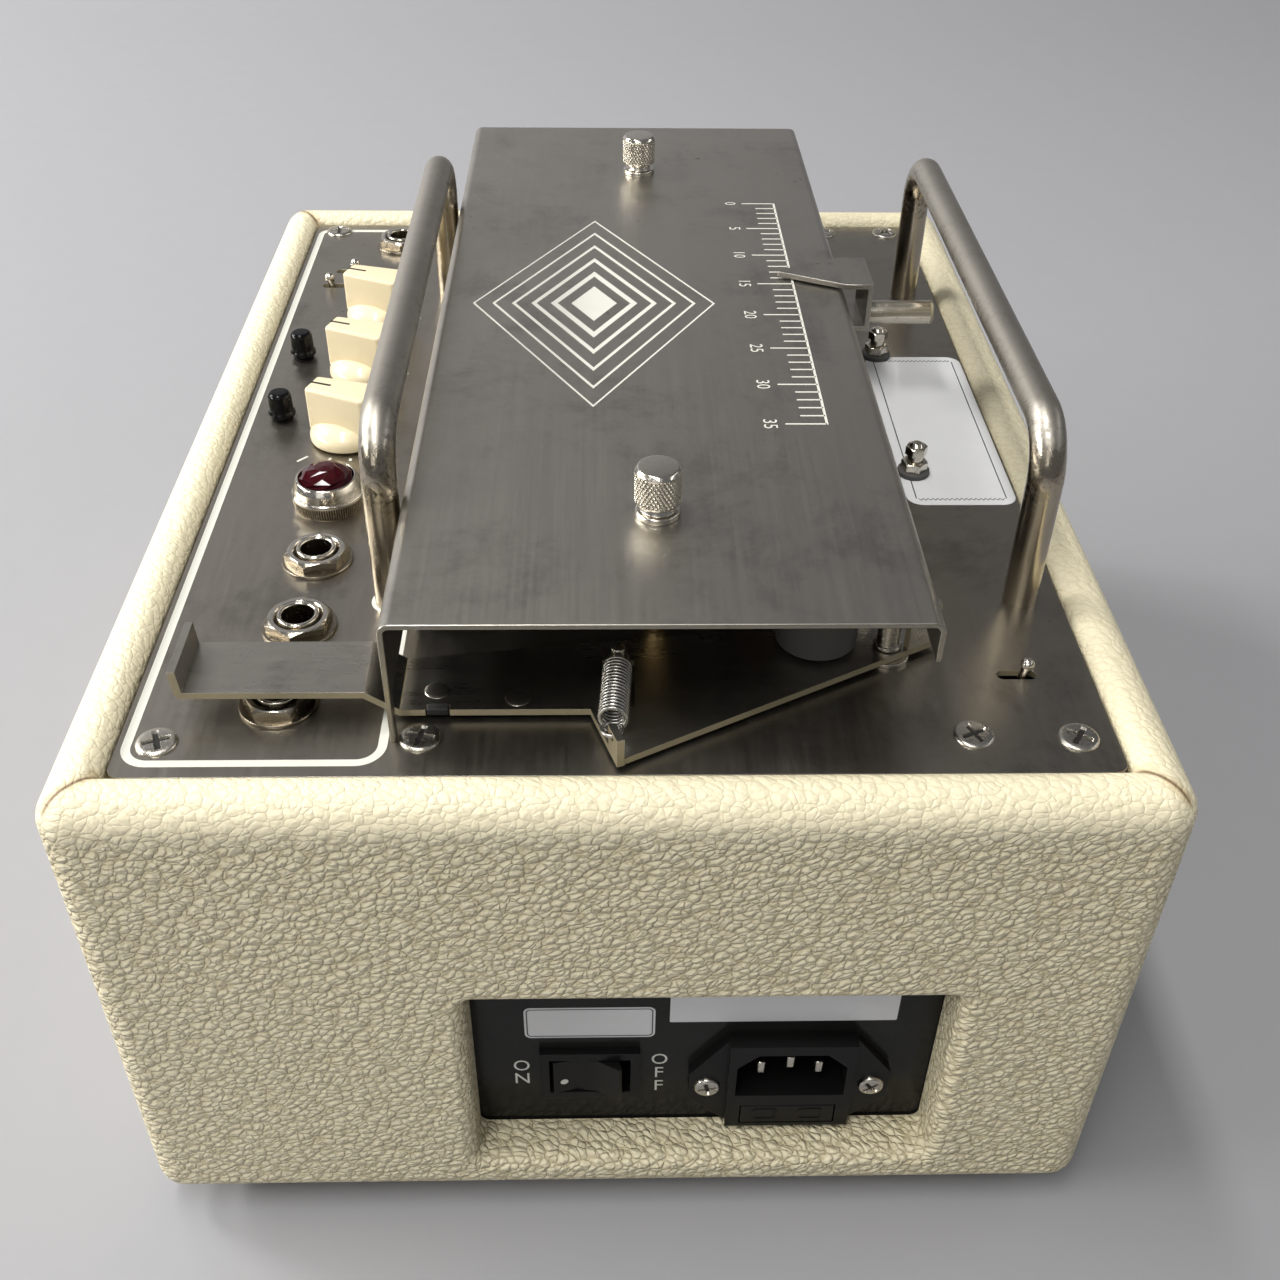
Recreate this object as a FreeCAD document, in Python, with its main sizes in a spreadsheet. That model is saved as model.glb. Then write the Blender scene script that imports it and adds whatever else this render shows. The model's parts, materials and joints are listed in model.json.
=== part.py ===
"""Tape echo unit: a valve tape delay in a covered wooden cabinet, built as separate pieces.

Millimetres. The origin lies on the surface that the feet stand on, under the cabinet's middle.
+X points out of the mains end, -Y towards the player's controls and +Z up. Every size has a
cell in the sheet Sizes, and each piece's sketches and features are bound to those cells.
"""
import FreeCAD, Part
import math
import os
import re
import Sketcher

SIZES = {
    # cabinet
    "cabinet_length": 300.0,
    "cabinet_depth": 230.0,
    "cabinet_height": 134.0,
    "wall_thickness": 12.0,
    "cabinet_edge_radius": 7.6,
    "rim_radius": 4.2,
    "base_thickness": 9.0,
    "base_gap": 0.3,
    "foot_height": 8.0,
    "foot_radius": 12.0,
    "foot_chamfer": 2.0,
    "foot_inset": 24.0,
    "foot_recess_radius": 4.6,
    "foot_recess_depth": 4.0,
    "corner_block_length": 22.0,
    "corner_block_width": 14.0,
    "corner_block_height": 16.0,
    # opening in the cabinet's mains end
    "recess_middle_y": 20.2,
    "recess_width": 110.0,
    "recess_floor_height": 12.0,
    "recess_height": 62.0,
    "recess_corner_radius": 2.5,
    "recess_lip_radius": 3.6,
    # deck plate and the tray that hangs under it
    "deck_drop": 2.75,
    "deck_thickness": 1.6,
    "deck_gap": 0.5,
    "deck_corner_radius": 3.0,
    "tray_depth_ratio": 0.756522,
    "tray_sheet": 1.5,
    "tray_flange": 16.0,
    "tray_base_gap": 2.0,
    # screws
    "screw_radius": 2.0,
    "screw_head_radius": 4.0,
    "screw_head_height": 1.6,
    "screw_clearance": 0.1,
    "deck_screw_length": 12.0,
    "near_screw_inset": 10.2,
    "far_screw_inset": 5.6,
    "corner_screw_inset": 8.0,
    "flange_screw_inset": 11.2,
    "front_flange_screw_y": -41.2,
    "rear_flange_screw_y": 72.9,
    # handles
    "handle_radius": 4.0,
    "handle_height": 43.5,
    "handle_bend_radius": 12.0,
    "handle_near_x_inset": 70.3,
    "handle_far_x_inset": 66.6,
    "handle_cover_gap": 0.8,
    "rear_handle_y_ratio": 0.404348,
    "handle_thread_depth": 10.0,
    # tape cover and its fixings
    "cover_height": 30.2,
    "cover_sheet": 1.2,
    "cover_bend_radius": 2.5,
    "cover_near_x_inset": 22.5,
    "cover_far_x_inset": 0.5,
    "cover_front_y": -47.2,
    "cover_rear_y": 63.0,
    "cover_rear_flange": 9.6,
    "cover_arm_notch_near_x_inset": 25.5,
    "cover_arm_notch_far_x_inset": 62.0,
    "cover_arm_notch_height": 11.0,
    "rim_notch_clearance": 0.8,
    "near_post_x_inset": 61.0,
    "far_post_x_inset": 41.6,
    "post_y": 8.0,
    "post_radius": 3.0,
    "thumbscrew_head_radius": 5.1,
    "thumbscrew_head_height": 8.4,
    "thumbscrew_neck_radius": 3.8,
    "thumbscrew_neck_height": 2.0,
    "thumbscrew_flange_radius": 4.9,
    "thumbscrew_flange_height": 1.4,
    "thumbscrew_stud_length": 9.0,
    "thumbscrew_chamfer": 0.9,
    "thread_clearance": 0.05,
    # knobs and potentiometers
    "near_knob_x_ratio": 0.021,
    "knob_pitch_ratio": 0.119333,
    "pot_tray_gap": 1.1,
    "knob_skirt_radius": 10.0,
    "knob_gap": 0.6,
    "knob_skirt_height": 1.6,
    "knob_dome_height": 5.4,
    "knob_height": 15.0,
    "knob_tip_reach": 9.6,
    "knob_tail_reach": 10.0,
    "knob_tip_width": 7.6,
    "knob_tail_width": 10.4,
    "knob_edge_radius": 1.0,
    "knob_recess_radius": 6.6,
    "knob_recess_depth": 3.4,
    "pot_shaft_radius": 3.0,
    "pot_shaft_length": 10.5,
    "pot_shaft_clearance": 0.05,
    "pot_bushing_radius": 3.45,
    "pot_bushing_height": 3.2,
    "pot_radius": 12.0,
    "pot_depth": 10.0,
    "pot_nut_across": 10.0,
    "pot_nut_height": 2.2,
    # push buttons
    "button_offset_x_ratio": -0.034,
    "button_row_y_ratio": -0.39913,
    "button_radius": 3.0,
    "button_flare_radius": 3.7,
    "button_flare_height": 1.6,
    "button_height": 8.2,
    "button_travel": 0.8,
    "button_stem_radius": 1.4,
    "button_stem_length": 6.5,
    "button_stem_clearance": 0.1,
    "button_bushing_radius": 2.7,
    "button_bushing_height": 0.3,
    "button_case_width": 8.0,
    "button_case_depth": 11.0,
    # toggle switches
    "input_toggle_x_ratio": -0.295333,
    "input_toggle_y_ratio": -0.388261,
    "mode_toggle_x_ratio": -0.331667,
    "mode_toggle_y_ratio": -0.376087,
    "speed_toggle_x_inset": 43.0,
    "speed_toggle_y_ratio": 0.374783,
    "toggle_slot_length": 8.7,
    "toggle_slot_width": 3.0,
    "toggle_pivot_depth": 7.0,
    "toggle_lever_length": 11.6,
    "toggle_lever_radius": 0.9,
    "toggle_tip_radius": 1.6,
    "toggle_ball_radius": 1.6,
    "toggle_tilt": 11.0,
    "toggle_case_length": 13.0,
    "toggle_case_width": 7.0,
    "toggle_case_depth": 12.0,
    "toggle_case_wall": 1.2,
    # pilot lamp
    "lamp_x_ratio": 0.129,
    "lamp_y_ratio": -0.315652,
    "lamp_ring_radius": 9.0,
    "lamp_ring_height": 4.2,
    "lamp_collar_radius": 8.3,
    "lamp_collar_height": 7.4,
    "lamp_barrel_radius": 7.4,
    "lamp_barrel_length": 18.0,
    "lamp_bore_radius": 6.6,
    "jewel_radius": 6.5,
    "jewel_seat_depth": 2.0,
    "jewel_height": 3.6,
    # jack sockets
    "jack_row_y_ratio": -0.312174,
    "main_output_x_ratio": 0.384,
    "second_output_x_ratio": 0.297667,
    "playback_jack_x_ratio": 0.211333,
    "input_jack_x_ratio": -0.402667,
    "jack_bore_radius": 3.25,
    "jack_bushing_radius": 4.7,
    "jack_bushing_height": 4.1,
    "jack_body_radius": 8.0,
    "jack_body_depth": 25.0,
    "jack_hole_clearance": 0.15,
    "jack_nut_across": 14.3,
    "jack_nut_height": 2.6,
    "jack_washer_radius": 8.5,
    "jack_washer_height": 0.8,
    # mains switch and inlet
    "rocker_middle_y": -7.3,
    "rocker_middle_height": 32.0,
    "rocker_bezel_width": 24.2,
    "rocker_bezel_height": 17.6,
    "rocker_bezel_stand": 2.0,
    "rocker_bezel_wall": 2.4,
    "rocker_body_wall": 1.2,
    "rocker_body_depth": 14.0,
    "rocker_gap": 0.4,
    "rocker_paddle_length": 17.0,
    "rocker_rise": 3.6,
    "rocker_dish": 1.6,
    "rocker_pivot_depth": 2.4,
    "rocker_pivot_radius": 1.5,
    "rocker_pivot_clearance": 0.06,
    "rocker_angle": 8.0,
    "inlet_middle_y": 41.1,
    "inlet_screw_height": 28.6,
    "inlet_screw_spacing": 40.0,
    "inlet_flange_width": 48.8,
    "inlet_flange_end": 9.6,
    "inlet_flange_thickness": 2.6,
    "inlet_body_width": 30.4,
    "inlet_body_low": 14.4,
    "inlet_body_high": 46.6,
    "inlet_body_stand": 4.6,
    "inlet_body_depth": 22.0,
    "inlet_body_inset": 1.2,
    "inlet_cavity_width": 26.4,
    "inlet_cavity_height": 16.0,
    "inlet_cavity_top_wall": 3.4,
    "inlet_cavity_chamfer": 5.0,
    "inlet_cavity_depth": 17.0,
    "inlet_pin_width": 2.0,
    "inlet_pin_height": 4.2,
    "inlet_pin_spacing": 7.0,
    "inlet_pin_offset": 1.0,
    "inlet_pin_recess": 3.0,
    "inlet_pin_clearance": 0.02,
    "fuse_drawer_width": 23.0,
    "fuse_drawer_height": 6.8,
    "fuse_drawer_low": 1.6,
    "fuse_drawer_depth": 19.0,
    "fuse_drawer_gap": 0.3,
    "inlet_screw_radius": 1.7,
    "inlet_screw_head_radius": 3.2,
    "inlet_screw_head_height": 1.5,
    "inlet_screw_length": 8.0,
    # pinch lever, its pivot, roller and spring
    "lever_sheet": 1.6,
    "lever_lift": 1.15,
    "lever_pivot_x_inset": 50.0,
    "lever_pivot_y": 58.7,
    "lever_pivot_radius": 2.5,
    "lever_pivot_clearance": 0.05,
    "lever_near_x_inset": 29.3,
    "lever_far_x_inset": 46.0,
    "lever_front_y": -46.0,
    "lever_shoulder_y": -6.4,
    "lever_notch_y": -40.5,
    "lever_notch_length": 5.0,
    "lever_tip_x_inset": 13.5,
    "lever_tip_y": -1.0,
    "lever_corner_x_inset": 52.0,
    "lever_corner_y": 70.0,
    "lever_rear_x_inset": 57.4,
    "lever_rear_y": 66.0,
    "lever_waist_x_inset": 56.4,
    "lever_waist_y": 34.0,
    "lever_tab_length": 8.0,
    "lever_tab_height": 12.0,
    "hook_tab_height": 7.0,
    "hook_tab_length": 5.3,
    "arm_lift": 4.8,
    "arm_ramp_length": 6.6,
    "arm_front_y_ratio": -0.38913,
    "arm_tab_height": 7.0,
    "anchor_slot_length": 15.0,
    "anchor_slot_width": 7.0,
    "roller_x_inset": 52.0,
    "roller_y": 43.0,
    "roller_radius": 9.0,
    "roller_height": 14.0,
    "roller_axle_radius": 2.0,
    "roller_axle_clearance": 0.05,
    "roller_gap": 0.3,
    "anchor_x_inset": 41.0,
    "anchor_y": -0.5,
    "anchor_radius": 1.6,
    "anchor_height": 10.0,
    "spring_height": 6.6,
    "spring_coil_radius": 2.6,
    "spring_wire_radius": 0.4,
    "spring_turns": 15.0,
    "spring_hook_radius": 2.1,
    "hook_hole_radius": 0.9,
    # tape path: cartridge, guides, heads
    "cartridge_near_x_inset": 71.0,
    "cartridge_far_x_inset": 53.0,
    "cartridge_front_y": -43.0,
    "cartridge_rear_y": 25.0,
    "cartridge_height": 22.0,
    "cartridge_wall": 2.0,
    "cartridge_stand": 0.0,
    "hub_x": -8.0,
    "hub_y": -9.0,
    "hub_radius": 6.0,
    "pack_inner_radius": 10.0,
    "pack_outer_radius": 31.0,
    "pack_clearance": 0.08,
    "pack_lift": 0.3,
    "tape_width": 6.35,
    "tape_thickness": 0.12,
    "tape_lift": 10.55,
    "tape_gap": 0.3,
    "tape_gap_inset": 11.0,
    "guide_radius": 2.3,
    "guide_flange_radius": 3.5,
    "near_guide_x_inset": 65.5,
    "far_guide_x_inset": 28.0,
    "guide_y": 54.0,
    "head_width": 12.0,
    "head_depth": 12.0,
    "head_height": 9.2,
    "head_nose": 3.0,
    "head_nose_width": 5.0,
    "playback_head_x_inset": 79.0,
    "erase_head_x_inset": 44.0,
    # sliding record head
    "slider_x": -29.0,
    "carriage_length": 20.0,
    "carriage_front_y": 28.0,
    "carriage_rear_y": 52.0,
    "carriage_lift": 1.4,
    "carriage_height": 7.4,
    "riser_rear_y": 41.0,
    "rail_radius": 2.5,
    "rail_lift": 5.2,
    "rail_front_y": 32.0,
    "rail_rear_y": 40.0,
    "rail_clearance": 0.05,
    "rail_block_length": 6.0,
    "rail_block_near_x_inset": 82.0,
    "rail_block_far_x_inset": 54.0,
    "rail_block_margin": 3.6,
    "bracket_sheet": 1.4,
    "bracket_width": 18.0,
    "bracket_rear_y": 70.5,
    "bracket_lift": 18.4,
    "pointer_gap": 0.6,
    "pointer_tip_y": 45.0,
    "pointer_tip_width": 1.2,
    "grip_radius": 3.175,
    "grip_length": 18.0,
    "grip_offset_x": 4.0,
    "grip_lift": 21.8,
    # drive
    "capstan_x_inset": 65.7,
    "capstan_y": 43.2,
    "capstan_radius": 2.5,
    "capstan_height": 17.4,
    "bearing_radius": 5.0,
    "bearing_flange_radius": 6.4,
    "bearing_flange_height": 0.8,
    "bearing_depth": 22.0,
    "bearing_clearance": 0.05,
    "flywheel_radius": 34.0,
    "flywheel_height": 12.0,
    "flywheel_drop": 46.0,
    "flywheel_web": 4.0,
    "flywheel_rim": 6.0,
    "flywheel_hub_radius": 8.0,
    "belt_thickness": 1.2,
    "belt_width": 4.0,
    "belt_gap": 0.3,
    "motor_x": -8.0,
    "motor_tray_gap": 3.5,
    "motor_radius": 31.0,
    "motor_height": 30.0,
    "motor_drop": 5.0,
    "motor_plate": 2.0,
    "motor_plate_half": 37.0,
    "motor_screw_offset": 32.7,
    "motor_stack_height": 9.2,
    "motor_screw_length": 9.0,
    "grommet_radius": 4.2,
    "grommet_lip": 1.4,
    "pulley_radius": 7.0,
    "motor_shaft_radius": 2.5,
    "motor_shaft_length": 26.0,
    # electronics on the tray
    "board_near_x_inset": 50.0,
    "board_far_x_inset": 92.0,
    "board_front_y": -66.0,
    "board_rear_y": -4.0,
    "board_thickness": 1.6,
    "standoff_height": 8.0,
    "standoff_radius": 3.0,
    "standoff_inset": 6.0,
    "valve_first_x_inset": 78.0,
    "valve_pitch": 44.0,
    "valve_y": -36.0,
    "valve_radius": 10.5,
    "valve_height": 44.0,
    "socket_radius": 11.5,
    "socket_height": 8.0,
    "capacitor_radius": 8.0,
    "capacitor_height": 34.0,
    "capacitor_y": -16.0,
    "transformer_x_inset": 52.0,
    "transformer_y": 0.0,
    "core_length": 34.0,
    "core_depth": 66.0,
    "core_height": 54.0,
    "winding_length": 54.0,
    "winding_depth": 40.0,
    "winding_height": 32.0,
    "core_foot": 12.0,
}

# Places that follow the cabinet. The controls keep their ratios of its length and depth, and the
# tape drive and the covers keep their insets from its two ends.
LENGTH_RATIOS = (
    "near_knob_x", "knob_pitch", "button_offset_x", "input_toggle_x", "mode_toggle_x", "lamp_x",
    "main_output_x", "second_output_x", "playback_jack_x", "input_jack_x",
)
DEPTH_RATIOS = (
    "tray_depth", "button_row_y", "input_toggle_y", "mode_toggle_y", "speed_toggle_y", "lamp_y",
    "jack_row_y", "arm_front_y", "rear_handle_y",
)
NEAR_END_INSETS = (
    "handle_near_x", "cover_near_x", "cover_arm_notch_near_x", "cover_arm_notch_far_x", "near_post_x",
    "speed_toggle_x", "lever_pivot_x", "lever_near_x", "lever_far_x", "lever_tip_x", "lever_corner_x",
    "lever_rear_x", "lever_waist_x", "roller_x", "anchor_x", "cartridge_near_x", "near_guide_x",
    "playback_head_x", "rail_block_near_x", "capstan_x", "board_near_x", "valve_first_x",
)
FAR_END_INSETS = (
    "handle_far_x", "cover_far_x", "far_post_x", "cartridge_far_x", "far_guide_x", "erase_head_x",
    "rail_block_far_x", "transformer_x", "board_far_x",
)
PLACES = {name: f"cabinet_length * {name}_ratio" for name in LENGTH_RATIOS}
PLACES.update({name: f"cabinet_depth * {name}_ratio" for name in DEPTH_RATIOS})
PLACES.update({name: f"cabinet_length / 2 - {name}_inset" for name in NEAR_END_INSETS})
PLACES.update({name: f"{name}_inset - cabinet_length / 2" for name in FAR_END_INSETS})
PLACES["knob_row_y"] = "pot_radius + pot_tray_gap + tray_sheet - tray_depth / 2"
PLACES["motor_y"] = "tray_depth / 2 - tray_sheet - motor_tray_gap - motor_plate_half"
PLACES["front_handle_y"] = "cover_front_y - handle_cover_gap - handle_radius"

document = FreeCAD.newDocument("TapeEchoUnit")
sheet = document.addObject("Spreadsheet::Sheet", "Sizes")
for row, (size_name, size_value) in enumerate(SIZES.items(), start=1):
    sheet.set(f"A{row}", size_name)
    sheet.set(f"B{row}", str(size_value))
    sheet.setAlias(f"B{row}", size_name)
for row, (place_name, place_value) in enumerate(PLACES.items(), start=len(SIZES) + 1):
    sheet.set(f"A{row}", place_name)
    sheet.set(f"B{row}", f"={place_value}")
    sheet.setAlias(f"B{row}", place_name)
document.recompute()

# Heights and places that several pieces share, as expressions on the sheet's cells.
CABINET_TOP = "(foot_height + cabinet_height)"
DECK_TOP = "(foot_height + cabinet_height - deck_drop)"
DECK_UNDER = "(foot_height + cabinet_height - deck_drop - deck_thickness)"
DECK_NEAR = "(cabinet_length / 2 - wall_thickness - deck_gap)"
DECK_REAR = "(cabinet_depth / 2 - wall_thickness - deck_gap)"
COVER_TOP = f"({DECK_TOP} + cover_height)"
COVER_UNDER = f"({DECK_TOP} + cover_height - cover_sheet)"
TRAY_BOTTOM = "(foot_height + base_thickness + tray_base_gap)"
TRAY_FLOOR = f"({TRAY_BOTTOM} + tray_sheet)"
PANEL = DECK_NEAR
LEVER_UNDER = f"({DECK_TOP} + lever_lift)"
LEVER_TOP = f"({DECK_TOP} + lever_lift + lever_sheet)"
TAPE_LOW = f"({DECK_TOP} + tape_lift)"
TAPE_RUN_Y = "(guide_y + guide_radius + tape_gap)"
TAPE_DROP_X = "(near_guide_x + guide_radius + tape_gap)"
CARRIAGE_TOP = f"({DECK_TOP} + carriage_lift + carriage_height)"
FLYWHEEL_TOP = f"({DECK_UNDER} - flywheel_drop)"
BELT_MIDDLE = f"({FLYWHEEL_TOP} - flywheel_height / 2)"
MOTOR_TOP = f"({DECK_UNDER} - motor_drop)"
BOARD_LOW = f"({TRAY_FLOOR} + standoff_height)"
BOARD_TOP = f"({BOARD_LOW} + board_thickness)"
ROCKER_MIDDLE = "(foot_height + rocker_middle_height)"
INLET_LOW = "(foot_height + inlet_body_low)"
INLET_HIGH = "(foot_height + inlet_body_high)"
INLET_SCREW = "(foot_height + inlet_screw_height)"
EDGE_X = "(lever_tip_x - lever_near_x)"
EDGE_Y = "(lever_tip_y - lever_shoulder_y)"
EDGE_LENGTH = f"sqrt({EDGE_X} * {EDGE_X} + {EDGE_Y} * {EDGE_Y})"
TAB_X = f"({EDGE_X} / {EDGE_LENGTH})"
TAB_Y = f"({EDGE_Y} / {EDGE_LENGTH})"
HOOK_X = f"(lever_tip_x - {TAB_X} * hook_tab_length - {TAB_Y} * lever_sheet / 2)"
HOOK_Y = f"(lever_tip_y - {TAB_Y} * hook_tab_length + {TAB_X} * lever_sheet / 2)"
KNOB_PLACES = {
    "repeats_knob": "near_knob_x",
    "echo_level_knob": "(near_knob_x - knob_pitch)",
    "input_level_knob": "(near_knob_x - 2 * knob_pitch)",
}
BUTTON_PLACES = {
    "repeats_button": "(near_knob_x + button_offset_x)",
    "echo_button": "(near_knob_x - knob_pitch + button_offset_x)",
}
JACK_PLACES = ("main_output_x", "second_output_x", "playback_jack_x", "input_jack_x")
POST_PLACES = ("near_post_x", "far_post_x")
HANDLE_FEET = tuple(
    (foot_x, handle_y)
    for handle_y in ("front_handle_y", "rear_handle_y")
    for foot_x in ("handle_near_x", "handle_far_x")
)
TOGGLE_PLACES = {
    "input_toggle": ("input_toggle_x", "input_toggle_y"),
    "mode_toggle": ("mode_toggle_x", "mode_toggle_y"),
    "speed_toggle": ("speed_toggle_x", "speed_toggle_y"),
}
CORNER_SCREWS = tuple(
    (screw_x, screw_y)
    for screw_x in (f"({DECK_NEAR} - near_screw_inset)", f"(far_screw_inset - {DECK_NEAR})")
    for screw_y in (f"({DECK_REAR} - corner_screw_inset)", f"(corner_screw_inset - {DECK_REAR})")
)
FLANGE_SCREWS = tuple(
    (screw_x, screw_y)
    for screw_x in (f"({DECK_NEAR} - flange_screw_inset)", f"(far_screw_inset - {DECK_NEAR})")
    for screw_y in ("front_flange_screw_y", "rear_flange_screw_y")
)
MOTOR_SCREWS = tuple(
    (f"(motor_x + {side_x} * motor_screw_offset)", f"(motor_y + {side_y} * motor_screw_offset)")
    for side_x in (-1, 1)
    for side_y in (-1, 1)
)
# Half width, height and bend of a sketch's path before its constraints set it.
FIRST_GUESS = (100.0, 100.0, 20.0)
FULL_TURN = 360.0
QUARTER_TURN = 90.0
POINTER_ANGLE = -20.0
TOUCH = 1e-3


def linked(expression):
    """The expression with each size name pointing to its cell in the sheet."""
    return re.sub(
        r"[a-z][a-z_]+",
        lambda word: f"Sizes.{word[0]}" if word[0] in SIZES or word[0] in PLACES else word[0],
        str(expression),
    )


def bind(item, property_name, expression):
    item.setExpression(property_name, linked(expression))


def sheet_value(expression):
    """What an expression on the sheet's cells comes to."""
    return sheet.evalExpression(linked(expression).replace("Sizes.", ""))


def place(item, across=0, along=0, up=0):
    bind(item, "Placement.Base.x", across)
    bind(item, "Placement.Base.y", along)
    bind(item, "Placement.Base.z", up)
    return item


def rebuild(item):
    """Recompute, and stop on a feature that failed without saying so."""
    document.recompute()
    if "Invalid" in item.State or "Error" in item.State:
        raise RuntimeError(f"{item.Label} failed: {item.State}")
    return item


# ---- sketches -----------------------------------------------------------------------------


def new_body(label):
    body = document.addObject("PartDesign::Body", label)
    body.Label = label
    return body


def new_sketch(body, name, plane, offset=0):
    """An empty sketch on one of the body's own origin planes, moved along its normal."""
    sketch = body.newObject("Sketcher::SketchObject", name)
    origin_plane = next(item for item in body.Origin.OriginFeatures if item.Role == plane)
    sketch.AttachmentSupport = [(origin_plane, "")]
    sketch.MapMode = "FlatFace"
    bind(sketch, "AttachmentOffset.Base.z", offset)
    return sketch


def tie(sketch, constraint, expression):
    """Add a dimension to the sketch and bind it to an expression."""
    index = sketch.addConstraint(constraint)
    name = f"size_{index}"
    sketch.renameConstraint(index, name)
    bind(sketch, f"Constraints.{name}", expression)


def tie_point(sketch, geometry, point, across, up):
    spot = sketch.getPoint(geometry, point)
    tie(sketch, Sketcher.Constraint("DistanceX", -1, 1, geometry, point, spot.x), across)
    tie(sketch, Sketcher.Constraint("DistanceY", -1, 1, geometry, point, spot.y), up)


def add_outline(sketch, corners):
    """A closed outline of straight edges with both coordinates of every corner bound."""
    count = len(corners)
    angles = [2 * math.pi * index / count for index in range(count)]
    spots = [FreeCAD.Vector(math.cos(angle), math.sin(angle), 0) for angle in angles]
    first = sketch.GeometryCount
    for index in range(count):
        sketch.addGeometry(Part.LineSegment(spots[index], spots[(index + 1) % count]), False)
    for index in range(count):
        following = first + (index + 1) % count
        sketch.addConstraint(Sketcher.Constraint("Coincident", first + index, 2, following, 1))
    for index, (across, up) in enumerate(corners):
        tie_point(sketch, first + index, 1, across, up)


def add_rectangle(sketch, left, right, low, high):
    add_outline(sketch, [(left, low), (right, low), (right, high), (left, high)])


def add_circle(sketch, across, up, radius):
    normal = FreeCAD.Vector(0, 0, 1)
    circle = sketch.addGeometry(Part.Circle(FreeCAD.Vector(1, 1, 0), normal, 1.0), False)
    tie_point(sketch, circle, 3, across, up)
    tie(sketch, Sketcher.Constraint("Radius", circle, 1.0), radius)


def add_hexagon(sketch, across, up, across_flats):
    """A hexagon with two flats square to the sketch's second axis."""
    corner = 0.5 / math.cos(math.pi / 6)
    corners = []
    for index in range(6):
        angle = math.pi / 3 * index
        cosine = corner * math.cos(angle)
        sine = corner * math.sin(angle)
        corners.append((f"{across} + {cosine:.9f} * {across_flats}",
                        f"{up} + {sine:.9f} * {across_flats}"))
    add_outline(sketch, corners)


# ---- PartDesign features ------------------------------------------------------------------


def pad(body, sketch, length, reverse=False):
    feature = body.newObject("PartDesign::Pad", f"{body.Name}_pad")
    feature.Profile = sketch
    feature.Reversed = reverse
    bind(feature, "Length", length)
    return rebuild(feature)


def pocket(body, sketch, length=None, reverse=False):
    """Cut the sketch out of the body, all the way through when no length is given."""
    before = body.Shape.Volume
    feature = body.newObject("PartDesign::Pocket", f"{body.Name}_pocket")
    feature.Profile = sketch
    feature.Reversed = reverse
    if length is None:
        feature.Type = "ThroughAll"
    else:
        bind(feature, "Length", length)
    rebuild(feature)
    if not feature.Shape.Volume < before - TOUCH:
        raise RuntimeError(f"{feature.Label} cuts nothing")
    return feature


def edges_of(shape, wanted):
    return [f"Edge{index}" for index, edge in enumerate(shape.Edges, start=1) if wanted(edge)]


def round_edges(body, wanted, radius):
    """Fillet the edges of the body's last feature that the test picks out."""
    base = body.Tip
    names = edges_of(base.Shape, wanted)
    if not names:
        raise RuntimeError(f"{body.Label} has no edge to round")
    feature = body.newObject("PartDesign::Fillet", f"{body.Name}_fillet")
    feature.Base = (base, names)
    bind(feature, "Radius", radius)
    return rebuild(feature)


def upright(edge):
    box = edge.BoundBox
    return box.XLength < TOUCH and box.YLength < TOUCH and box.ZLength > TOUCH


def level(edge, height):
    box = edge.BoundBox
    return abs(box.ZMin - height) < TOUCH and abs(box.ZMax - height) < TOUCH


def prism(label, plane, corners, start, length):
    """A body padded from an outline, from start along the plane's axis for the length."""
    body = new_body(label)
    offset = f"-({start}) - ({length})" if plane == "XZ_Plane" else start
    sketch = new_sketch(body, f"{label}_outline", plane, offset)
    add_outline(sketch, corners)
    pad(body, sketch, length)
    return body


def turned(label, profile, across=0, along=0, up=0):
    """A body revolved about Z from corners given as radius and height."""
    body = new_body(label)
    sketch = new_sketch(body, f"{label}_profile", "XZ_Plane")
    add_outline(sketch, profile)
    feature = body.newObject("PartDesign::Revolution", f"{label}_turn")
    feature.Profile = sketch
    feature.ReferenceAxis = (sketch, ["V_Axis"])
    feature.Angle = FULL_TURN
    place(body, across, along, up)
    rebuild(feature)
    return body


# ---- Part primitives ----------------------------------------------------------------------


def block(name, left, right, front, rear, low, high):
    item = document.addObject("Part::Box", name)
    bind(item, "Length", f"({right}) - ({left})")
    bind(item, "Width", f"({rear}) - ({front})")
    bind(item, "Height", f"({high}) - ({low})")
    return place(item, left, front, low)


def rod(name, radius, length, across, along, up, direction=(0, 0, 1)):
    item = document.addObject("Part::Cylinder", name)
    bind(item, "Radius", radius)
    bind(item, "Height", length)
    item.Placement.Rotation = FreeCAD.Rotation(FreeCAD.Vector(0, 0, 1), FreeCAD.Vector(*direction))
    return place(item, across, along, up)


def joined(label, pieces):
    item = document.addObject("Part::MultiFuse", label)
    item.Label = label
    item.Shapes = pieces
    return rebuild(item)


def cut_away(label, base, tools):
    item = document.addObject("Part::Cut", label)
    item.Label = label
    item.Base = base
    item.Tool = tools[0] if len(tools) == 1 else joined(f"{label}_tools", tools)
    return rebuild(item)


def group(label, pieces):
    """Like pieces kept as separate solids under one label."""
    item = document.addObject("Part::Compound", label)
    item.Label = label
    item.Links = pieces
    return rebuild(item)


# ---- cabinet ------------------------------------------------------------------------------


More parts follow.
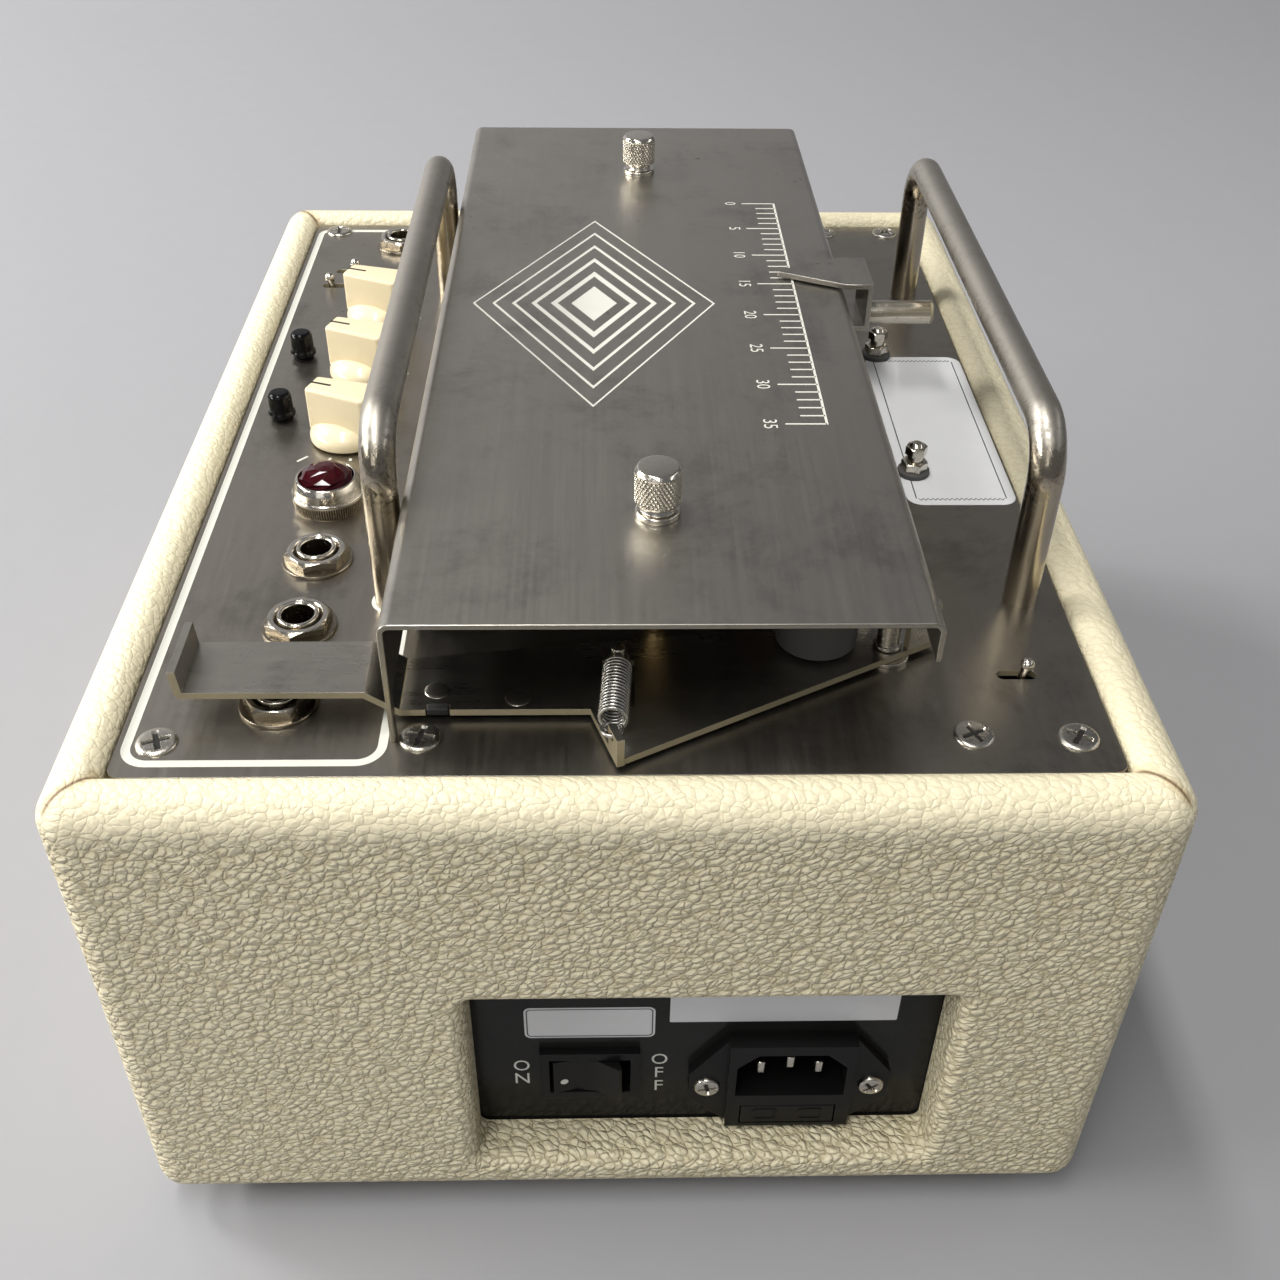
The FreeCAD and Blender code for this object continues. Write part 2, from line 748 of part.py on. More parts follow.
def cabinet_walls():
    """Four walls glued up as one box, with corner blocks for the deck's screws."""
    body = new_body("cabinet_walls")
    outside = new_sketch(body, "cabinet_outside", "XY_Plane", "foot_height")
    add_rectangle(outside, "-cabinet_length / 2", "cabinet_length / 2",
                  "-cabinet_depth / 2", "cabinet_depth / 2")
    pad(body, outside, "cabinet_height")
    round_edges(body, lambda edge: True, "cabinet_edge_radius")
    inside = new_sketch(body, "cabinet_inside", "XY_Plane", CABINET_TOP)
    add_rectangle(inside, "wall_thickness - cabinet_length / 2",
                  "cabinet_length / 2 - wall_thickness",
                  "wall_thickness - cabinet_depth / 2", "cabinet_depth / 2 - wall_thickness")
    pocket(body, inside)
    rim = sheet.foot_height + sheet.cabinet_height
    inner_x = sheet.cabinet_length / 2 - sheet.wall_thickness + TOUCH
    inner_y = sheet.cabinet_depth / 2 - sheet.wall_thickness + TOUCH
    round_edges(
        body,
        lambda edge: level(edge, rim) and abs(edge.CenterOfMass.x) < inner_x
        and abs(edge.CenterOfMass.y) < inner_y,
        "rim_radius",
    )
    blocks = new_sketch(body, "corner_blocks", "XY_Plane", DECK_UNDER)
    for side_x in (-1, 1):
        for side_y in (-1, 1):
            outer_x = f"{side_x} * (cabinet_length / 2 - wall_thickness)"
            outer_y = f"{side_y} * (cabinet_depth / 2 - wall_thickness)"
            add_rectangle(blocks, f"{outer_x} - {side_x} * corner_block_length", outer_x,
                          f"{outer_y} - {side_y} * corner_block_width", outer_y)
    pad(body, blocks, "corner_block_height", reverse=True)
    pilots = new_sketch(body, "pilot_holes", "XY_Plane", DECK_UNDER)
    for screw_x, screw_y in CORNER_SCREWS:
        add_circle(pilots, screw_x, screw_y, "screw_radius + screw_clearance")
    pocket(body, pilots, "deck_screw_length")
    mouth = new_sketch(body, "mains_opening", "YZ_Plane", "cabinet_length / 2")
    add_rectangle(mouth, "recess_middle_y - recess_width / 2",
                  "recess_middle_y + recess_width / 2",
                  "foot_height + recess_floor_height",
                  "foot_height + recess_floor_height + recess_height")
    pocket(body, mouth, "wall_thickness + cabinet_edge_radius")
    wall_inside = sheet.cabinet_length / 2 - sheet.wall_thickness
    round_edges(
        body,
        lambda edge: abs(edge.BoundBox.XLength - sheet.wall_thickness) < TOUCH
        and abs(edge.BoundBox.XMin - wall_inside) < TOUCH and edge.BoundBox.YLength < TOUCH
        and edge.BoundBox.ZLength < TOUCH,
        "recess_corner_radius",
    )
    face_x = sheet.cabinet_length / 2
    half_mouth = sheet.recess_width / 2 + TOUCH
    round_edges(
        body,
        lambda edge: abs(edge.BoundBox.XMin - face_x) < TOUCH
        and abs(edge.CenterOfMass.y - sheet.recess_middle_y) < half_mouth
        and edge.BoundBox.ZMin > sheet.foot_height + sheet.cabinet_edge_radius + TOUCH
        and edge.BoundBox.ZMax < rim - sheet.cabinet_edge_radius - TOUCH,
        "recess_lip_radius",
    )
    return body


def bottom_panel():
    body = prism(
        "bottom_panel", "XY_Plane",
        [(f"{side_x} * (cabinet_length / 2 - wall_thickness - base_gap)",
          f"{side_y} * (cabinet_depth / 2 - wall_thickness - base_gap)")
         for side_x, side_y in ((-1, -1), (1, -1), (1, 1), (-1, 1))],
        "foot_height", "base_thickness",
    )
    holes = new_sketch(body, "foot_holes", "XY_Plane", "foot_height + base_thickness")
    for foot_x, foot_y in foot_places():
        add_circle(holes, foot_x, foot_y, "screw_radius + screw_clearance")
    pocket(body, holes)
    return body


def foot_places():
    return [(f"{side_x} * (cabinet_length / 2 - foot_inset)",
             f"{side_y} * (cabinet_depth / 2 - foot_inset)")
            for side_x in (-1, 1) for side_y in (-1, 1)]


def rubber_feet():
    profile = [
        ("foot_recess_radius", 0),
        ("foot_radius - foot_chamfer", 0),
        ("foot_radius", "foot_chamfer"),
        ("foot_radius", "foot_height"),
        ("screw_radius + screw_clearance", "foot_height"),
        ("screw_radius + screw_clearance", "foot_recess_depth"),
        ("foot_recess_radius", "foot_recess_depth"),
    ]
    return group("rubber_feet", [turned(f"rubber_foot_{index}", profile, foot_x, foot_y)
                                 for index, (foot_x, foot_y) in enumerate(foot_places())])


def foot_screws():
    """Pan head screws that hold the feet to the base from below."""
    profile = [
        (0, "foot_recess_depth - screw_head_height"),
        ("screw_head_radius", "foot_recess_depth - screw_head_height"),
        ("screw_head_radius", "foot_recess_depth"),
        ("screw_radius", "foot_recess_depth"),
        ("screw_radius", "foot_height + base_thickness"),
        (0, "foot_height + base_thickness"),
    ]
    return group("foot_screws", [turned(f"foot_screw_{index}", profile, foot_x, foot_y)
                                 for index, (foot_x, foot_y) in enumerate(foot_places())])


# ---- deck ---------------------------------------------------------------------------------


def deck_holes():
    """Every round hole through the deck plate, as place and radius."""
    fixing = "screw_radius + screw_clearance"
    holes = [(jack_x, "jack_row_y", "jack_bushing_radius + jack_hole_clearance")
             for jack_x in JACK_PLACES]
    holes += [(knob_x, "knob_row_y", "pot_bushing_radius + jack_hole_clearance")
              for knob_x in KNOB_PLACES.values()]
    holes += [(button_x, "button_row_y", "button_bushing_radius + jack_hole_clearance")
              for button_x in BUTTON_PLACES.values()]
    holes += [(screw_x, screw_y, fixing) for screw_x, screw_y in CORNER_SCREWS + FLANGE_SCREWS]
    holes += [(foot_x, foot_y, fixing) for foot_x, foot_y in HANDLE_FEET]
    holes += [(screw_x, screw_y, fixing) for screw_x, screw_y in MOTOR_SCREWS]
    holes.append(("lamp_x", "lamp_y", "lamp_barrel_radius + jack_hole_clearance"))
    holes.append(("capstan_x", "capstan_y", "bearing_radius + screw_clearance"))
    return holes


def deck_plate():
    body = prism(
        "deck_plate", "XY_Plane",
        [(f"{side_x} * {DECK_NEAR}", f"{side_y} * {DECK_REAR}")
         for side_x, side_y in ((-1, -1), (1, -1), (1, 1), (-1, 1))],
        DECK_UNDER, "deck_thickness",
    )
    round_edges(body, upright, "deck_corner_radius")
    holes = new_sketch(body, "deck_holes", "XY_Plane", DECK_TOP)
    for hole_x, hole_y, radius in deck_holes():
        add_circle(holes, hole_x, hole_y, radius)
    pocket(body, holes)
    slots = new_sketch(body, "toggle_slots", "XY_Plane", DECK_TOP)
    for slot_x, slot_y in TOGGLE_PLACES.values():
        add_rectangle(slots, f"{slot_x} - toggle_slot_width / 2",
                      f"{slot_x} + toggle_slot_width / 2",
                      f"{slot_y} - toggle_slot_length / 2", f"{slot_y} + toggle_slot_length / 2")
    pocket(body, slots)
    near = sheet.cabinet_length / 2 - sheet.wall_thickness - sheet.deck_gap
    round_edges(
        body,
        lambda edge: upright(edge) and edge.Curve.TypeId == "Part::GeomLine"
        and abs(edge.CenterOfMass.x) < near - sheet.deck_corner_radius - TOUCH
        and any(abs(abs(edge.CenterOfMass.x - sheet.get(slot_x)) - sheet.toggle_slot_width / 2)
                < TOUCH for slot_x, slot_y in TOGGLE_PLACES.values()),
        "toggle_slot_width / 2 - 0.05",
    )
    return body


def chassis_tray():
    """Black folded tray that hangs from the deck, its near wall the mains panel."""
    inner = f"({PANEL} - tray_sheet)"
    flange_under = f"({DECK_UNDER} - tray_sheet)"
    flange_end = f"({PANEL} - tray_flange)"
    body = prism(
        "chassis_tray", "XZ_Plane",
        [(flange_end, DECK_UNDER), (flange_end, flange_under), (inner, flange_under),
         (inner, TRAY_FLOOR), (f"-{inner}", TRAY_FLOOR), (f"-{inner}", flange_under),
         (f"-{flange_end}", flange_under), (f"-{flange_end}", DECK_UNDER),
         (f"-{PANEL}", DECK_UNDER), (f"-{PANEL}", TRAY_BOTTOM), (PANEL, TRAY_BOTTOM),
         (PANEL, DECK_UNDER)],
        "-tray_depth / 2", "tray_depth",
    )
    windows = new_sketch(body, "panel_windows", "YZ_Plane", PANEL)
    half_switch = "(rocker_bezel_width / 2 - rocker_bezel_wall + rocker_body_wall + screw_clearance)"
    half_switch_height = half_switch.replace("rocker_bezel_width", "rocker_bezel_height")
    add_rectangle(windows, f"rocker_middle_y - {half_switch}", f"rocker_middle_y + {half_switch}",
                  f"{ROCKER_MIDDLE} - {half_switch_height}",
                  f"{ROCKER_MIDDLE} + {half_switch_height}")
    half_inlet = "(inlet_body_width / 2 - inlet_body_inset + screw_clearance)"
    add_rectangle(windows, f"inlet_middle_y - {half_inlet}", f"inlet_middle_y + {half_inlet}",
                  f"{INLET_LOW} + inlet_body_inset - screw_clearance",
                  f"{INLET_HIGH} - inlet_body_inset + screw_clearance")
    for side in (-1, 1):
        add_circle(windows, f"inlet_middle_y + {side} * inlet_screw_spacing / 2", INLET_SCREW,
                   "inlet_screw_radius + screw_clearance")
    pocket(body, windows, "tray_sheet * 2")
    flange_holes = new_sketch(body, "flange_holes", "XY_Plane", DECK_UNDER)
    for screw_x, screw_y in FLANGE_SCREWS:
        add_circle(flange_holes, screw_x, screw_y, "screw_radius + screw_clearance")
    for jack_x in ("main_output_x", "input_jack_x"):
        add_circle(flange_holes, jack_x, "jack_row_y", "jack_body_radius + deck_gap")
    pocket(body, flange_holes, "tray_sheet * 2")
    standoffs = new_sketch(body, "standoffs", "XY_Plane", TRAY_FLOOR)
    for stand_x in ("board_near_x - standoff_inset", "board_far_x + standoff_inset"):
        for stand_y in ("board_front_y + standoff_inset", "board_rear_y - standoff_inset"):
            add_circle(standoffs, stand_x, stand_y, "standoff_radius")
    pad(body, standoffs, "standoff_height")
    return body


def deck_screws():
    """Oval head screws into the corner blocks and the tray's flanges."""
    profile = [
        (0, "-deck_screw_length"),
        ("screw_radius", "-deck_screw_length"),
        ("screw_radius", 0),
        ("screw_head_radius", 0),
        ("screw_head_radius * 0.72", "screw_head_height * 0.75"),
        (0, "screw_head_height"),
    ]
    return group("deck_screws", [
        turned(f"deck_screw_{index}", profile, screw_x, screw_y, DECK_TOP)
        for index, (screw_x, screw_y) in enumerate(CORNER_SCREWS + FLANGE_SCREWS)
    ])


# ---- handles ------------------------------------------------------------------------------


def handle(label, handle_y):
    """Round bar bent into a carrying handle, with a tapped hole up each leg."""
    body = new_body(label)
    path = new_sketch(body, f"{label}_path", "XZ_Plane", f"-({handle_y})")
    bar_z = f"({DECK_TOP} + handle_height)"
    near_end = "(handle_near_x - handle_bend_radius)"
    far_end = "(handle_far_x + handle_bend_radius)"
    leg_top = f"({bar_z} - handle_bend_radius)"
    side, top, bend = FIRST_GUESS
    inner, leg = side - bend, top - bend
    spots = [(side, 0), (side, leg), (inner, top), (-inner, top), (-side, leg), (-side, 0)]
    far_leg, bar, near_leg = (
        path.addGeometry(Part.LineSegment(FreeCAD.Vector(*spots[first], 0),
                                          FreeCAD.Vector(*spots[first + 1], 0)), False)
        for first in (4, 2, 0)
    )
    normal = FreeCAD.Vector(0, 0, 1)
    near_bend = path.addGeometry(Part.ArcOfCircle(
        Part.Circle(FreeCAD.Vector(inner, leg, 0), normal, bend), 0, math.pi / 2), False)
    far_bend = path.addGeometry(Part.ArcOfCircle(
        Part.Circle(FreeCAD.Vector(-inner, leg, 0), normal, bend), math.pi / 2, math.pi), False)
    for first, first_end, second, second_end in (
        (near_leg, 2, near_bend, 1), (near_bend, 2, bar, 1),
        (bar, 2, far_bend, 1), (far_bend, 2, far_leg, 1),
    ):
        path.addConstraint(Sketcher.Constraint("Coincident", first, first_end, second, second_end))
    tie_point(path, near_leg, 1, "handle_near_x", DECK_TOP)
    tie_point(path, near_leg, 2, "handle_near_x", leg_top)
    tie_point(path, bar, 1, near_end, bar_z)
    tie_point(path, bar, 2, far_end, bar_z)
    tie_point(path, far_leg, 1, "handle_far_x", leg_top)
    tie_point(path, far_leg, 2, "handle_far_x", DECK_TOP)
    tie(path, Sketcher.Constraint("Radius", near_bend, bend), "handle_bend_radius")
    tie(path, Sketcher.Constraint("Radius", far_bend, bend), "handle_bend_radius")
    section = new_sketch(body, f"{label}_section", "XY_Plane", DECK_TOP)
    add_circle(section, "handle_near_x", handle_y, "handle_radius")
    bar_pipe = body.newObject("PartDesign::AdditivePipe", f"{label}_bar")
    bar_pipe.Profile = section
    bar_pipe.Spine = (path, [])
    rebuild(bar_pipe)
    threads = new_sketch(body, f"{label}_threads", "XY_Plane", DECK_TOP)
    for foot_x in ("handle_near_x", "handle_far_x"):
        add_circle(threads, foot_x, handle_y, "screw_radius + thread_clearance")
    pocket(body, threads, "handle_thread_depth", reverse=True)
    return body


def handle_screws():
    profile = [
        (0, "-screw_head_height"),
        ("screw_head_radius", "-screw_head_height"),
        ("screw_head_radius", 0),
        ("screw_radius", 0),
        ("screw_radius", "deck_thickness + handle_thread_depth - 1"),
        (0, "deck_thickness + handle_thread_depth - 1"),
    ]
    return group("handle_screws", [turned(f"handle_screw_{index}", profile, foot_x, foot_y, DECK_UNDER)
                                   for index, (foot_x, foot_y) in enumerate(HANDLE_FEET)])


# ---- tape cover ---------------------------------------------------------------------------


def deck_cover():
    """Folded cover over the tape, its front flange notched for the lever's arm."""
    front_inside = "(cover_front_y + cover_sheet)"
    rear_inside = "(cover_rear_y - cover_sheet)"
    rear_low = f"({COVER_TOP} - cover_rear_flange)"
    body = prism(
        "deck_cover", "YZ_Plane",
        [("cover_front_y", DECK_TOP), (front_inside, DECK_TOP), (front_inside, COVER_UNDER),
         (rear_inside, COVER_UNDER), (rear_inside, rear_low), ("cover_rear_y", rear_low),
         ("cover_rear_y", COVER_TOP), ("cover_front_y", COVER_TOP)],
        "cover_far_x", "cover_near_x - cover_far_x",
    )
    length = sheet.cover_near_x - sheet.cover_far_x
    top = sheet.foot_height + sheet.cabinet_height - sheet.deck_drop + sheet.cover_height
    round_edges(
        body,
        lambda edge: level(edge, top) and abs(edge.BoundBox.XLength - length) < TOUCH,
        "cover_bend_radius",
    )
    round_edges(
        body,
        lambda edge: level(edge, top - sheet.cover_sheet)
        and abs(edge.BoundBox.XLength - length) < TOUCH,
        "cover_bend_radius - cover_sheet",
    )
    notches = new_sketch(body, "flange_notches", "XZ_Plane", "-cover_front_y")
    add_rectangle(notches, "cover_arm_notch_far_x", "cover_arm_notch_near_x",
                  f"{DECK_TOP} - 1", f"{DECK_TOP} + cover_arm_notch_height")
    add_rectangle(notches, "cover_far_x - 1", f"-{DECK_NEAR} + rim_notch_clearance",
                  f"{DECK_TOP} - 1", f"{CABINET_TOP} + rim_notch_clearance")
    pocket(body, notches, "cover_sheet * 2")
    holes = new_sketch(body, "thumbscrew_holes", "XY_Plane", COVER_TOP)
    for post_x in POST_PLACES:
        add_circle(holes, post_x, "post_y", "screw_radius + cover_sheet / 2")
    pocket(body, holes, "cover_sheet * 2")
    return body


def cover_posts():
    profile = [
        (0, 0),
        ("post_radius", 0),
        ("post_radius", "cover_height - cover_sheet"),
        ("screw_radius + thread_clearance", "cover_height - cover_sheet"),
        ("screw_radius + thread_clearance", "cover_height - cover_sheet - thumbscrew_stud_length"),
        (0, "cover_height - cover_sheet - thumbscrew_stud_length"),
    ]
    return group("cover_posts", [turned(f"cover_post_{index}", profile, post_x, "post_y", DECK_TOP)
                                 for index, post_x in enumerate(POST_PLACES)])


def thumbscrew(label, post_x):
    neck_low = "thumbscrew_flange_height"
    head_low = f"({neck_low} + thumbscrew_neck_height)"
    head_top = f"({head_low} + thumbscrew_head_height)"
    profile = [
        (0, "thumbscrew_chamfer - thumbscrew_stud_length"),
        ("screw_radius", "thumbscrew_chamfer - thumbscrew_stud_length"),
        ("screw_radius", 0),
        ("thumbscrew_flange_radius", 0),
        ("thumbscrew_flange_radius", neck_low),
        ("thumbscrew_neck_radius", neck_low),
        ("thumbscrew_neck_radius", head_low),
        ("thumbscrew_head_radius", head_low),
        ("thumbscrew_head_radius", f"{head_top} - thumbscrew_chamfer"),
        ("thumbscrew_head_radius - thumbscrew_chamfer", head_top),
        (0, head_top),
    ]
    return turned(label, profile, post_x, "post_y", COVER_TOP)


# ---- knobs and potentiometers -------------------------------------------------------------


def knob(label, knob_x):
    """Domed skirt with a tapering pointer bar, set at its lowest mark."""
    body = turned(
        label,
        [(0, "knob_gap"), ("knob_skirt_radius", "knob_gap"),
         ("knob_skirt_radius", "knob_skirt_height"),
         ("knob_skirt_radius * 0.86", "knob_skirt_height * 0.35 + knob_dome_height * 0.65"),
         ("knob_skirt_radius * 0.5", "knob_dome_height"), (0, "knob_dome_height")],
    )
    bar = new_sketch(body, f"{label}_bar", "XY_Plane", "knob_recess_depth + knob_gap")
    add_outline(bar, [("-knob_tip_width / 2", "-knob_tip_reach"),
                      ("knob_tip_width / 2", "-knob_tip_reach"),
                      ("knob_tail_width / 2", "knob_tail_reach * 0.8"),
                      ("knob_tail_width / 4", "knob_tail_reach"),
                      ("-knob_tail_width / 4", "knob_tail_reach"),
                      ("-knob_tail_width / 2", "knob_tail_reach * 0.8")])
    pad(body, bar, "knob_height - knob_recess_depth - knob_gap")
    round_edges(
        body,
        lambda edge: level(edge, sheet.knob_height),
        "knob_edge_radius",
    )
    recess = new_sketch(body, f"{label}_recess", "XY_Plane", "knob_gap")
    add_circle(recess, 0, 0, "knob_recess_radius")
    pocket(body, recess, "knob_recess_depth", reverse=True)
    bore = new_sketch(body, f"{label}_bore", "XY_Plane", "knob_gap")
    add_circle(bore, 0, 0, "pot_shaft_radius + pot_shaft_clearance")
    pocket(body, bore, "pot_shaft_length + knob_gap", reverse=True)
    pointing = FreeCAD.Rotation(FreeCAD.Vector(0, 0, 1), POINTER_ANGLE)
    body.Placement.Rotation = pointing
    place(body, knob_x, "knob_row_y", DECK_TOP)
    rebuild(body)
    return body


def potentiometers():
    profile = [
        (0, "-deck_thickness - pot_depth"),
        ("pot_radius", "-deck_thickness - pot_depth"),
        ("pot_radius", "-deck_thickness"),
        ("pot_bushing_radius", "-deck_thickness"),
        ("pot_bushing_radius", "pot_bushing_height"),
        ("pot_shaft_radius", "pot_bushing_height"),
        ("pot_shaft_radius", "pot_shaft_length"),
        (0, "pot_shaft_length"),
    ]
    return group("potentiometers", [turned(f"{name}_pot", profile, knob_x, "knob_row_y", DECK_TOP)
                                    for name, knob_x in KNOB_PLACES.items()])


def hexagon_nut(label, nut_x, nut_y, low, across_flats, height, hole):
    body = new_body(label)
    outline = new_sketch(body, f"{label}_outline", "XY_Plane", low)
    add_hexagon(outline, nut_x, nut_y, across_flats)
    add_circle(outline, nut_x, nut_y, hole)
    pad(body, outline, height)
    return body


def panel_nuts():
    """Nuts on the jack bushings, over their washers, and on the potentiometers."""
    jack_hole = "jack_bushing_radius + thread_clearance"
    pieces = [
        hexagon_nut(f"jack_nut_{index}", jack_x, "jack_row_y", f"{DECK_TOP} + jack_washer_height",
                    "jack_nut_across", "jack_nut_height", jack_hole)
        for index, jack_x in enumerate(JACK_PLACES)
    ]
    pieces += [
        hexagon_nut(f"{name}_nut", knob_x, "knob_row_y", DECK_TOP, "pot_nut_across",
                    "pot_nut_height", "pot_bushing_radius + thread_clearance")
        for name, knob_x in KNOB_PLACES.items()
    ]
    washer = [(jack_hole, 0), ("jack_washer_radius", 0),
              ("jack_washer_radius", "jack_washer_height"), (jack_hole, "jack_washer_height")]
    pieces += [turned(f"jack_washer_{index}", washer, jack_x, "jack_row_y", DECK_TOP)
               for index, jack_x in enumerate(JACK_PLACES)]
    return group("panel_nuts", pieces)


# ---- push buttons and toggles -------------------------------------------------------------


def push_button(label, button_x):
    low = "(button_bushing_height + button_travel + 0.2)"
    profile = [
        (0, f"{low} - button_stem_length"),
        ("button_stem_radius", f"{low} - button_stem_length"),
        ("button_stem_radius", low),
        ("button_flare_radius", low),
        ("button_radius", f"{low} + button_flare_height"),
        ("button_radius", "button_height - button_radius * 0.6"),
        ("button_radius * 0.8", "button_height - button_radius * 0.22"),
        ("button_radius * 0.4", "button_height"),
        (0, "button_height"),
    ]
    return turned(label, profile, button_x, "button_row_y", DECK_TOP)


def button_switches():
    """Square cased push switches under the deck, each with a bored bushing."""
    pieces = []
    for name, button_x in BUTTON_PLACES.items():
        half = "button_case_width / 2"
        case = block(f"{name}_case", f"{button_x} - {half}", f"{button_x} + {half}",
                     f"button_row_y - {half}", f"button_row_y + {half}",
                     f"{DECK_UNDER} - button_case_depth", DECK_UNDER)
        bushing = rod(f"{name}_bushing", "button_bushing_radius",
                      "deck_thickness + button_bushing_height", button_x, "button_row_y", DECK_UNDER)
        bore = rod(f"{name}_bore", "button_stem_radius + button_stem_clearance",
                   "button_stem_length + deck_thickness + button_travel", button_x, "button_row_y",
                   f"{DECK_TOP} + button_bushing_height - button_stem_length")
        pieces.append(cut_away(f"{name}_switch", joined(f"{name}_housing", [case, bushing]), [bore]))
    return group("button_switches", pieces)


def toggle_lever(label, toggle_x, toggle_y, tilt):
    """Bat lever with a ball at its pivot, leaning to one end of its slot."""
    body = turned(
        label,
        [(0, "-toggle_ball_radius"), ("toggle_ball_radius * 0.7", "-toggle_ball_radius * 0.7"),
         ("toggle_ball_radius", 0), ("toggle_ball_radius * 0.7", "toggle_ball_radius * 0.7"),
         ("toggle_lever_radius", "toggle_ball_radius"),
         ("toggle_tip_radius", "toggle_lever_length - toggle_tip_radius * 1.6"),
         ("toggle_tip_radius * 0.8", "toggle_lever_length - toggle_tip_radius * 0.4"),
         (0, "toggle_lever_length")],
    )
    body.Placement.Rotation = FreeCAD.Rotation(FreeCAD.Vector(1, 0, 0), tilt)
    place(body, toggle_x, toggle_y, f"{DECK_TOP} - toggle_pivot_depth")
    rebuild(body)
    return body


def toggle_switches():
    """Cases of the three toggles, open at the top for the lever's swing."""
    pieces = []
    for name, (toggle_x, toggle_y) in TOGGLE_PLACES.items():
        half_x = "toggle_case_width / 2"
        half_y = "toggle_case_length / 2"
        case = block(f"{name}_case", f"{toggle_x} - {half_x}", f"{toggle_x} + {half_x}",
                     f"{toggle_y} - {half_y}", f"{toggle_y} + {half_y}",
                     f"{DECK_UNDER} - toggle_case_depth", DECK_UNDER)
        well = block(f"{name}_well",
                     f"{toggle_x} - {half_x} + toggle_case_wall",
                     f"{toggle_x} + {half_x} - toggle_case_wall",
                     f"{toggle_y} - {half_y} + toggle_case_wall",
                     f"{toggle_y} + {half_y} - toggle_case_wall",
                     f"{DECK_TOP} - toggle_pivot_depth - toggle_ball_radius - 0.2", DECK_UNDER)
        pieces.append(cut_away(f"{name}_switch", case, [well]))
    return group("toggle_switches", pieces)


# ---- pilot lamp and jacks -----------------------------------------------------------------


def lamp_bezel():
    profile = [
        ("lamp_bore_radius", "-lamp_barrel_length"),
        ("lamp_barrel_radius", "-lamp_barrel_length"),
        ("lamp_barrel_radius", 0),
        ("lamp_ring_radius", 0),
        ("lamp_ring_radius", "lamp_ring_height"),
        ("lamp_collar_radius", "lamp_ring_height + 0.6"),
        ("lamp_collar_radius", "lamp_collar_height - 0.8"),
        ("lamp_collar_radius - 0.8", "lamp_collar_height"),
        ("lamp_bore_radius", "lamp_collar_height"),
    ]
    return turned("lamp_bezel", profile, "lamp_x", "lamp_y", DECK_TOP)


def lamp_jewel():
    low = "(lamp_collar_height - jewel_seat_depth)"
    profile = [
        (0, low),
        ("jewel_radius", low),
        ("jewel_radius", f"{low} + jewel_seat_depth"),
        ("jewel_radius * 0.84", "lamp_collar_height + jewel_height * 0.55"),
        ("jewel_radius * 0.4", "lamp_collar_height + jewel_height * 0.92"),
        (0, "lamp_collar_height + jewel_height"),
    ]
    return turned("lamp_jewel", profile, "lamp_x", "lamp_y", DECK_TOP)


def jack_bodies():
    bore_end = "(1 - deck_thickness - jack_body_depth)"
    profile = [
        (0, "-deck_thickness - jack_body_depth"),
        ("jack_body_radius", "-deck_thickness - jack_body_depth"),
        ("jack_body_radius", "-deck_thickness"),
        ("jack_bushing_radius", "-deck_thickness"),
        ("jack_bushing_radius", "jack_bushing_height"),
        ("jack_bore_radius", "jack_bushing_height"),
        ("jack_bore_radius", bore_end),
        (0, bore_end),
    ]
    return group("jack_bodies", [turned(f"jack_body_{index}", profile, jack_x, "jack_row_y", DECK_TOP)
                                 for index, jack_x in enumerate(JACK_PLACES)])


# ---- mains switch and inlet ---------------------------------------------------------------


def rocker_frame():
    """Bezel and body of the mains switch, hollow for its rocker."""
    half_y = "rocker_bezel_width / 2"
    half_z = "rocker_bezel_height / 2"
    bezel = block("rocker_bezel", PANEL, f"{PANEL} + rocker_bezel_stand",
                  f"rocker_middle_y - {half_y}", f"rocker_middle_y + {half_y}",
                  f"{ROCKER_MIDDLE} - {half_z}", f"{ROCKER_MIDDLE} + {half_z}")
    side = "(rocker_bezel_wall - rocker_body_wall)"
    case = block("rocker_case", f"{PANEL} - rocker_body_depth", PANEL,
                 f"rocker_middle_y - {half_y} + {side}", f"rocker_middle_y + {half_y} - {side}",
                 f"{ROCKER_MIDDLE} - {half_z} + {side}", f"{ROCKER_MIDDLE} + {half_z} - {side}")
    well = block("rocker_well", f"{PANEL} + rocker_body_wall - rocker_body_depth",
                 f"{PANEL} + rocker_bezel_stand",
                 f"rocker_middle_y - {half_y} + rocker_bezel_wall",
                 f"rocker_middle_y + {half_y} - rocker_bezel_wall",
                 f"{ROCKER_MIDDLE} - {half_z} + rocker_bezel_wall",
                 f"{ROCKER_MIDDLE} + {half_z} - rocker_bezel_wall")
    pin = rod("rocker_pin", "rocker_pivot_radius", "rocker_bezel_height - 2 * rocker_bezel_wall",
              f"{PANEL} - rocker_pivot_depth", "rocker_middle_y",
              f"{ROCKER_MIDDLE} - {half_z} + rocker_bezel_wall")
    hollow = cut_away("rocker_shell", joined("rocker_housing", [bezel, case]), [well])
    return joined("rocker_frame", [hollow, pin])


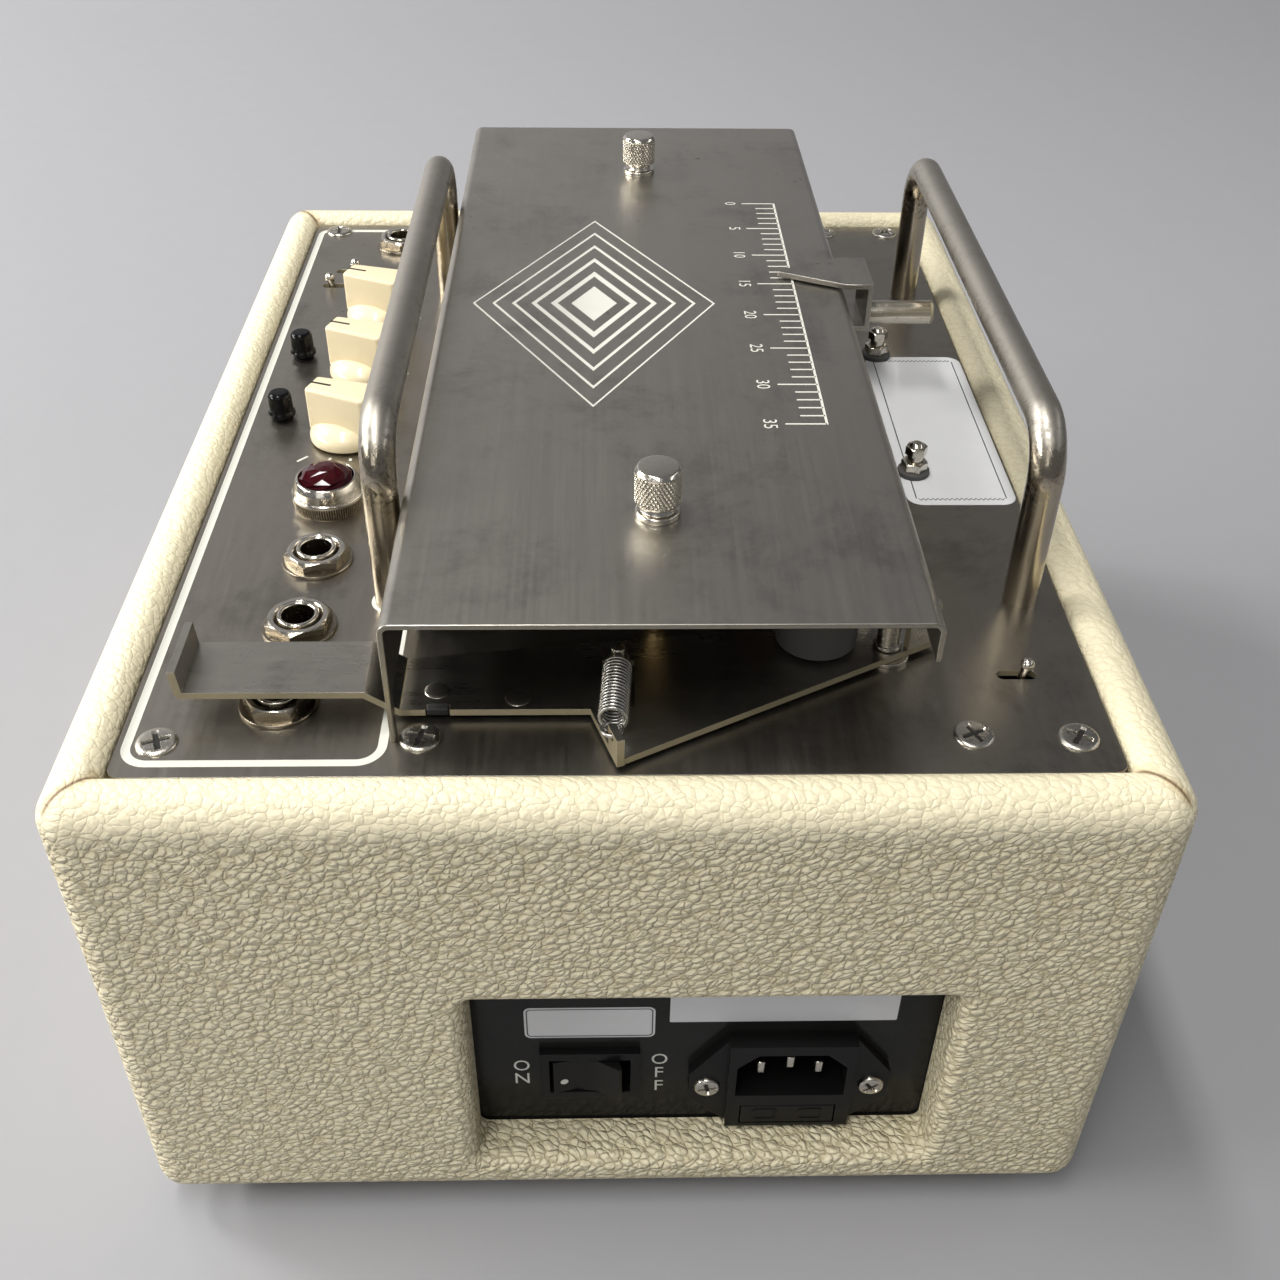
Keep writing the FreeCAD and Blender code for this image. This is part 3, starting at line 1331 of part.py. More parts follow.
def power_rocker():
    """Rocker with a dished face, pressed at its front end."""
    body = new_body("power_rocker")
    height = "(rocker_bezel_height - 2 * rocker_bezel_wall - 2 * rocker_gap)"
    shape = new_sketch(body, "rocker_shape", "XY_Plane", f"-{height} / 2")
    half = "(rocker_paddle_length / 2)"
    face = "(rocker_pivot_depth + rocker_bezel_stand)"
    add_outline(shape, [(f"-rocker_pivot_depth", f"-{half} * 0.55"),
                        (f"{face} + rocker_rise * 0.2", f"-{half}"),
                        (f"{face} + rocker_rise * 0.45", f"-{half} * 0.94"),
                        (f"{face} + rocker_rise * 0.1 - rocker_dish * 0.4", f"-{half} * 0.3"),
                        (f"{face} + rocker_rise * 0.1 - rocker_dish * 0.4", f"{half} * 0.3"),
                        (f"{face} + rocker_rise * 0.45", f"{half} * 0.94"),
                        (f"{face} + rocker_rise * 0.2", half),
                        (f"-rocker_pivot_depth", f"{half} * 0.55")])
    pad(body, shape, height)
    bore = new_sketch(body, "rocker_bore", "XY_Plane", f"{height} / 2")
    add_circle(bore, 0, 0, "rocker_pivot_radius + rocker_pivot_clearance")
    pocket(body, bore)
    body.Placement.Rotation = FreeCAD.Rotation(FreeCAD.Vector(0, 0, 1), -sheet.rocker_angle)
    place(body, f"{PANEL} - rocker_pivot_depth", "rocker_middle_y", ROCKER_MIDDLE)
    rebuild(body)
    return body


def inlet_places():
    """Middle of each inlet pin as Y and Z; the earth pin stands a little higher."""
    middle = f"({INLET_HIGH} - inlet_cavity_top_wall - inlet_cavity_height / 2)"
    return (("inlet_middle_y - inlet_pin_spacing", f"{middle} - inlet_pin_offset"),
            ("inlet_middle_y", f"{middle} + inlet_pin_offset"),
            ("inlet_middle_y + inlet_pin_spacing", f"{middle} - inlet_pin_offset"))


def mains_inlet():
    """Appliance inlet with a flange, a chamfered socket and a slot for the fuse drawer."""
    body = new_body("mains_inlet")
    flange = new_sketch(body, "inlet_flange", "YZ_Plane", PANEL)
    end = "inlet_flange_end / 2"
    add_outline(flange, [
        ("inlet_middle_y - inlet_flange_width / 2", f"{INLET_SCREW} - {end}"),
        ("inlet_middle_y - inlet_body_width / 2", INLET_LOW),
        ("inlet_middle_y + inlet_body_width / 2", INLET_LOW),
        ("inlet_middle_y + inlet_flange_width / 2", f"{INLET_SCREW} - {end}"),
        ("inlet_middle_y + inlet_flange_width / 2", f"{INLET_SCREW} + {end}"),
        ("inlet_middle_y + inlet_body_width / 2", INLET_HIGH),
        ("inlet_middle_y - inlet_body_width / 2", INLET_HIGH),
        ("inlet_middle_y - inlet_flange_width / 2", f"{INLET_SCREW} + {end}"),
    ])
    pad(body, flange, "inlet_flange_thickness")
    front = new_sketch(body, "inlet_front", "YZ_Plane", PANEL)
    add_rectangle(front, "inlet_middle_y - inlet_body_width / 2",
                  "inlet_middle_y + inlet_body_width / 2", INLET_LOW, INLET_HIGH)
    pad(body, front, "inlet_body_stand")
    back = new_sketch(body, "inlet_back", "YZ_Plane", PANEL)
    add_rectangle(back, "inlet_middle_y - inlet_body_width / 2 + inlet_body_inset",
                  "inlet_middle_y + inlet_body_width / 2 - inlet_body_inset",
                  f"{INLET_LOW} + inlet_body_inset", f"{INLET_HIGH} - inlet_body_inset")
    pad(body, back, "inlet_body_depth", reverse=True)
    cavity = new_sketch(body, "inlet_cavity", "YZ_Plane", f"{PANEL} + inlet_body_stand")
    cavity_top = f"({INLET_HIGH} - inlet_cavity_top_wall)"
    half = "inlet_cavity_width / 2"
    add_outline(cavity, [
        (f"inlet_middle_y - {half}", f"{cavity_top} - inlet_cavity_height"),
        (f"inlet_middle_y + {half}", f"{cavity_top} - inlet_cavity_height"),
        (f"inlet_middle_y + {half}", f"{cavity_top} - inlet_cavity_chamfer"),
        (f"inlet_middle_y + {half} - inlet_cavity_chamfer", cavity_top),
        (f"inlet_middle_y - {half} + inlet_cavity_chamfer", cavity_top),
        (f"inlet_middle_y - {half}", f"{cavity_top} - inlet_cavity_chamfer"),
    ])
    pocket(body, cavity, "inlet_cavity_depth")
    slot = new_sketch(body, "drawer_slot", "YZ_Plane", f"{PANEL} + inlet_body_stand")
    add_rectangle(slot, "inlet_middle_y - fuse_drawer_width / 2 - fuse_drawer_gap",
                  "inlet_middle_y + fuse_drawer_width / 2 + fuse_drawer_gap",
                  f"{INLET_LOW} + fuse_drawer_low - fuse_drawer_gap",
                  f"{INLET_LOW} + fuse_drawer_low + fuse_drawer_height + fuse_drawer_gap")
    pocket(body, slot, "fuse_drawer_depth + fuse_drawer_gap")
    pins = new_sketch(body, "pin_slots", "YZ_Plane", f"{PANEL} + inlet_body_stand")
    for pin_y, pin_z in inlet_places():
        half_pin = "(inlet_pin_width / 2 + inlet_pin_clearance)"
        half_pin_height = "(inlet_pin_height / 2 + inlet_pin_clearance)"
        add_rectangle(pins, f"{pin_y} - {half_pin}", f"{pin_y} + {half_pin}",
                      f"{pin_z} - {half_pin_height}", f"{pin_z} + {half_pin_height}")
    pocket(body, pins)
    screws = new_sketch(body, "inlet_screw_holes", "YZ_Plane", f"{PANEL} + inlet_flange_thickness")
    for side in (-1, 1):
        add_circle(screws, f"inlet_middle_y + {side} * inlet_screw_spacing / 2", INLET_SCREW,
                   "inlet_screw_radius + screw_clearance")
    pocket(body, screws)
    return body


def inlet_pins():
    pieces = []
    for index, (pin_y, pin_z) in enumerate(inlet_places()):
        pieces.append(block(f"inlet_pin_{index}", f"{PANEL} - inlet_body_depth - 6",
                            f"{PANEL} + inlet_body_stand - inlet_pin_recess",
                            f"{pin_y} - inlet_pin_width / 2", f"{pin_y} + inlet_pin_width / 2",
                            f"{pin_z} - inlet_pin_height / 2", f"{pin_z} + inlet_pin_height / 2"))
    return group("inlet_pins", pieces)


def fuse_drawer():
    low = f"({INLET_LOW} + fuse_drawer_low)"
    tray = block("drawer_block", f"{PANEL} + inlet_body_stand - fuse_drawer_depth",
                 f"{PANEL} + inlet_body_stand",
                 "inlet_middle_y - fuse_drawer_width / 2", "inlet_middle_y + fuse_drawer_width / 2",
                 low, f"{low} + fuse_drawer_height")
    fuse_bed = rod("fuse_bed", "fuse_drawer_height / 2 - 0.8", "fuse_drawer_width - 2.4",
                   f"{PANEL} - 2", "inlet_middle_y - fuse_drawer_width / 2 + 1.2",
                   f"{low} + fuse_drawer_height", (0, 1, 0))
    return cut_away("fuse_drawer", tray, [fuse_bed])


def inlet_screws():
    profile = [
        (0, "-inlet_screw_length"),
        ("inlet_screw_radius", "-inlet_screw_length"),
        ("inlet_screw_radius", 0),
        ("inlet_screw_head_radius", 0),
        ("inlet_screw_head_radius * 0.8", "inlet_screw_head_height * 0.8"),
        (0, "inlet_screw_head_height"),
    ]
    pieces = []
    for side in (-1, 1):
        screw = turned(f"inlet_screw_{side + 1}", profile)
        screw.Placement.Rotation = FreeCAD.Rotation(FreeCAD.Vector(0, 0, 1), FreeCAD.Vector(1, 0, 0))
        place(screw, f"{PANEL} + inlet_flange_thickness",
              f"inlet_middle_y + {side} * inlet_screw_spacing / 2", INLET_SCREW)
        pieces.append(screw)
    return group("inlet_screws", pieces)


# ---- pinch lever --------------------------------------------------------------------------


def pinch_lever():
    """Bent steel lever: a plate on the pivot, an arm stepped up over the jacks, and tabs."""
    body = prism(
        "lever_plate", "XY_Plane",
        [("lever_far_x", "lever_front_y"), ("lever_near_x", "lever_front_y"),
         ("lever_near_x", "lever_notch_y"), ("lever_near_x - lever_sheet", "lever_notch_y"),
         ("lever_near_x - lever_sheet", "lever_notch_y + lever_notch_length"),
         ("lever_near_x", "lever_notch_y + lever_notch_length"),
         ("lever_near_x", "lever_shoulder_y"), ("lever_tip_x", "lever_tip_y"),
         ("lever_corner_x", "lever_corner_y"), ("lever_rear_x", "lever_rear_y"),
         ("lever_waist_x", "lever_waist_y")],
        LEVER_UNDER, "lever_sheet",
    )
    arm = new_sketch(body, "arm_profile", "YZ_Plane", "lever_far_x")
    ramp_end = "(lever_front_y - arm_ramp_length)"
    arm_under = f"({LEVER_UNDER} + arm_lift)"
    arm_top = f"({LEVER_TOP} + arm_lift)"
    tab_top = f"({LEVER_UNDER} + arm_lift + arm_tab_height)"
    add_outline(arm, [
        ("lever_front_y + 1", LEVER_UNDER), ("lever_front_y", LEVER_UNDER),
        (f"{ramp_end} - 0.4", arm_under), ("arm_front_y - 0.9", arm_under),
        ("arm_front_y - 1.8", f"{arm_under} + 1"), ("arm_front_y - 2.2", tab_top),
        ("arm_front_y - 0.6", tab_top), ("arm_front_y - 0.2", arm_top),
        (ramp_end, arm_top), ("lever_front_y + 0.4", LEVER_TOP), ("lever_front_y + 1", LEVER_TOP),
    ])
    pad(body, arm, "lever_near_x - lever_far_x")
    run_x = "(lever_corner_x - lever_tip_x)"
    run_y = "(lever_corner_y - lever_tip_y)"
    run = f"sqrt({run_x} * {run_x} + {run_y} * {run_y})"
    tab = new_sketch(body, "corner_tab", "XY_Plane", LEVER_UNDER)
    back_x = f"{run_x} / {run}"
    back_y = f"{run_y} / {run}"
    add_outline(tab, [
        ("lever_corner_x", "lever_corner_y"),
        (f"lever_corner_x - {back_x} * lever_tab_length", f"lever_corner_y - {back_y} * lever_tab_length"),
        (f"lever_corner_x - {back_x} * lever_tab_length - {back_y} * lever_sheet",
         f"lever_corner_y - {back_y} * lever_tab_length + {back_x} * lever_sheet"),
        (f"lever_corner_x - {back_y} * lever_sheet", f"lever_corner_y + {back_x} * lever_sheet"),
    ])
    pad(body, tab, "lever_tab_height")
    hook_tab = new_sketch(body, "hook_tab", "XY_Plane", LEVER_UNDER)
    add_outline(hook_tab, [
        ("lever_tip_x", "lever_tip_y"),
        (f"lever_tip_x - {TAB_Y} * lever_sheet", f"lever_tip_y + {TAB_X} * lever_sheet"),
        (f"{HOOK_X} - {TAB_Y} * lever_sheet / 2", f"{HOOK_Y} + {TAB_X} * lever_sheet / 2"),
        (f"{HOOK_X} + {TAB_Y} * lever_sheet / 2", f"{HOOK_Y} - {TAB_X} * lever_sheet / 2"),
    ])
    pad(body, hook_tab, "hook_tab_height")
    holes = new_sketch(body, "lever_holes", "XY_Plane", LEVER_TOP)
    add_circle(holes, "lever_pivot_x", "lever_pivot_y", "lever_pivot_radius + lever_pivot_clearance")
    add_rectangle(holes, "anchor_x - anchor_slot_length / 2 + 3.5",
                  "anchor_x + anchor_slot_length / 2 + 3.5",
                  "anchor_y - anchor_slot_width / 2", "anchor_y + anchor_slot_width / 2")
    pocket(body, holes, "lever_sheet * 2")
    axle = new_sketch(body, "roller_axle", "XY_Plane", LEVER_UNDER)
    add_circle(axle, "roller_x", "roller_y", "roller_axle_radius")
    pad(body, axle, "lever_sheet + roller_gap + roller_height + 1")
    drill = rod("hook_hole", "hook_hole_radius", "lever_sheet * 2",
                f"{HOOK_X} + {TAB_X} * spring_hook_radius + {TAB_Y} * lever_sheet",
                f"{HOOK_Y} + {TAB_Y} * spring_hook_radius - {TAB_X} * lever_sheet",
                f"{DECK_TOP} + spring_height", (-sheet_value(TAB_Y), sheet_value(TAB_X), 0))
    return cut_away("pinch_lever", body, [drill])


def pinch_roller():
    bore = "roller_axle_radius + roller_axle_clearance"
    profile = [
        (bore, 0),
        ("roller_radius - 1.5", 0),
        ("roller_radius", 1),
        ("roller_radius", "roller_height - 1"),
        ("roller_radius - 1", "roller_height"),
        (bore, "roller_height"),
    ]
    return turned("pinch_roller", profile, "roller_x", "roller_y", f"{LEVER_TOP} + roller_gap")


def lever_posts():
    """Riveted pivot post with a shoulder under the lever, and the spring's anchor post."""
    pivot = turned(
        "lever_pivot",
        [(0, 0), ("lever_pivot_radius + 2.5", 0), ("lever_pivot_radius + 2.5", "lever_lift - 0.1"),
         ("lever_pivot_radius", "lever_lift - 0.1"),
         ("lever_pivot_radius", "lever_lift + lever_sheet + 0.2"),
         ("lever_pivot_radius + 0.6", "lever_lift + lever_sheet + 0.2"),
         ("lever_pivot_radius + 0.6", "lever_lift + lever_sheet + 1.2"),
         ("lever_pivot_radius", "lever_lift + lever_sheet + 1.2"),
         ("lever_pivot_radius", "lever_lift + roller_height"), (0, "lever_lift + roller_height")],
        "lever_pivot_x", "lever_pivot_y", DECK_TOP,
    )
    anchor = turned(
        "spring_anchor",
        [(0, 0), ("anchor_radius", 0), ("anchor_radius", "anchor_height"), (0, "anchor_height")],
        "anchor_x", "anchor_y", DECK_TOP,
    )
    return group("lever_posts", [pivot, anchor])


def lever_spring():
    """Close-wound extension spring as a ribbed bar, with a loop at its post and at the tab."""
    reach_x = f"({HOOK_X} - anchor_x)"
    reach_y = f"({HOOK_Y} - anchor_y)"
    reach = f"sqrt({reach_x} * {reach_x} + {reach_y} * {reach_y})"
    coil_length = f"({reach} - 2 * spring_hook_radius)"
    pitch = f"({coil_length} / spring_turns)"
    outside = "(spring_coil_radius + spring_wire_radius)"
    profile = [(0, 0)]
    for index in range(int(sheet.spring_turns)):
        profile += [("spring_coil_radius", f"{index} * {pitch}"),
                    (outside, f"({index} + 0.5) * {pitch}")]
    profile += [("spring_coil_radius", coil_length), (0, coil_length)]
    coil = turned("spring_coil", profile)
    loops = []
    for index, loop_z in enumerate(("-spring_hook_radius", f"{coil_length} + spring_hook_radius")):
        loop = document.addObject("Part::Torus", f"spring_loop_{index}")
        bind(loop, "Radius1", "spring_hook_radius")
        bind(loop, "Radius2", "spring_wire_radius")
        loop.Placement.Rotation = FreeCAD.Rotation(FreeCAD.Vector(0, 1, 0), QUARTER_TURN)
        loops.append(place(loop, 0, 0, loop_z))
    spring = joined("lever_spring", [coil] + loops)
    rebuild(spring)
    turn = math.degrees(math.atan2(sheet_value(reach_y), sheet_value(reach_x)))
    lying = FreeCAD.Rotation(FreeCAD.Vector(0, 0, 1), FreeCAD.Vector(1, 0, 0))
    spring.Placement.Rotation = FreeCAD.Rotation(FreeCAD.Vector(0, 0, 1), turn) * lying
    inset_x = f"spring_hook_radius * {reach_x} / {reach}"
    inset_y = f"spring_hook_radius * {reach_y} / {reach}"
    place(spring, f"anchor_x + {inset_x}", f"anchor_y + {inset_y}", f"{DECK_TOP} + spring_height")
    return rebuild(spring)


# ---- tape path ----------------------------------------------------------------------------


def tape_cartridge():
    """Open tray for the endless tape, with its hub and two gaps for the tape."""
    body = new_body("tape_cartridge")
    floor = f"{DECK_TOP} + cartridge_stand"
    outline = new_sketch(body, "cartridge_outline", "XY_Plane", floor)
    add_rectangle(outline, "cartridge_far_x", "cartridge_near_x", "cartridge_front_y", "cartridge_rear_y")
    pad(body, outline, "cartridge_height")
    round_edges(body, upright, "cartridge_wall")
    well = new_sketch(body, "cartridge_well", "XY_Plane", f"{floor} + cartridge_height")
    add_rectangle(well, "cartridge_far_x + cartridge_wall", "cartridge_near_x - cartridge_wall",
                  "cartridge_front_y + cartridge_wall", "cartridge_rear_y - cartridge_wall")
    pocket(body, well, "cartridge_height - cartridge_wall")
    hub = new_sketch(body, "cartridge_hub", "XY_Plane", floor)
    add_circle(hub, "hub_x", "hub_y", "hub_radius")
    pad(body, hub, "cartridge_height - 2")
    gaps = new_sketch(body, "tape_gaps", "XZ_Plane", "-cartridge_rear_y")
    for left, right in (("cartridge_near_x - 14", "cartridge_near_x - 3"),
                        ("cartridge_far_x + 3", "cartridge_far_x + 14")):
        add_rectangle(gaps, left, right, f"{TAPE_LOW} - 2", f"{floor} + cartridge_height + 1")
    pocket(body, gaps, "cartridge_wall * 2", reverse=True)
    return body


def tape_pack():
    """The coiled tape on its turning platter."""
    bore = "hub_radius + pack_clearance"
    low = "(cartridge_stand + cartridge_wall + pack_lift)"
    profile = [
        (bore, low),
        ("pack_outer_radius + 1", low),
        ("pack_outer_radius + 1", f"{low} + 1.2"),
        ("pack_outer_radius", f"{low} + 1.2"),
        ("pack_outer_radius", "tape_lift + tape_width"),
        ("pack_inner_radius", "tape_lift + tape_width"),
        ("pack_inner_radius", "tape_lift + tape_width + 1"),
        (bore, "tape_lift + tape_width + 1"),
    ]
    return turned("tape_pack", profile, "hub_x", "hub_y", DECK_TOP)


def tape_loop():
    """The run of tape outside its pack: past the heads, round the guides and down."""
    half = sheet.tape_thickness / 2
    run_y = sheet.guide_y + sheet.guide_radius + sheet.tape_gap
    drop_x = sheet.near_guide_x + sheet.guide_radius + sheet.tape_gap
    bend = sheet.guide_radius + sheet.tape_gap
    far_x = sheet.far_guide_x - sheet.guide_radius - sheet.tape_gap
    height = (sheet.foot_height + sheet.cabinet_height - sheet.deck_drop + sheet.tape_lift)
    corner_y = sheet.cartridge_rear_y - 2 * sheet.cartridge_wall
    near_corner = FreeCAD.Vector(sheet.cartridge_near_x - sheet.tape_gap_inset, corner_y, height)
    far_corner = FreeCAD.Vector(sheet.cartridge_far_x + sheet.tape_gap_inset, corner_y, height)
    pack_y = sheet.hub_y + sheet.pack_outer_radius + sheet.tape_gap
    near_end = FreeCAD.Vector(sheet.hub_x + sheet.tape_gap, pack_y, height)
    far_end = FreeCAD.Vector(sheet.hub_x - sheet.tape_gap, pack_y, height)
    diagonal = bend * math.sqrt(0.5)
    near_middle = FreeCAD.Vector(sheet.near_guide_x, sheet.guide_y, height)
    far_middle = FreeCAD.Vector(sheet.far_guide_x, sheet.guide_y, height)
    near_top = FreeCAD.Vector(sheet.near_guide_x, run_y, height)
    far_top = FreeCAD.Vector(sheet.far_guide_x, run_y, height)
    near_side = FreeCAD.Vector(drop_x, sheet.guide_y, height)
    far_side = FreeCAD.Vector(far_x, sheet.guide_y, height)
    below_roller = FreeCAD.Vector(drop_x, sheet.roller_y - sheet.roller_radius, height)
    below_guide = FreeCAD.Vector(far_x, sheet.roller_y, height)
    path = Part.Wire([
        Part.LineSegment(near_end, near_corner).toShape(),
        Part.LineSegment(near_corner, below_roller).toShape(),
        Part.LineSegment(below_roller, near_side).toShape(),
        Part.Arc(near_side, near_middle + FreeCAD.Vector(diagonal, diagonal, 0), near_top).toShape(),
        Part.LineSegment(near_top, far_top).toShape(),
        Part.Arc(far_top, far_middle + FreeCAD.Vector(-diagonal, diagonal, 0), far_side).toShape(),
        Part.LineSegment(far_side, below_guide).toShape(),
        Part.LineSegment(below_guide, far_corner).toShape(),
        Part.LineSegment(far_corner, far_end).toShape(),
    ])
    strip = path.makeOffset2D(half, join=0, fill=True, openResult=True)
    feature = document.addObject("Part::Feature", "tape_loop")
    feature.Shape = strip.extrude(FreeCAD.Vector(0, 0, sheet.tape_width))
    return feature


def tape_guides():
    top = "(tape_lift + tape_width + 1.2)"
    profile = [
        (0, 0), ("guide_flange_radius", 0), ("guide_flange_radius", "tape_lift - 0.4"),
        ("guide_radius", "tape_lift - 0.4"), ("guide_radius", f"{top} - 0.8"),
        ("guide_flange_radius", f"{top} - 0.8"), ("guide_flange_radius", top), (0, top),
    ]
    return group("tape_guides", [turned(f"tape_guide_{index}", profile, guide_x, "guide_y", DECK_TOP)
                                 for index, guide_x in enumerate(("near_guide_x", "far_guide_x"))])


def head(label, head_x, low, foot):
    """A tape head: a can with a narrower nose towards the tape, on its foot."""
    nose_y = f"({TAPE_RUN_Y} - tape_thickness / 2 - tape_gap)"
    shoulder_y = f"({nose_y} - head_nose)"
    back_y = f"({nose_y} - head_depth)"
    body = prism(
        label, "XY_Plane",
        [(f"{head_x} - head_width / 2", back_y), (f"{head_x} + head_width / 2", back_y),
         (f"{head_x} + head_width / 2", shoulder_y), (f"{head_x} + head_nose_width / 2", nose_y),
         (f"{head_x} - head_nose_width / 2", nose_y), (f"{head_x} - head_width / 2", shoulder_y)],
        low, "head_height",
    )
    if foot:
        pedestal = new_sketch(body, f"{label}_foot", "XY_Plane", low)
        add_rectangle(pedestal, f"{head_x} - head_width / 2", f"{head_x} + head_width / 2",
                      back_y, shoulder_y)
        pad(body, pedestal, f"{low} - {DECK_TOP}", reverse=True)
    return body


def fixed_heads():
    return group("fixed_heads", [head("playback_head", "playback_head_x", CARRIAGE_TOP, True),
                                 head("erase_head", "erase_head_x", CARRIAGE_TOP, True)])


def slider_carriage():
    """Block on two rails that carries the record head, with a riser for the pointer."""
    half = "carriage_length / 2"
    low = f"({DECK_TOP} + carriage_lift)"
    slab = block("carriage_slab", f"slider_x - {half}", f"slider_x + {half}",
                 "carriage_front_y", "carriage_rear_y", low, CARRIAGE_TOP)
    riser = block("carriage_riser", f"slider_x - {half}", f"slider_x + {half}",
                  "carriage_front_y", "riser_rear_y", CARRIAGE_TOP, f"{DECK_TOP} + bracket_lift")
    bores = [rod(f"carriage_bore_{index}", "rail_radius + rail_clearance", "carriage_length + 2",
                 f"slider_x - {half} - 1", rail_y, f"{DECK_TOP} + rail_lift", (1, 0, 0))
             for index, rail_y in enumerate(("rail_front_y", "rail_rear_y"))]
    return cut_away("slider_carriage", joined("carriage_block", [slab, riser]), bores)


def slider_rails():
    far_end = "(rail_block_far_x - rail_block_length / 2)"
    near_end = "(rail_block_near_x + rail_block_length / 2)"
    return group("slider_rails", [
        rod(f"slider_rail_{index}", "rail_radius", f"{near_end} - {far_end}", far_end, rail_y,
            f"{DECK_TOP} + rail_lift", (1, 0, 0))
        for index, rail_y in enumerate(("rail_front_y", "rail_rear_y"))
    ])


def rail_blocks():
    """End blocks that hold the rails off the deck."""
    pieces = []
    for index, block_x in enumerate(("rail_block_near_x", "rail_block_far_x")):
        half = "rail_block_length / 2"
        body = block(f"rail_block_body_{index}", f"{block_x} - {half}", f"{block_x} + {half}",
                     "rail_front_y - rail_block_margin", "rail_rear_y + rail_block_margin",
                     DECK_TOP, f"{DECK_TOP} + rail_lift + rail_block_margin")
        bores = [rod(f"rail_bore_{index}_{rail}", "rail_radius + rail_clearance",
                     "rail_block_length + 2", f"{block_x} - {half} - 1", rail_y,
                     f"{DECK_TOP} + rail_lift", (1, 0, 0))
                 for rail, rail_y in enumerate(("rail_front_y", "rail_rear_y"))]
        pieces.append(cut_away(f"rail_block_{index}", body, bores))
    return group("rail_blocks", pieces)


def slider_pointer():
    """Bracket from the carriage, out under the cover's flange and back over its top, with a grip."""
    low = f"({DECK_TOP} + bracket_lift)"
    top_under = f"({COVER_TOP} + pointer_gap)"
    leg_inside = "(bracket_rear_y - bracket_sheet)"
    body = prism(
        "pointer_bracket", "YZ_Plane",
        [("carriage_front_y", low), ("bracket_rear_y", low),
         ("bracket_rear_y", f"{top_under} + bracket_sheet"),
         ("pointer_tip_y", f"{top_under} + bracket_sheet"), ("pointer_tip_y", top_under),
         (leg_inside, top_under), (leg_inside, f"{low} + bracket_sheet"),
         ("carriage_front_y", f"{low} + bracket_sheet")],
        "slider_x - bracket_width / 2", "bracket_width",
    )
    taper = new_sketch(body, "pointer_taper", "XY_Plane", f"{top_under} + bracket_sheet")
    for side in (-1, 1):
        outer = f"slider_x + {side} * (bracket_width / 2 + 1)"
        add_outline(taper, [(outer, "pointer_tip_y - 1"),
                            (f"slider_x + {side} * pointer_tip_width / 2", "pointer_tip_y - 1"),
                            (f"slider_x + {side} * pointer_tip_width / 2", "pointer_tip_y"),
                            (f"slider_x + {side} * bracket_width / 2", "cover_rear_y"),
                            (outer, "cover_rear_y")])
    pocket(body, taper, "bracket_sheet + pointer_gap / 2")
    grip = rod("slider_grip", "grip_radius", "grip_length", "slider_x + grip_offset_x",
               "bracket_rear_y", f"{DECK_TOP} + grip_lift", (0, 1, 0))
    return joined("slider_pointer", [body, grip])


# ---- drive --------------------------------------------------------------------------------


def capstan():
    return turned("capstan", [(0, f"{FLYWHEEL_TOP} - flywheel_height - 1 - {DECK_TOP}"),
                              ("capstan_radius", f"{FLYWHEEL_TOP} - flywheel_height - 1 - {DECK_TOP}"),
                              ("capstan_radius", "capstan_height"), (0, "capstan_height")],
                  "capstan_x", "capstan_y", DECK_TOP)


def capstan_bearing():
    bore = "capstan_radius + bearing_clearance"
    profile = [
        (bore, "-bearing_depth"), ("bearing_radius", "-bearing_depth"), ("bearing_radius", 0),
        ("bearing_flange_radius", 0), ("bearing_flange_radius", "bearing_flange_height"),
        (bore, "bearing_flange_height"),
    ]
    return turned("capstan_bearing", profile, "capstan_x", "capstan_y", DECK_TOP)


def flywheel():
    """Webbed wheel pressed on the capstan shaft, grooved for the belt."""
    bore = "capstan_radius"
    web = "(flywheel_height / 2 - flywheel_web / 2)"
    groove = "(belt_width / 2 + belt_gap)"
    profile = [
        (bore, 0), ("flywheel_hub_radius", 0), ("flywheel_hub_radius", f"-{web}"),
        ("flywheel_radius - flywheel_rim", f"-{web}"), ("flywheel_radius - flywheel_rim", 0),
        ("flywheel_radius", 0), ("flywheel_radius", f"{groove} - flywheel_height / 2"),
        ("flywheel_radius - belt_thickness", f"{groove} - flywheel_height / 2"),
        ("flywheel_radius - belt_thickness", f"-{groove} - flywheel_height / 2"),
        ("flywheel_radius", f"-{groove} - flywheel_height / 2"),
        ("flywheel_radius", "-flywheel_height"), ("flywheel_radius - flywheel_rim", "-flywheel_height"),
        ("flywheel_radius - flywheel_rim", f"{web} - flywheel_height"),
        ("flywheel_hub_radius", f"{web} - flywheel_height"), ("flywheel_hub_radius", "-flywheel_height"),
        (bore, "-flywheel_height"),
    ]
    return turned("flywheel", profile, "capstan_x", "capstan_y", FLYWHEEL_TOP)


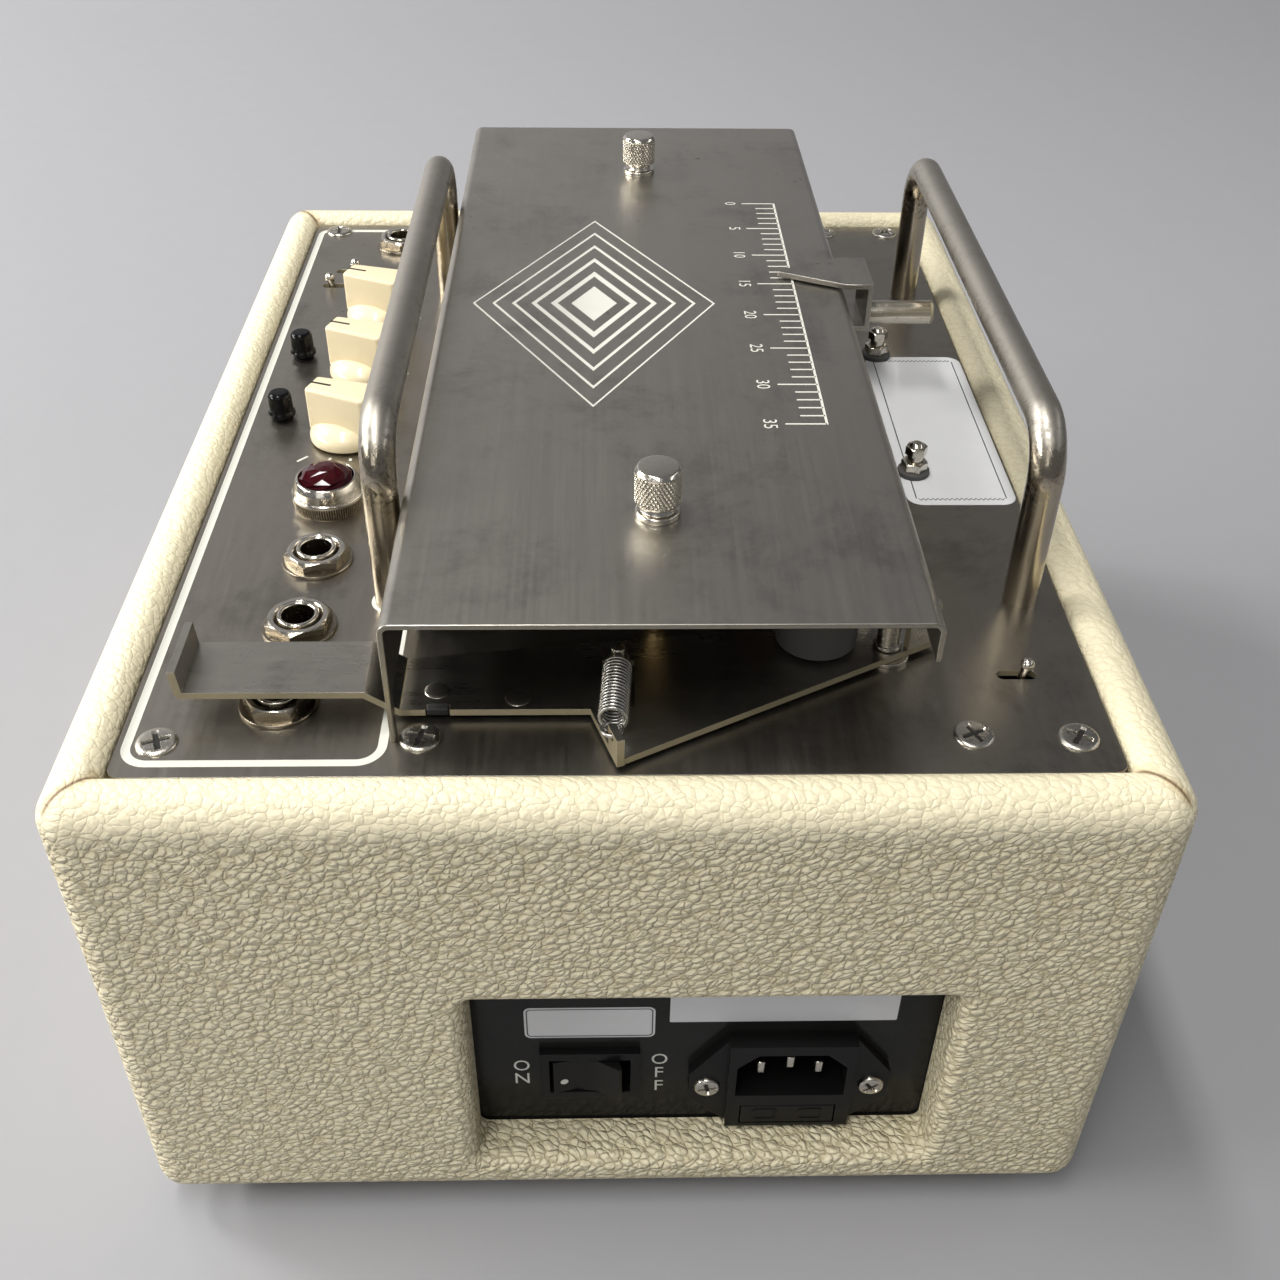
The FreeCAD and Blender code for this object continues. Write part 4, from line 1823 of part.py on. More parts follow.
def motor():
    """Round motor hung by its square plate, its shaft pointing down."""
    can = turned(
        "motor_can",
        [(0, "-motor_height"), ("motor_shaft_radius + 5", "-motor_height"),
         ("motor_radius - 3", "-motor_height"), ("motor_radius", "3 - motor_height"),
         ("motor_radius", 0), (0, 0)],
        "motor_x", "motor_y", MOTOR_TOP,
    )
    plate = block("motor_plate", "motor_x - motor_plate_half", "motor_x + motor_plate_half",
                  "motor_y - motor_plate_half", "motor_y + motor_plate_half",
                  f"{MOTOR_TOP} - motor_plate", MOTOR_TOP)
    holes = [rod(f"motor_hole_{index}", "screw_radius + screw_clearance", "motor_plate + 2",
                 screw_x, screw_y, f"{MOTOR_TOP} - motor_plate - 1")
             for index, (screw_x, screw_y) in enumerate(MOTOR_SCREWS)]
    socket = rod("motor_shaft_bore", "motor_shaft_radius + thread_clearance", "motor_height - 4",
                 "motor_x", "motor_y", f"{MOTOR_TOP} - motor_height - 1")
    return cut_away("motor", joined("motor_frame", [can, plate]), holes + [socket])


def motor_pulley():
    """Motor shaft with its belt pulley; it turns in the motor."""
    groove = "(belt_width / 2 + belt_gap)"
    half = "(flywheel_height / 2)"
    top = f"({MOTOR_TOP} - 8 - {BELT_MIDDLE})"
    profile = [
        (0, f"-{half}"), ("pulley_radius", f"-{half}"), ("pulley_radius", f"-{groove}"),
        ("pulley_radius - belt_thickness", f"-{groove}"), ("pulley_radius - belt_thickness", groove),
        ("pulley_radius", groove), ("pulley_radius", half), ("motor_shaft_radius", half),
        ("motor_shaft_radius", top), (0, top),
    ]
    return turned("motor_pulley", profile, "motor_x", "motor_y", BELT_MIDDLE)


def drive_belt():
    """Flat belt round the two grooves: two arcs and their common tangents."""
    large = sheet.flywheel_radius - sheet.belt_thickness + sheet.belt_gap
    small = sheet.pulley_radius - sheet.belt_thickness + sheet.belt_gap
    wheel = FreeCAD.Vector(sheet.capstan_x, sheet.capstan_y, 0)
    pulley = FreeCAD.Vector(sheet.motor_x, sheet.motor_y, 0)
    span = wheel - pulley
    heading = math.atan2(span.y, span.x)
    lean = math.acos((large - small) / span.Length)

    def ring(extra):
        """Closed tangent outline, the extra distance outside the grooves."""
        spots = {}
        for name, centre, radius in (("wheel", wheel, large + extra), ("pulley", pulley, small + extra)):
            for side, angle in (("left", heading + math.pi - lean), ("right", heading + math.pi + lean)):
                spots[name, side] = centre + FreeCAD.Vector(math.cos(angle), math.sin(angle), 0) * radius
        outward = FreeCAD.Vector(math.cos(heading), math.sin(heading), 0)
        far_wheel = wheel + outward * (large + extra)
        far_pulley = pulley - outward * (small + extra)
        return Part.Wire([
            Part.Arc(spots["wheel", "left"], far_wheel, spots["wheel", "right"]).toShape(),
            Part.LineSegment(spots["wheel", "right"], spots["pulley", "right"]).toShape(),
            Part.Arc(spots["pulley", "right"], far_pulley, spots["pulley", "left"]).toShape(),
            Part.LineSegment(spots["pulley", "left"], spots["wheel", "left"]).toShape(),
        ])

    band = Part.Face(ring(sheet.belt_thickness)).cut(Part.Face(ring(0)))
    feature = document.addObject("Part::Feature", "drive_belt")
    feature.Shape = band.extrude(FreeCAD.Vector(0, 0, sheet.belt_width))
    place(feature, 0, 0, f"{BELT_MIDDLE} - belt_width / 2")
    return rebuild(feature)


def motor_screws():
    """Long screws down to the motor plate: stacked nuts at the rear, flush heads in front."""
    pieces = []
    for index, (screw_x, screw_y) in enumerate(MOTOR_SCREWS):
        tall = index % 2 == 1
        end = "-deck_thickness - motor_drop - motor_screw_length"
        if tall:
            profile = [
                (0, end), ("screw_radius", end), ("screw_radius", "grommet_lip"),
                ("screw_head_radius * 0.85", "grommet_lip"),
                ("screw_head_radius * 0.85", "grommet_lip + 2.4"),
                ("screw_radius", "grommet_lip + 2.4"), ("screw_radius", "motor_stack_height - 2.6"),
                ("screw_head_radius * 0.7", "motor_stack_height - 2.6"),
                ("screw_head_radius * 0.7", "motor_stack_height"), (0, "motor_stack_height"),
            ]
        else:
            profile = [(0, end), ("screw_radius", end), ("screw_radius", -0.1), (0, -0.1)]
        pieces.append(turned(f"motor_screw_{index}", profile, screw_x, screw_y, DECK_TOP))
    return group("motor_screws", pieces)


def motor_grommets():
    """Rubber bushes between the deck and the motor plate, with a lip on the deck at the rear."""
    pieces = []
    hole = "screw_radius + screw_clearance"
    low = "-deck_thickness - motor_drop"
    for index, (screw_x, screw_y) in enumerate(MOTOR_SCREWS):
        pieces.append(turned(f"motor_grommet_{index}",
                             [(hole, low), ("grommet_radius", low),
                              ("grommet_radius", "-deck_thickness"), (hole, "-deck_thickness")],
                             screw_x, screw_y, DECK_TOP))
        if index % 2 == 1:
            pieces.append(turned(f"motor_washer_{index}",
                                 [(hole, 0), ("grommet_radius", 0), ("grommet_radius", "grommet_lip"),
                                  (hole, "grommet_lip")], screw_x, screw_y, DECK_TOP))
    return group("motor_grommets", pieces)


# ---- electronics --------------------------------------------------------------------------


def valve_places():
    return [f"valve_first_x - {index} * valve_pitch" for index in range(3)]


def circuit_board():
    """Board with its valve sockets and filter capacitors soldered on."""
    body = prism("circuit_board", "XY_Plane",
                 [("board_far_x", "board_front_y"), ("board_near_x", "board_front_y"),
                  ("board_near_x", "board_rear_y"), ("board_far_x", "board_rear_y")],
                 BOARD_LOW, "board_thickness")
    sockets = new_sketch(body, "valve_sockets", "XY_Plane", BOARD_LOW)
    for valve_x in valve_places():
        add_circle(sockets, valve_x, "valve_y", "socket_radius")
    pad(body, sockets, "board_thickness + socket_height")
    cans = new_sketch(body, "capacitors", "XY_Plane", BOARD_LOW)
    for index in range(2):
        add_circle(cans, f"valve_first_x - ({index} + 0.5) * valve_pitch", "capacitor_y",
                   "capacitor_radius")
    pad(body, cans, "board_thickness + capacitor_height")
    return body


def valves():
    low = f"({BOARD_TOP} + socket_height)"
    profile = [
        (0, 0), ("valve_radius", 0), ("valve_radius", "valve_height * 0.82"),
        ("valve_radius * 0.72", "valve_height * 0.94"), ("valve_radius * 0.2", "valve_height * 0.96"),
        (0, "valve_height"),
    ]
    return group("valves", [turned(f"valve_{index}", profile, valve_x, "valve_y", low)
                            for index, valve_x in enumerate(valve_places())])


def transformer():
    """Laminated core on its feet, with the winding through it."""
    def centred(name, length, depth, low, high):
        return block(name, f"transformer_x - {length} / 2", f"transformer_x + {length} / 2",
                     f"transformer_y - {depth} / 2", f"transformer_y + {depth} / 2", low, high)
    core = centred("transformer_core", "core_length", "core_depth", TRAY_FLOOR,
                   f"{TRAY_FLOOR} + core_height")
    middle = f"({TRAY_FLOOR} + core_height / 2)"
    winding = centred("transformer_winding", "winding_length", "winding_depth",
                      f"{middle} - winding_height / 2", f"{middle} + winding_height / 2")
    feet = centred("transformer_feet", "core_length", "(core_depth + 2 * core_foot)", TRAY_FLOOR,
                   f"{TRAY_FLOOR} + 2")
    return joined("transformer", [core, winding, feet])


def all_nodes():
    """Every sub-part, in the order it goes together."""
    return [
        cabinet_walls(), bottom_panel(), rubber_feet(), foot_screws(),
        deck_plate(), chassis_tray(), deck_screws(),
        handle("front_handle", "front_handle_y"), handle("rear_handle", "rear_handle_y"),
        handle_screws(), deck_cover(), cover_posts(),
        thumbscrew("near_thumbscrew", "near_post_x"), thumbscrew("far_thumbscrew", "far_post_x"),
        *[knob(name, knob_x) for name, knob_x in KNOB_PLACES.items()],
        potentiometers(), panel_nuts(),
        *[push_button(name, button_x) for name, button_x in BUTTON_PLACES.items()],
        button_switches(),
        toggle_lever("input_toggle", "input_toggle_x", "input_toggle_y", sheet.toggle_tilt),
        toggle_lever("mode_toggle", "mode_toggle_x", "mode_toggle_y", -sheet.toggle_tilt),
        toggle_lever("speed_toggle", "speed_toggle_x", "speed_toggle_y", -sheet.toggle_tilt),
        toggle_switches(), lamp_bezel(), lamp_jewel(), jack_bodies(),
        rocker_frame(), power_rocker(), mains_inlet(), inlet_pins(), fuse_drawer(), inlet_screws(),
        pinch_lever(), pinch_roller(), lever_posts(), lever_spring(),
        tape_cartridge(), tape_pack(), tape_loop(), tape_guides(),
        fixed_heads(), head("record_head", "slider_x", CARRIAGE_TOP, False),
        slider_carriage(), slider_rails(), rail_blocks(), slider_pointer(),
        capstan(), capstan_bearing(), flywheel(), motor(), motor_pulley(), drive_belt(),
        motor_screws(), motor_grommets(),
        circuit_board(), valves(), transformer(),
    ]


def check(node):
    shape = node.Shape
    if "Invalid" in node.State or "Error" in node.State or shape.isNull() or not shape.isValid():
        raise RuntimeError(f"{node.Label} is not a sound shape")


def main():
    nodes = all_nodes()
    document.recompute()
    for item in document.Objects:
        if "Invalid" in item.State or "Error" in item.State:
            raise RuntimeError(f"{item.Label} failed")
    for node in nodes:
        check(node)
    os.makedirs("parts", exist_ok=True)
    for node in nodes:
        node.Shape.exportStep(f"parts/{node.Label}.step")
    print(len(nodes), "nodes written")


main()
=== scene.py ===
import json
import math

import bmesh
import bpy
import numpy as np
from mathutils import Matrix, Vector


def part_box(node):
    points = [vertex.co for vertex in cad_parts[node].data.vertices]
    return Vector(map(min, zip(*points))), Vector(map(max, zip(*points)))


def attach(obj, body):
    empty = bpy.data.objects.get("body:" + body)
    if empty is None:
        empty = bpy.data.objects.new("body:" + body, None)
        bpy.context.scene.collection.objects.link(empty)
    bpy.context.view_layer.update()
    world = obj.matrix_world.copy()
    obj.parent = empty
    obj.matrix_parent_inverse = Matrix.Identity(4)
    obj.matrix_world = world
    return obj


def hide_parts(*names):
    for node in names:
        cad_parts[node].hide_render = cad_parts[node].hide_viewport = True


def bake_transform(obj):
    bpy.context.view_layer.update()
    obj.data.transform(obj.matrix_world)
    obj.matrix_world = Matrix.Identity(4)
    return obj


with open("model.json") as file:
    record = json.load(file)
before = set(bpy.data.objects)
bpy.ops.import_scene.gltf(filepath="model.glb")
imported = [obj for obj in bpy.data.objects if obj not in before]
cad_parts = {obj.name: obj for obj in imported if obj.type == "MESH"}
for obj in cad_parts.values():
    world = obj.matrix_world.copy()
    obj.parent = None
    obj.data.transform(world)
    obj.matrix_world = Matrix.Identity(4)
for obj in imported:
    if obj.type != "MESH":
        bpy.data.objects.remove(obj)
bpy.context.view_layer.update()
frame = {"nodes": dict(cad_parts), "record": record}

bl_info = {
    "name": "Tape echo unit",
    "version": (1, 0, 0),
    "blender": (4, 5, 0),
    "location": "View3D > Sidebar > Tape Echo",
    "description": "Builds the surfaces and finishes of a valve tape echo unit on its fixed frame",
    "category": "Object",
}

METRES = 0.001
WELD = 1e-6
SLIVER = 1e-7
FULL_TURN = 2 * math.pi
SMALLEST_ROUND = 1e-4
LOWEST, HIGHEST = 0, 1
X, Y, Z = 0, 1, 2
ORIGIN = (0, 0, 0)
SLOTS = {part["material_slot"] for part in frame["record"]["subparts"]}


def face_at(node, side, axis):
    """Where a node's lowest or highest face stands along an axis, in millimetres."""
    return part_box(node)[side][axis] / METRES


def middle_of(node):
    """The middle of a node's box, in millimetres."""
    low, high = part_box(node)
    return [(low[axis] + high[axis]) / 2 / METRES for axis in (X, Y, Z)]


DECK = face_at("deck_plate", HIGHEST, Z)
COVER = face_at("deck_cover", HIGHEST, Z)
RIM = face_at("cabinet_walls", HIGHEST, Z)
HALF_LENGTH = face_at("cabinet_walls", HIGHEST, X)
HALF_DEPTH = face_at("cabinet_walls", HIGHEST, Y)
CABINET_LOW = face_at("cabinet_walls", LOWEST, Z)
PANEL = face_at("chassis_tray", HIGHEST, X)


# ---- sizes and colours --------------------------------------------------------------------


def length(name, description, default):
    """A length of the user's list; its default is given in millimetres."""
    return bpy.props.FloatProperty(name=name, description=description, default=default * METRES,
                                   precision=5, unit="LENGTH")


def paint(name, description, default):
    """A colour of the user's list."""
    return bpy.props.FloatVectorProperty(name=name, description=description, default=default,
                                         size=3, min=0.0, max=1.0, subtype="COLOR")


class TapeEchoSizes(bpy.types.PropertyGroup):
    """Sizes of the surfaces that a user would change."""

    edge_round: length("Cabinet edge", "Radius of the cabinet's covered outer edges", 7.6)
    rim_round: length("Rim edge", "Radius of the cabinet rim's inner edge", 4.2)
    base_round: length("Base edge", "Radius of the cabinet's lower edges", 6.0)
    lip_round: length("Opening lip", "Radius of the lip of the mains opening", 3.6)
    grain: length("Covering grain", "Width of one pebble of the covering's grain", 1.35)
    sheet_edge: length("Sheet edge", "Rounding of the sheet metal's cut edges", 0.22)
    moulding_edge: length("Moulding edge", "Rounding of the moulded parts' edges", 0.45)
    ink: length("Print thickness", "How far print and labels stand above the metal", 0.05)
    border: length("Border width", "Width of the line round the controls", 1.9)
    handle: length("Handle radius", "Radius of the handles' bar", 4.0)
    bend: length("Handle bend", "Radius of the handles' bends", 12.0)
    scale_unit: length("Scale step", "Distance between two marks of the delay scale", 3.817)
    knurl_depth: length("Knurl depth", "Depth of the thumbscrews' knurling", 0.32)
    coil: length("Spring coil", "Radius of the lever spring's coil", 2.85)
    wire: length("Spring wire", "Radius of the lever spring's wire", 0.45)
    knurls: bpy.props.IntProperty(name="Knurls", description="Diamonds round a thumbscrew's head",
                                  default=34, min=8, max=60)
    flutes: bpy.props.IntProperty(name="Flutes", description="Flutes round the lamp's ring",
                                  default=92, min=12, max=120)
    turns: bpy.props.IntProperty(name="Spring turns", description="Turns of the spring's coil",
                                 default=17, min=4, max=40)


class TapeEchoColours(bpy.types.PropertyGroup):
    """Colours that a user would change."""

    covering: paint("Covering", "Cream of the cabinet's covering", (0.83, 0.755, 0.535))
    # painted shade: the darker tone that the creases and hollows of the covering's grain are
    # coloured with
    crease: paint("Crease", "Covering in the creases of its grain", (0.60, 0.52, 0.33))
    deck: paint("Deck", "Brushed nickel of the deck", (0.345, 0.320, 0.278))
    cover: paint("Cover", "Brushed steel of the tape cover", (0.455, 0.432, 0.385))
    nickel: paint("Nickel", "Bright nickel of screws and nuts", (0.66, 0.62, 0.545))
    handle: paint("Handles", "Worn nickel of the handles", (0.47, 0.44, 0.385))
    brass: paint("Brass", "Brass of posts and bearings", (0.66, 0.50, 0.26))
    print: paint("Print", "Ink of lines, marks and numbers", (0.66, 0.66, 0.59))
    knob: paint("Knobs", "Cream plastic of the knobs", (0.80, 0.69, 0.46))
    jewel: paint("Jewel", "Red glass of the lamp", (0.040, 0.0010, 0.003))
    enamel: paint("Enamel", "Black enamel of the mains panel", (0.012, 0.012, 0.011))
    floor: paint("Floor", "Backdrop and floor", (0.345, 0.345, 0.36))


def size(name):
    """A size of the user's list, in millimetres."""
    return getattr(bpy.context.scene.tape_echo_sizes, name) / METRES


def count(name):
    """A number of the user's list, such as the turns of the spring."""
    return getattr(bpy.context.scene.tape_echo_sizes, name)


def shaded(tone, shade):
    """A tone made lighter or darker by a shade."""
    return tuple(part * shade for part in tone[:3]) + (1.0,)


def colour(name, shade=1.0):
    """A colour of the user's list, made lighter or darker by a shade."""
    return shaded(getattr(bpy.context.scene.tape_echo_colours, name), shade)


# ---- outlines and surfaces ----------------------------------------------------------------


def unit(vectors):
    """Each vector over its own length."""
    return vectors / np.maximum(np.linalg.norm(vectors, axis=-1, keepdims=True), 1e-12)


def rounded(corners, radius, steps=8, closed=True):
    """Outline with a round at each corner. A round starts and ends radius / tan(half the corner's
    angle) from the corner, and its points turn evenly from one side's tangent to the other's."""
    corner = np.asarray(corners, float)
    radius = np.broadcast_to(np.asarray(radius, float), len(corner))
    if not closed:
        is_end = np.arange(len(corner)) % (len(corner) - 1) == 0
        inner = rounded(corner, np.where(is_end, 0.01, radius), steps)
        return np.concatenate([corner[:1], inner[steps:-steps], corner[-1:]])
    radius = np.maximum(radius, SMALLEST_ROUND)
    before, after = unit(np.roll(corner, 1, 0) - corner), unit(np.roll(corner, -1, 0) - corner)
    half = np.arccos(np.clip(np.sum(before * after, 1), -0.99999, 0.99999)) / 2
    run = (radius / np.tan(half))[:, None]
    centre = corner + unit(before + after) * (radius / np.sin(half))[:, None]
    start, end = corner + before * run - centre, corner + after * run - centre
    turn, step = (math.pi - 2 * half)[:, None, None], np.linspace(0, 1, steps)[None, :, None]
    arcs = np.sin((1 - step) * turn) * start[:, None] + np.sin(step * turn) * end[:, None]
    return (centre[:, None] + arcs / np.sin(turn)).reshape(-1, corner.shape[1])


def stem(corners, rounds, steps=4):
    """The rounded profile of a turned part, open where it meets the axis."""
    return rounded(corners, rounds, steps, closed=False)


def rectangle(low_x, low_y, high_x, high_y, radius=0.01, steps=8):
    """A rectangle's outline with round corners, its corners anticlockwise."""
    corners = [(high_x, high_y), (low_x, high_y), (low_x, low_y), (high_x, low_y)]
    return rounded(corners, radius, steps)


def circle(radius, sides=64, x=0.0, y=0.0):
    """Points at x + radius cos a, y + radius sin a, at even angles."""
    angle = np.linspace(0, FULL_TURN, sides, endpoint=False)
    return np.stack([x + radius * np.cos(angle), y + radius * np.sin(angle)], -1)


def inset(outline, distance):
    """An anticlockwise outline moved inwards: each point goes along the sum of its two sides'
    inward normals, over one plus their product, times the distance."""
    before, after = unit(outline - np.roll(outline, 1, 0)), unit(np.roll(outline, -1, 0) - outline)
    inward = np.stack([-before[:, 1] - after[:, 1], before[:, 0] + after[:, 0]], -1)
    return outline + inward * (distance / (1 + np.sum(before * after, 1)))[:, None]


def at_height(outline, height):
    """An outline's points, all at one height."""
    return np.concatenate([outline, np.full((len(outline), 1), height)], 1)


def band(outer, inner, low, high):
    """The four rings round a flat printed line's section, between two outlines."""
    return np.array([at_height(outer, low), at_height(outer, high),
                     at_height(inner, high), at_height(inner, low)])


def slab(outline, low, high, edge=0.0, low_edge=None, steps=4):
    """Rings of a plate whose edges are rounded: at an angle t round its upper edge the outline is
    inset by edge (1 - cos t), at edge (1 - sin t) under the top; the lower edge is alike."""
    low_edge = edge if low_edge is None else low_edge
    falls = [(1 - math.sin(t), 1 - math.cos(t)) for t in np.linspace(0, math.pi / 2, steps)]
    rings = [at_height(inset(outline, low_edge * a), low + low_edge * b) for a, b in falls]
    rings += [at_height(inset(outline, edge * b), high - edge * a) for a, b in falls]
    return np.array(rings)


def turned(profile, x=0.0, y=0.0, z=0.0, sides=64, ripple=None):
    """A profile of radii and heights turned round an upright axis at x, y: each point goes to
    x + r cos a, y + r sin a, z + height. A ripple adds to the radius at each angle and height."""
    radius, height = np.asarray(profile, float).T[:, :, None]
    angle = np.linspace(0, FULL_TURN, sides, endpoint=False)[None]
    if ripple is not None:
        radius = radius + ripple(angle, height)
    return np.stack([x + radius * np.cos(angle), y + radius * np.sin(angle),
                     z + height + 0 * angle], -1)


def swept(section, path, side):
    """A section carried along a path: its first axis keeps to the given side, its second stands
    square to that and to the path."""
    along = unit(np.gradient(path, axis=0))
    side = unit(side - along * np.sum(side * along, -1, keepdims=True))
    first, second = section[None, :, :1], section[None, :, 1:]
    return path[:, None] + first * side[:, None] + second * np.cross(along, side)[:, None]


def facing_near(points):
    """Turns a surface that faces up so that it faces the mains end."""
    return np.asarray(points)[..., [Z, X, Y]]


def tilted(points, pivot, axis, degrees):
    """A surface turned about an axis through a pivot."""
    turn = np.array(Matrix.Rotation(math.radians(degrees), 3, axis))
    return (np.asarray(points) - pivot) @ turn.T + pivot


def cross_head(radius, height, shank, shank_length, angle, tip=1.2):
    """An oval screw head with a cross recess on its shank. The head's height is
    height (1 - (r / radius)^8)^0.5, less the recess: its depth times the lesser of two ramps, one
    rising from the arms' sides inwards, one from their ends, held in 0 to 1."""
    distance = np.concatenate([np.linspace(0, radius * 0.72, 32),
                               np.linspace(radius * 0.76, radius * 0.92, 5),
                               np.linspace(radius * 0.94, radius, 9)])
    turn = np.linspace(0, FULL_TURN, 128, endpoint=False)[None]
    reach = distance[:, None]
    across, along = reach * np.cos(turn), reach * np.sin(turn)
    dome = height * (1 - (reach / radius) ** 8) ** 0.5
    half_arm, arm_slope, arm_end, end_slope, depth = 0.15, 0.035, 0.70, 0.12, 0.96
    arm = (radius * half_arm - np.minimum(abs(across), abs(along))) / (radius * arm_slope)
    end = (radius * arm_end - reach) / (radius * end_slope)
    level = dome - height * depth * np.clip(np.minimum(arm, end), 0, 1)
    head = np.stack([across, along, level], -1)
    below = [(radius, -0.02), (shank, -0.02), (shank, tip - shank_length), (0, -shank_length)]
    return tilted(np.concatenate([head, turned(below, sides=128)]), ORIGIN, "Z", angle)


def cross_floor(radius, height, angle):
    """Painted shade in a cross recess: a thin dark cross a little over the recess's deepest level,
    standing for the shade at its bottom.
    """
    arm, reach = radius * 0.125, radius * 0.60
    corners = [(arm, arm), (arm, reach), (-arm, reach), (-arm, arm), (-reach, arm),
               (-reach, -arm), (-arm, -arm), (-arm, -reach), (arm, -reach), (arm, -arm),
               (reach, -arm), (reach, arm)]
    return tilted(slab(np.array(corners), height * 0.10, height * 0.28), ORIGIN, "Z", angle)


def hex_nut(across, low, high, bore, x, y, angle=0.0):
    """A six-sided nut. At each angle its flats' radius is half the width over the cosine of the
    angle from the flat's middle; above the level where a cone of slope 1.7 meets them, the radius
    is the cone's, and the bore opens with a countersink."""
    cone_slope = 1.7
    turn = np.linspace(0, FULL_TURN, 120, endpoint=False)[None]
    flat = across / 2 / np.cos(turn % (math.pi / 3) - math.pi / 6)
    seat, sink, level = across / 2 * 0.975, across * 0.06, 0 * turn
    meeting = high - (flat - seat) / cone_slope
    radii = [level + bore, flat, flat, (flat + seat) / 2, level + seat, level + bore + sink,
             level + bore]
    heights = [level + low, level + low, meeting, (meeting + high) / 2, level + high, level + high,
               level + high - sink]
    radius, turn = np.concatenate(radii), turn + math.radians(angle)
    return np.stack([x + radius * np.cos(turn), y + radius * np.sin(turn),
                     np.concatenate(heights)], -1)


def quads(rows, columns, loop_rows, loop_columns):
    """Corner numbers of the quads between neighbouring points of a grid."""
    row, column = np.meshgrid(np.arange(rows if loop_rows else rows - 1),
                              np.arange(columns if loop_columns else columns - 1), indexing="ij")
    below, beside = (row + 1) % rows, (column + 1) % columns
    corners = [row * columns + column, row * columns + beside, below * columns + beside,
               below * columns + column]
    return np.stack(corners, -1).reshape(-1, 4)


def lettering(text, height):
    """Points and faces of a plain flat word, its middle at the origin."""
    curve = bpy.data.curves.new("lettering", "FONT")
    curve.body, curve.resolution_u = text, 3
    holder = bpy.data.objects.new("lettering", curve)
    bpy.context.scene.collection.objects.link(holder)
    flat = bpy.data.meshes.new_from_object(holder)
    points = np.empty(len(flat.vertices) * 3)
    flat.vertices.foreach_get("co", points)
    points = points.reshape(-1, 3)
    faces = [np.array([polygon.vertices[:]]) for polygon in flat.polygons]
    bpy.data.objects.remove(holder)
    bpy.data.curves.remove(curve)
    bpy.data.meshes.remove(flat)
    middle = (points.min(0) + points.max(0)) / 2
    return (points - middle) * height / np.ptp(points[:, 1]), faces


class Piece:
    """Gathers one piece's surfaces in millimetres, then makes its mesh object in metres. Each
    surface has the number of one of the piece's finishes."""

    def __init__(self, name):
        self.name, self.total = name, 0
        self.points, self.faces, self.numbers = [], [], []

    def add(self, points, faces, number=0):
        """Adds points and the faces whose corners count from the first of them."""
        self.points.append(np.asarray(points, float).reshape(-1, 3))
        self.faces.append(np.asarray(faces) + self.total)
        self.numbers.append(np.full(len(faces), number))
        self.total += len(self.points[-1])

    def grid(self, points, loop_rows=False, loop_columns=True, number=0):
        """A surface given as rows of points, closed along its rows or columns where it is said."""
        rows, columns = points.shape[:2]
        self.add(points, quads(rows, columns, loop_rows, loop_columns), number)

    def solid(self, rings, number=0):
        """Closed rings one over the other, with a face over the first and the last."""
        self.grid(rings, number=number)
        for ring in (rings[0], rings[-1]):
            self.add(ring, np.arange(len(ring))[None], number)

    def ring(self, rings, number=0):
        """Closed rings that go round a closed section, such as a washer's."""
        self.grid(rings, loop_rows=True, number=number)

    def stems(self, profile, places, sides, z=DECK):
        """The same turned part, standing at each of some places."""
        for x, y in places:
            self.solid(turned(profile, x, y, z, sides))

    def bar(self, start, end, width, low, high, number=0):
        """A straight printed line between two points of the deck or cover."""
        start, end = np.asarray(start, float), np.asarray(end, float)
        along = unit(end - start)
        side = np.array([-along[1], along[0]]) * width / 2
        outline = np.array([start - side, end - side, end + side, start + side])
        self.solid(slab(outline, low, high), number)

    def word(self, text, height, place, number=0):
        """A flat word; place turns its points from the sheet it is drawn on to where it stands."""
        points, faces = lettering(text, height)
        points = place(points)
        for polygon in faces:
            self.add(points[polygon[0]], np.arange(polygon.shape[1])[None], number)

    def mesh(self):
        """The gathered surfaces as one mesh in metres."""
        mesh = bpy.data.meshes.new(self.name)
        faces = [corners for block in self.faces for corners in block.tolist()]
        mesh.from_pydata((np.concatenate(self.points) * METRES).tolist(), [], faces)
        mesh.polygons.foreach_set("material_index", np.concatenate(self.numbers))
        return mesh

    def make(self, body, finishes, nodes=(), sharp=38.0, flat=False):
        """Makes the piece's object on its body, in place of the nodes."""
        mesh = self.mesh()
        tidy(mesh)
        return stand(self.name, mesh, body, finishes, nodes, sharp, flat)


def tidy(mesh):
    """Merges the points that meet, drops faces of no size and turns the rest outwards."""
    shell = bmesh.new()
    shell.from_mesh(mesh)
    bmesh.ops.remove_doubles(shell, verts=shell.verts, dist=WELD)
    bmesh.ops.dissolve_degenerate(shell, edges=shell.edges, dist=SLIVER)
    bmesh.ops.recalc_face_normals(shell, faces=shell.faces)
    shell.to_mesh(mesh)
    shell.free()


def smooth(mesh, sharp):
    """Smooth shading, with the edges that turn by more than so many degrees kept sharp."""
    mesh.shade_smooth()
    mesh.set_sharp_from_angle(angle=math.radians(sharp))


def stand(name, mesh, body, finishes, nodes=(), sharp=38.0, flat=False):
    """Makes a piece's object, with its finishes, its body and the nodes that it stands for."""
    if flat:
        mesh.shade_flat()
    else:
        smooth(mesh, sharp)
    piece = bpy.data.objects.new(name, mesh)
    bpy.context.scene.collection.objects.link(piece)
    for slot_name in finishes:
        mesh.materials.append(finish(slot_name))
    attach(piece, body)
    finishes[0] in SLOTS
    if nodes:
        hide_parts(*nodes)
    return piece


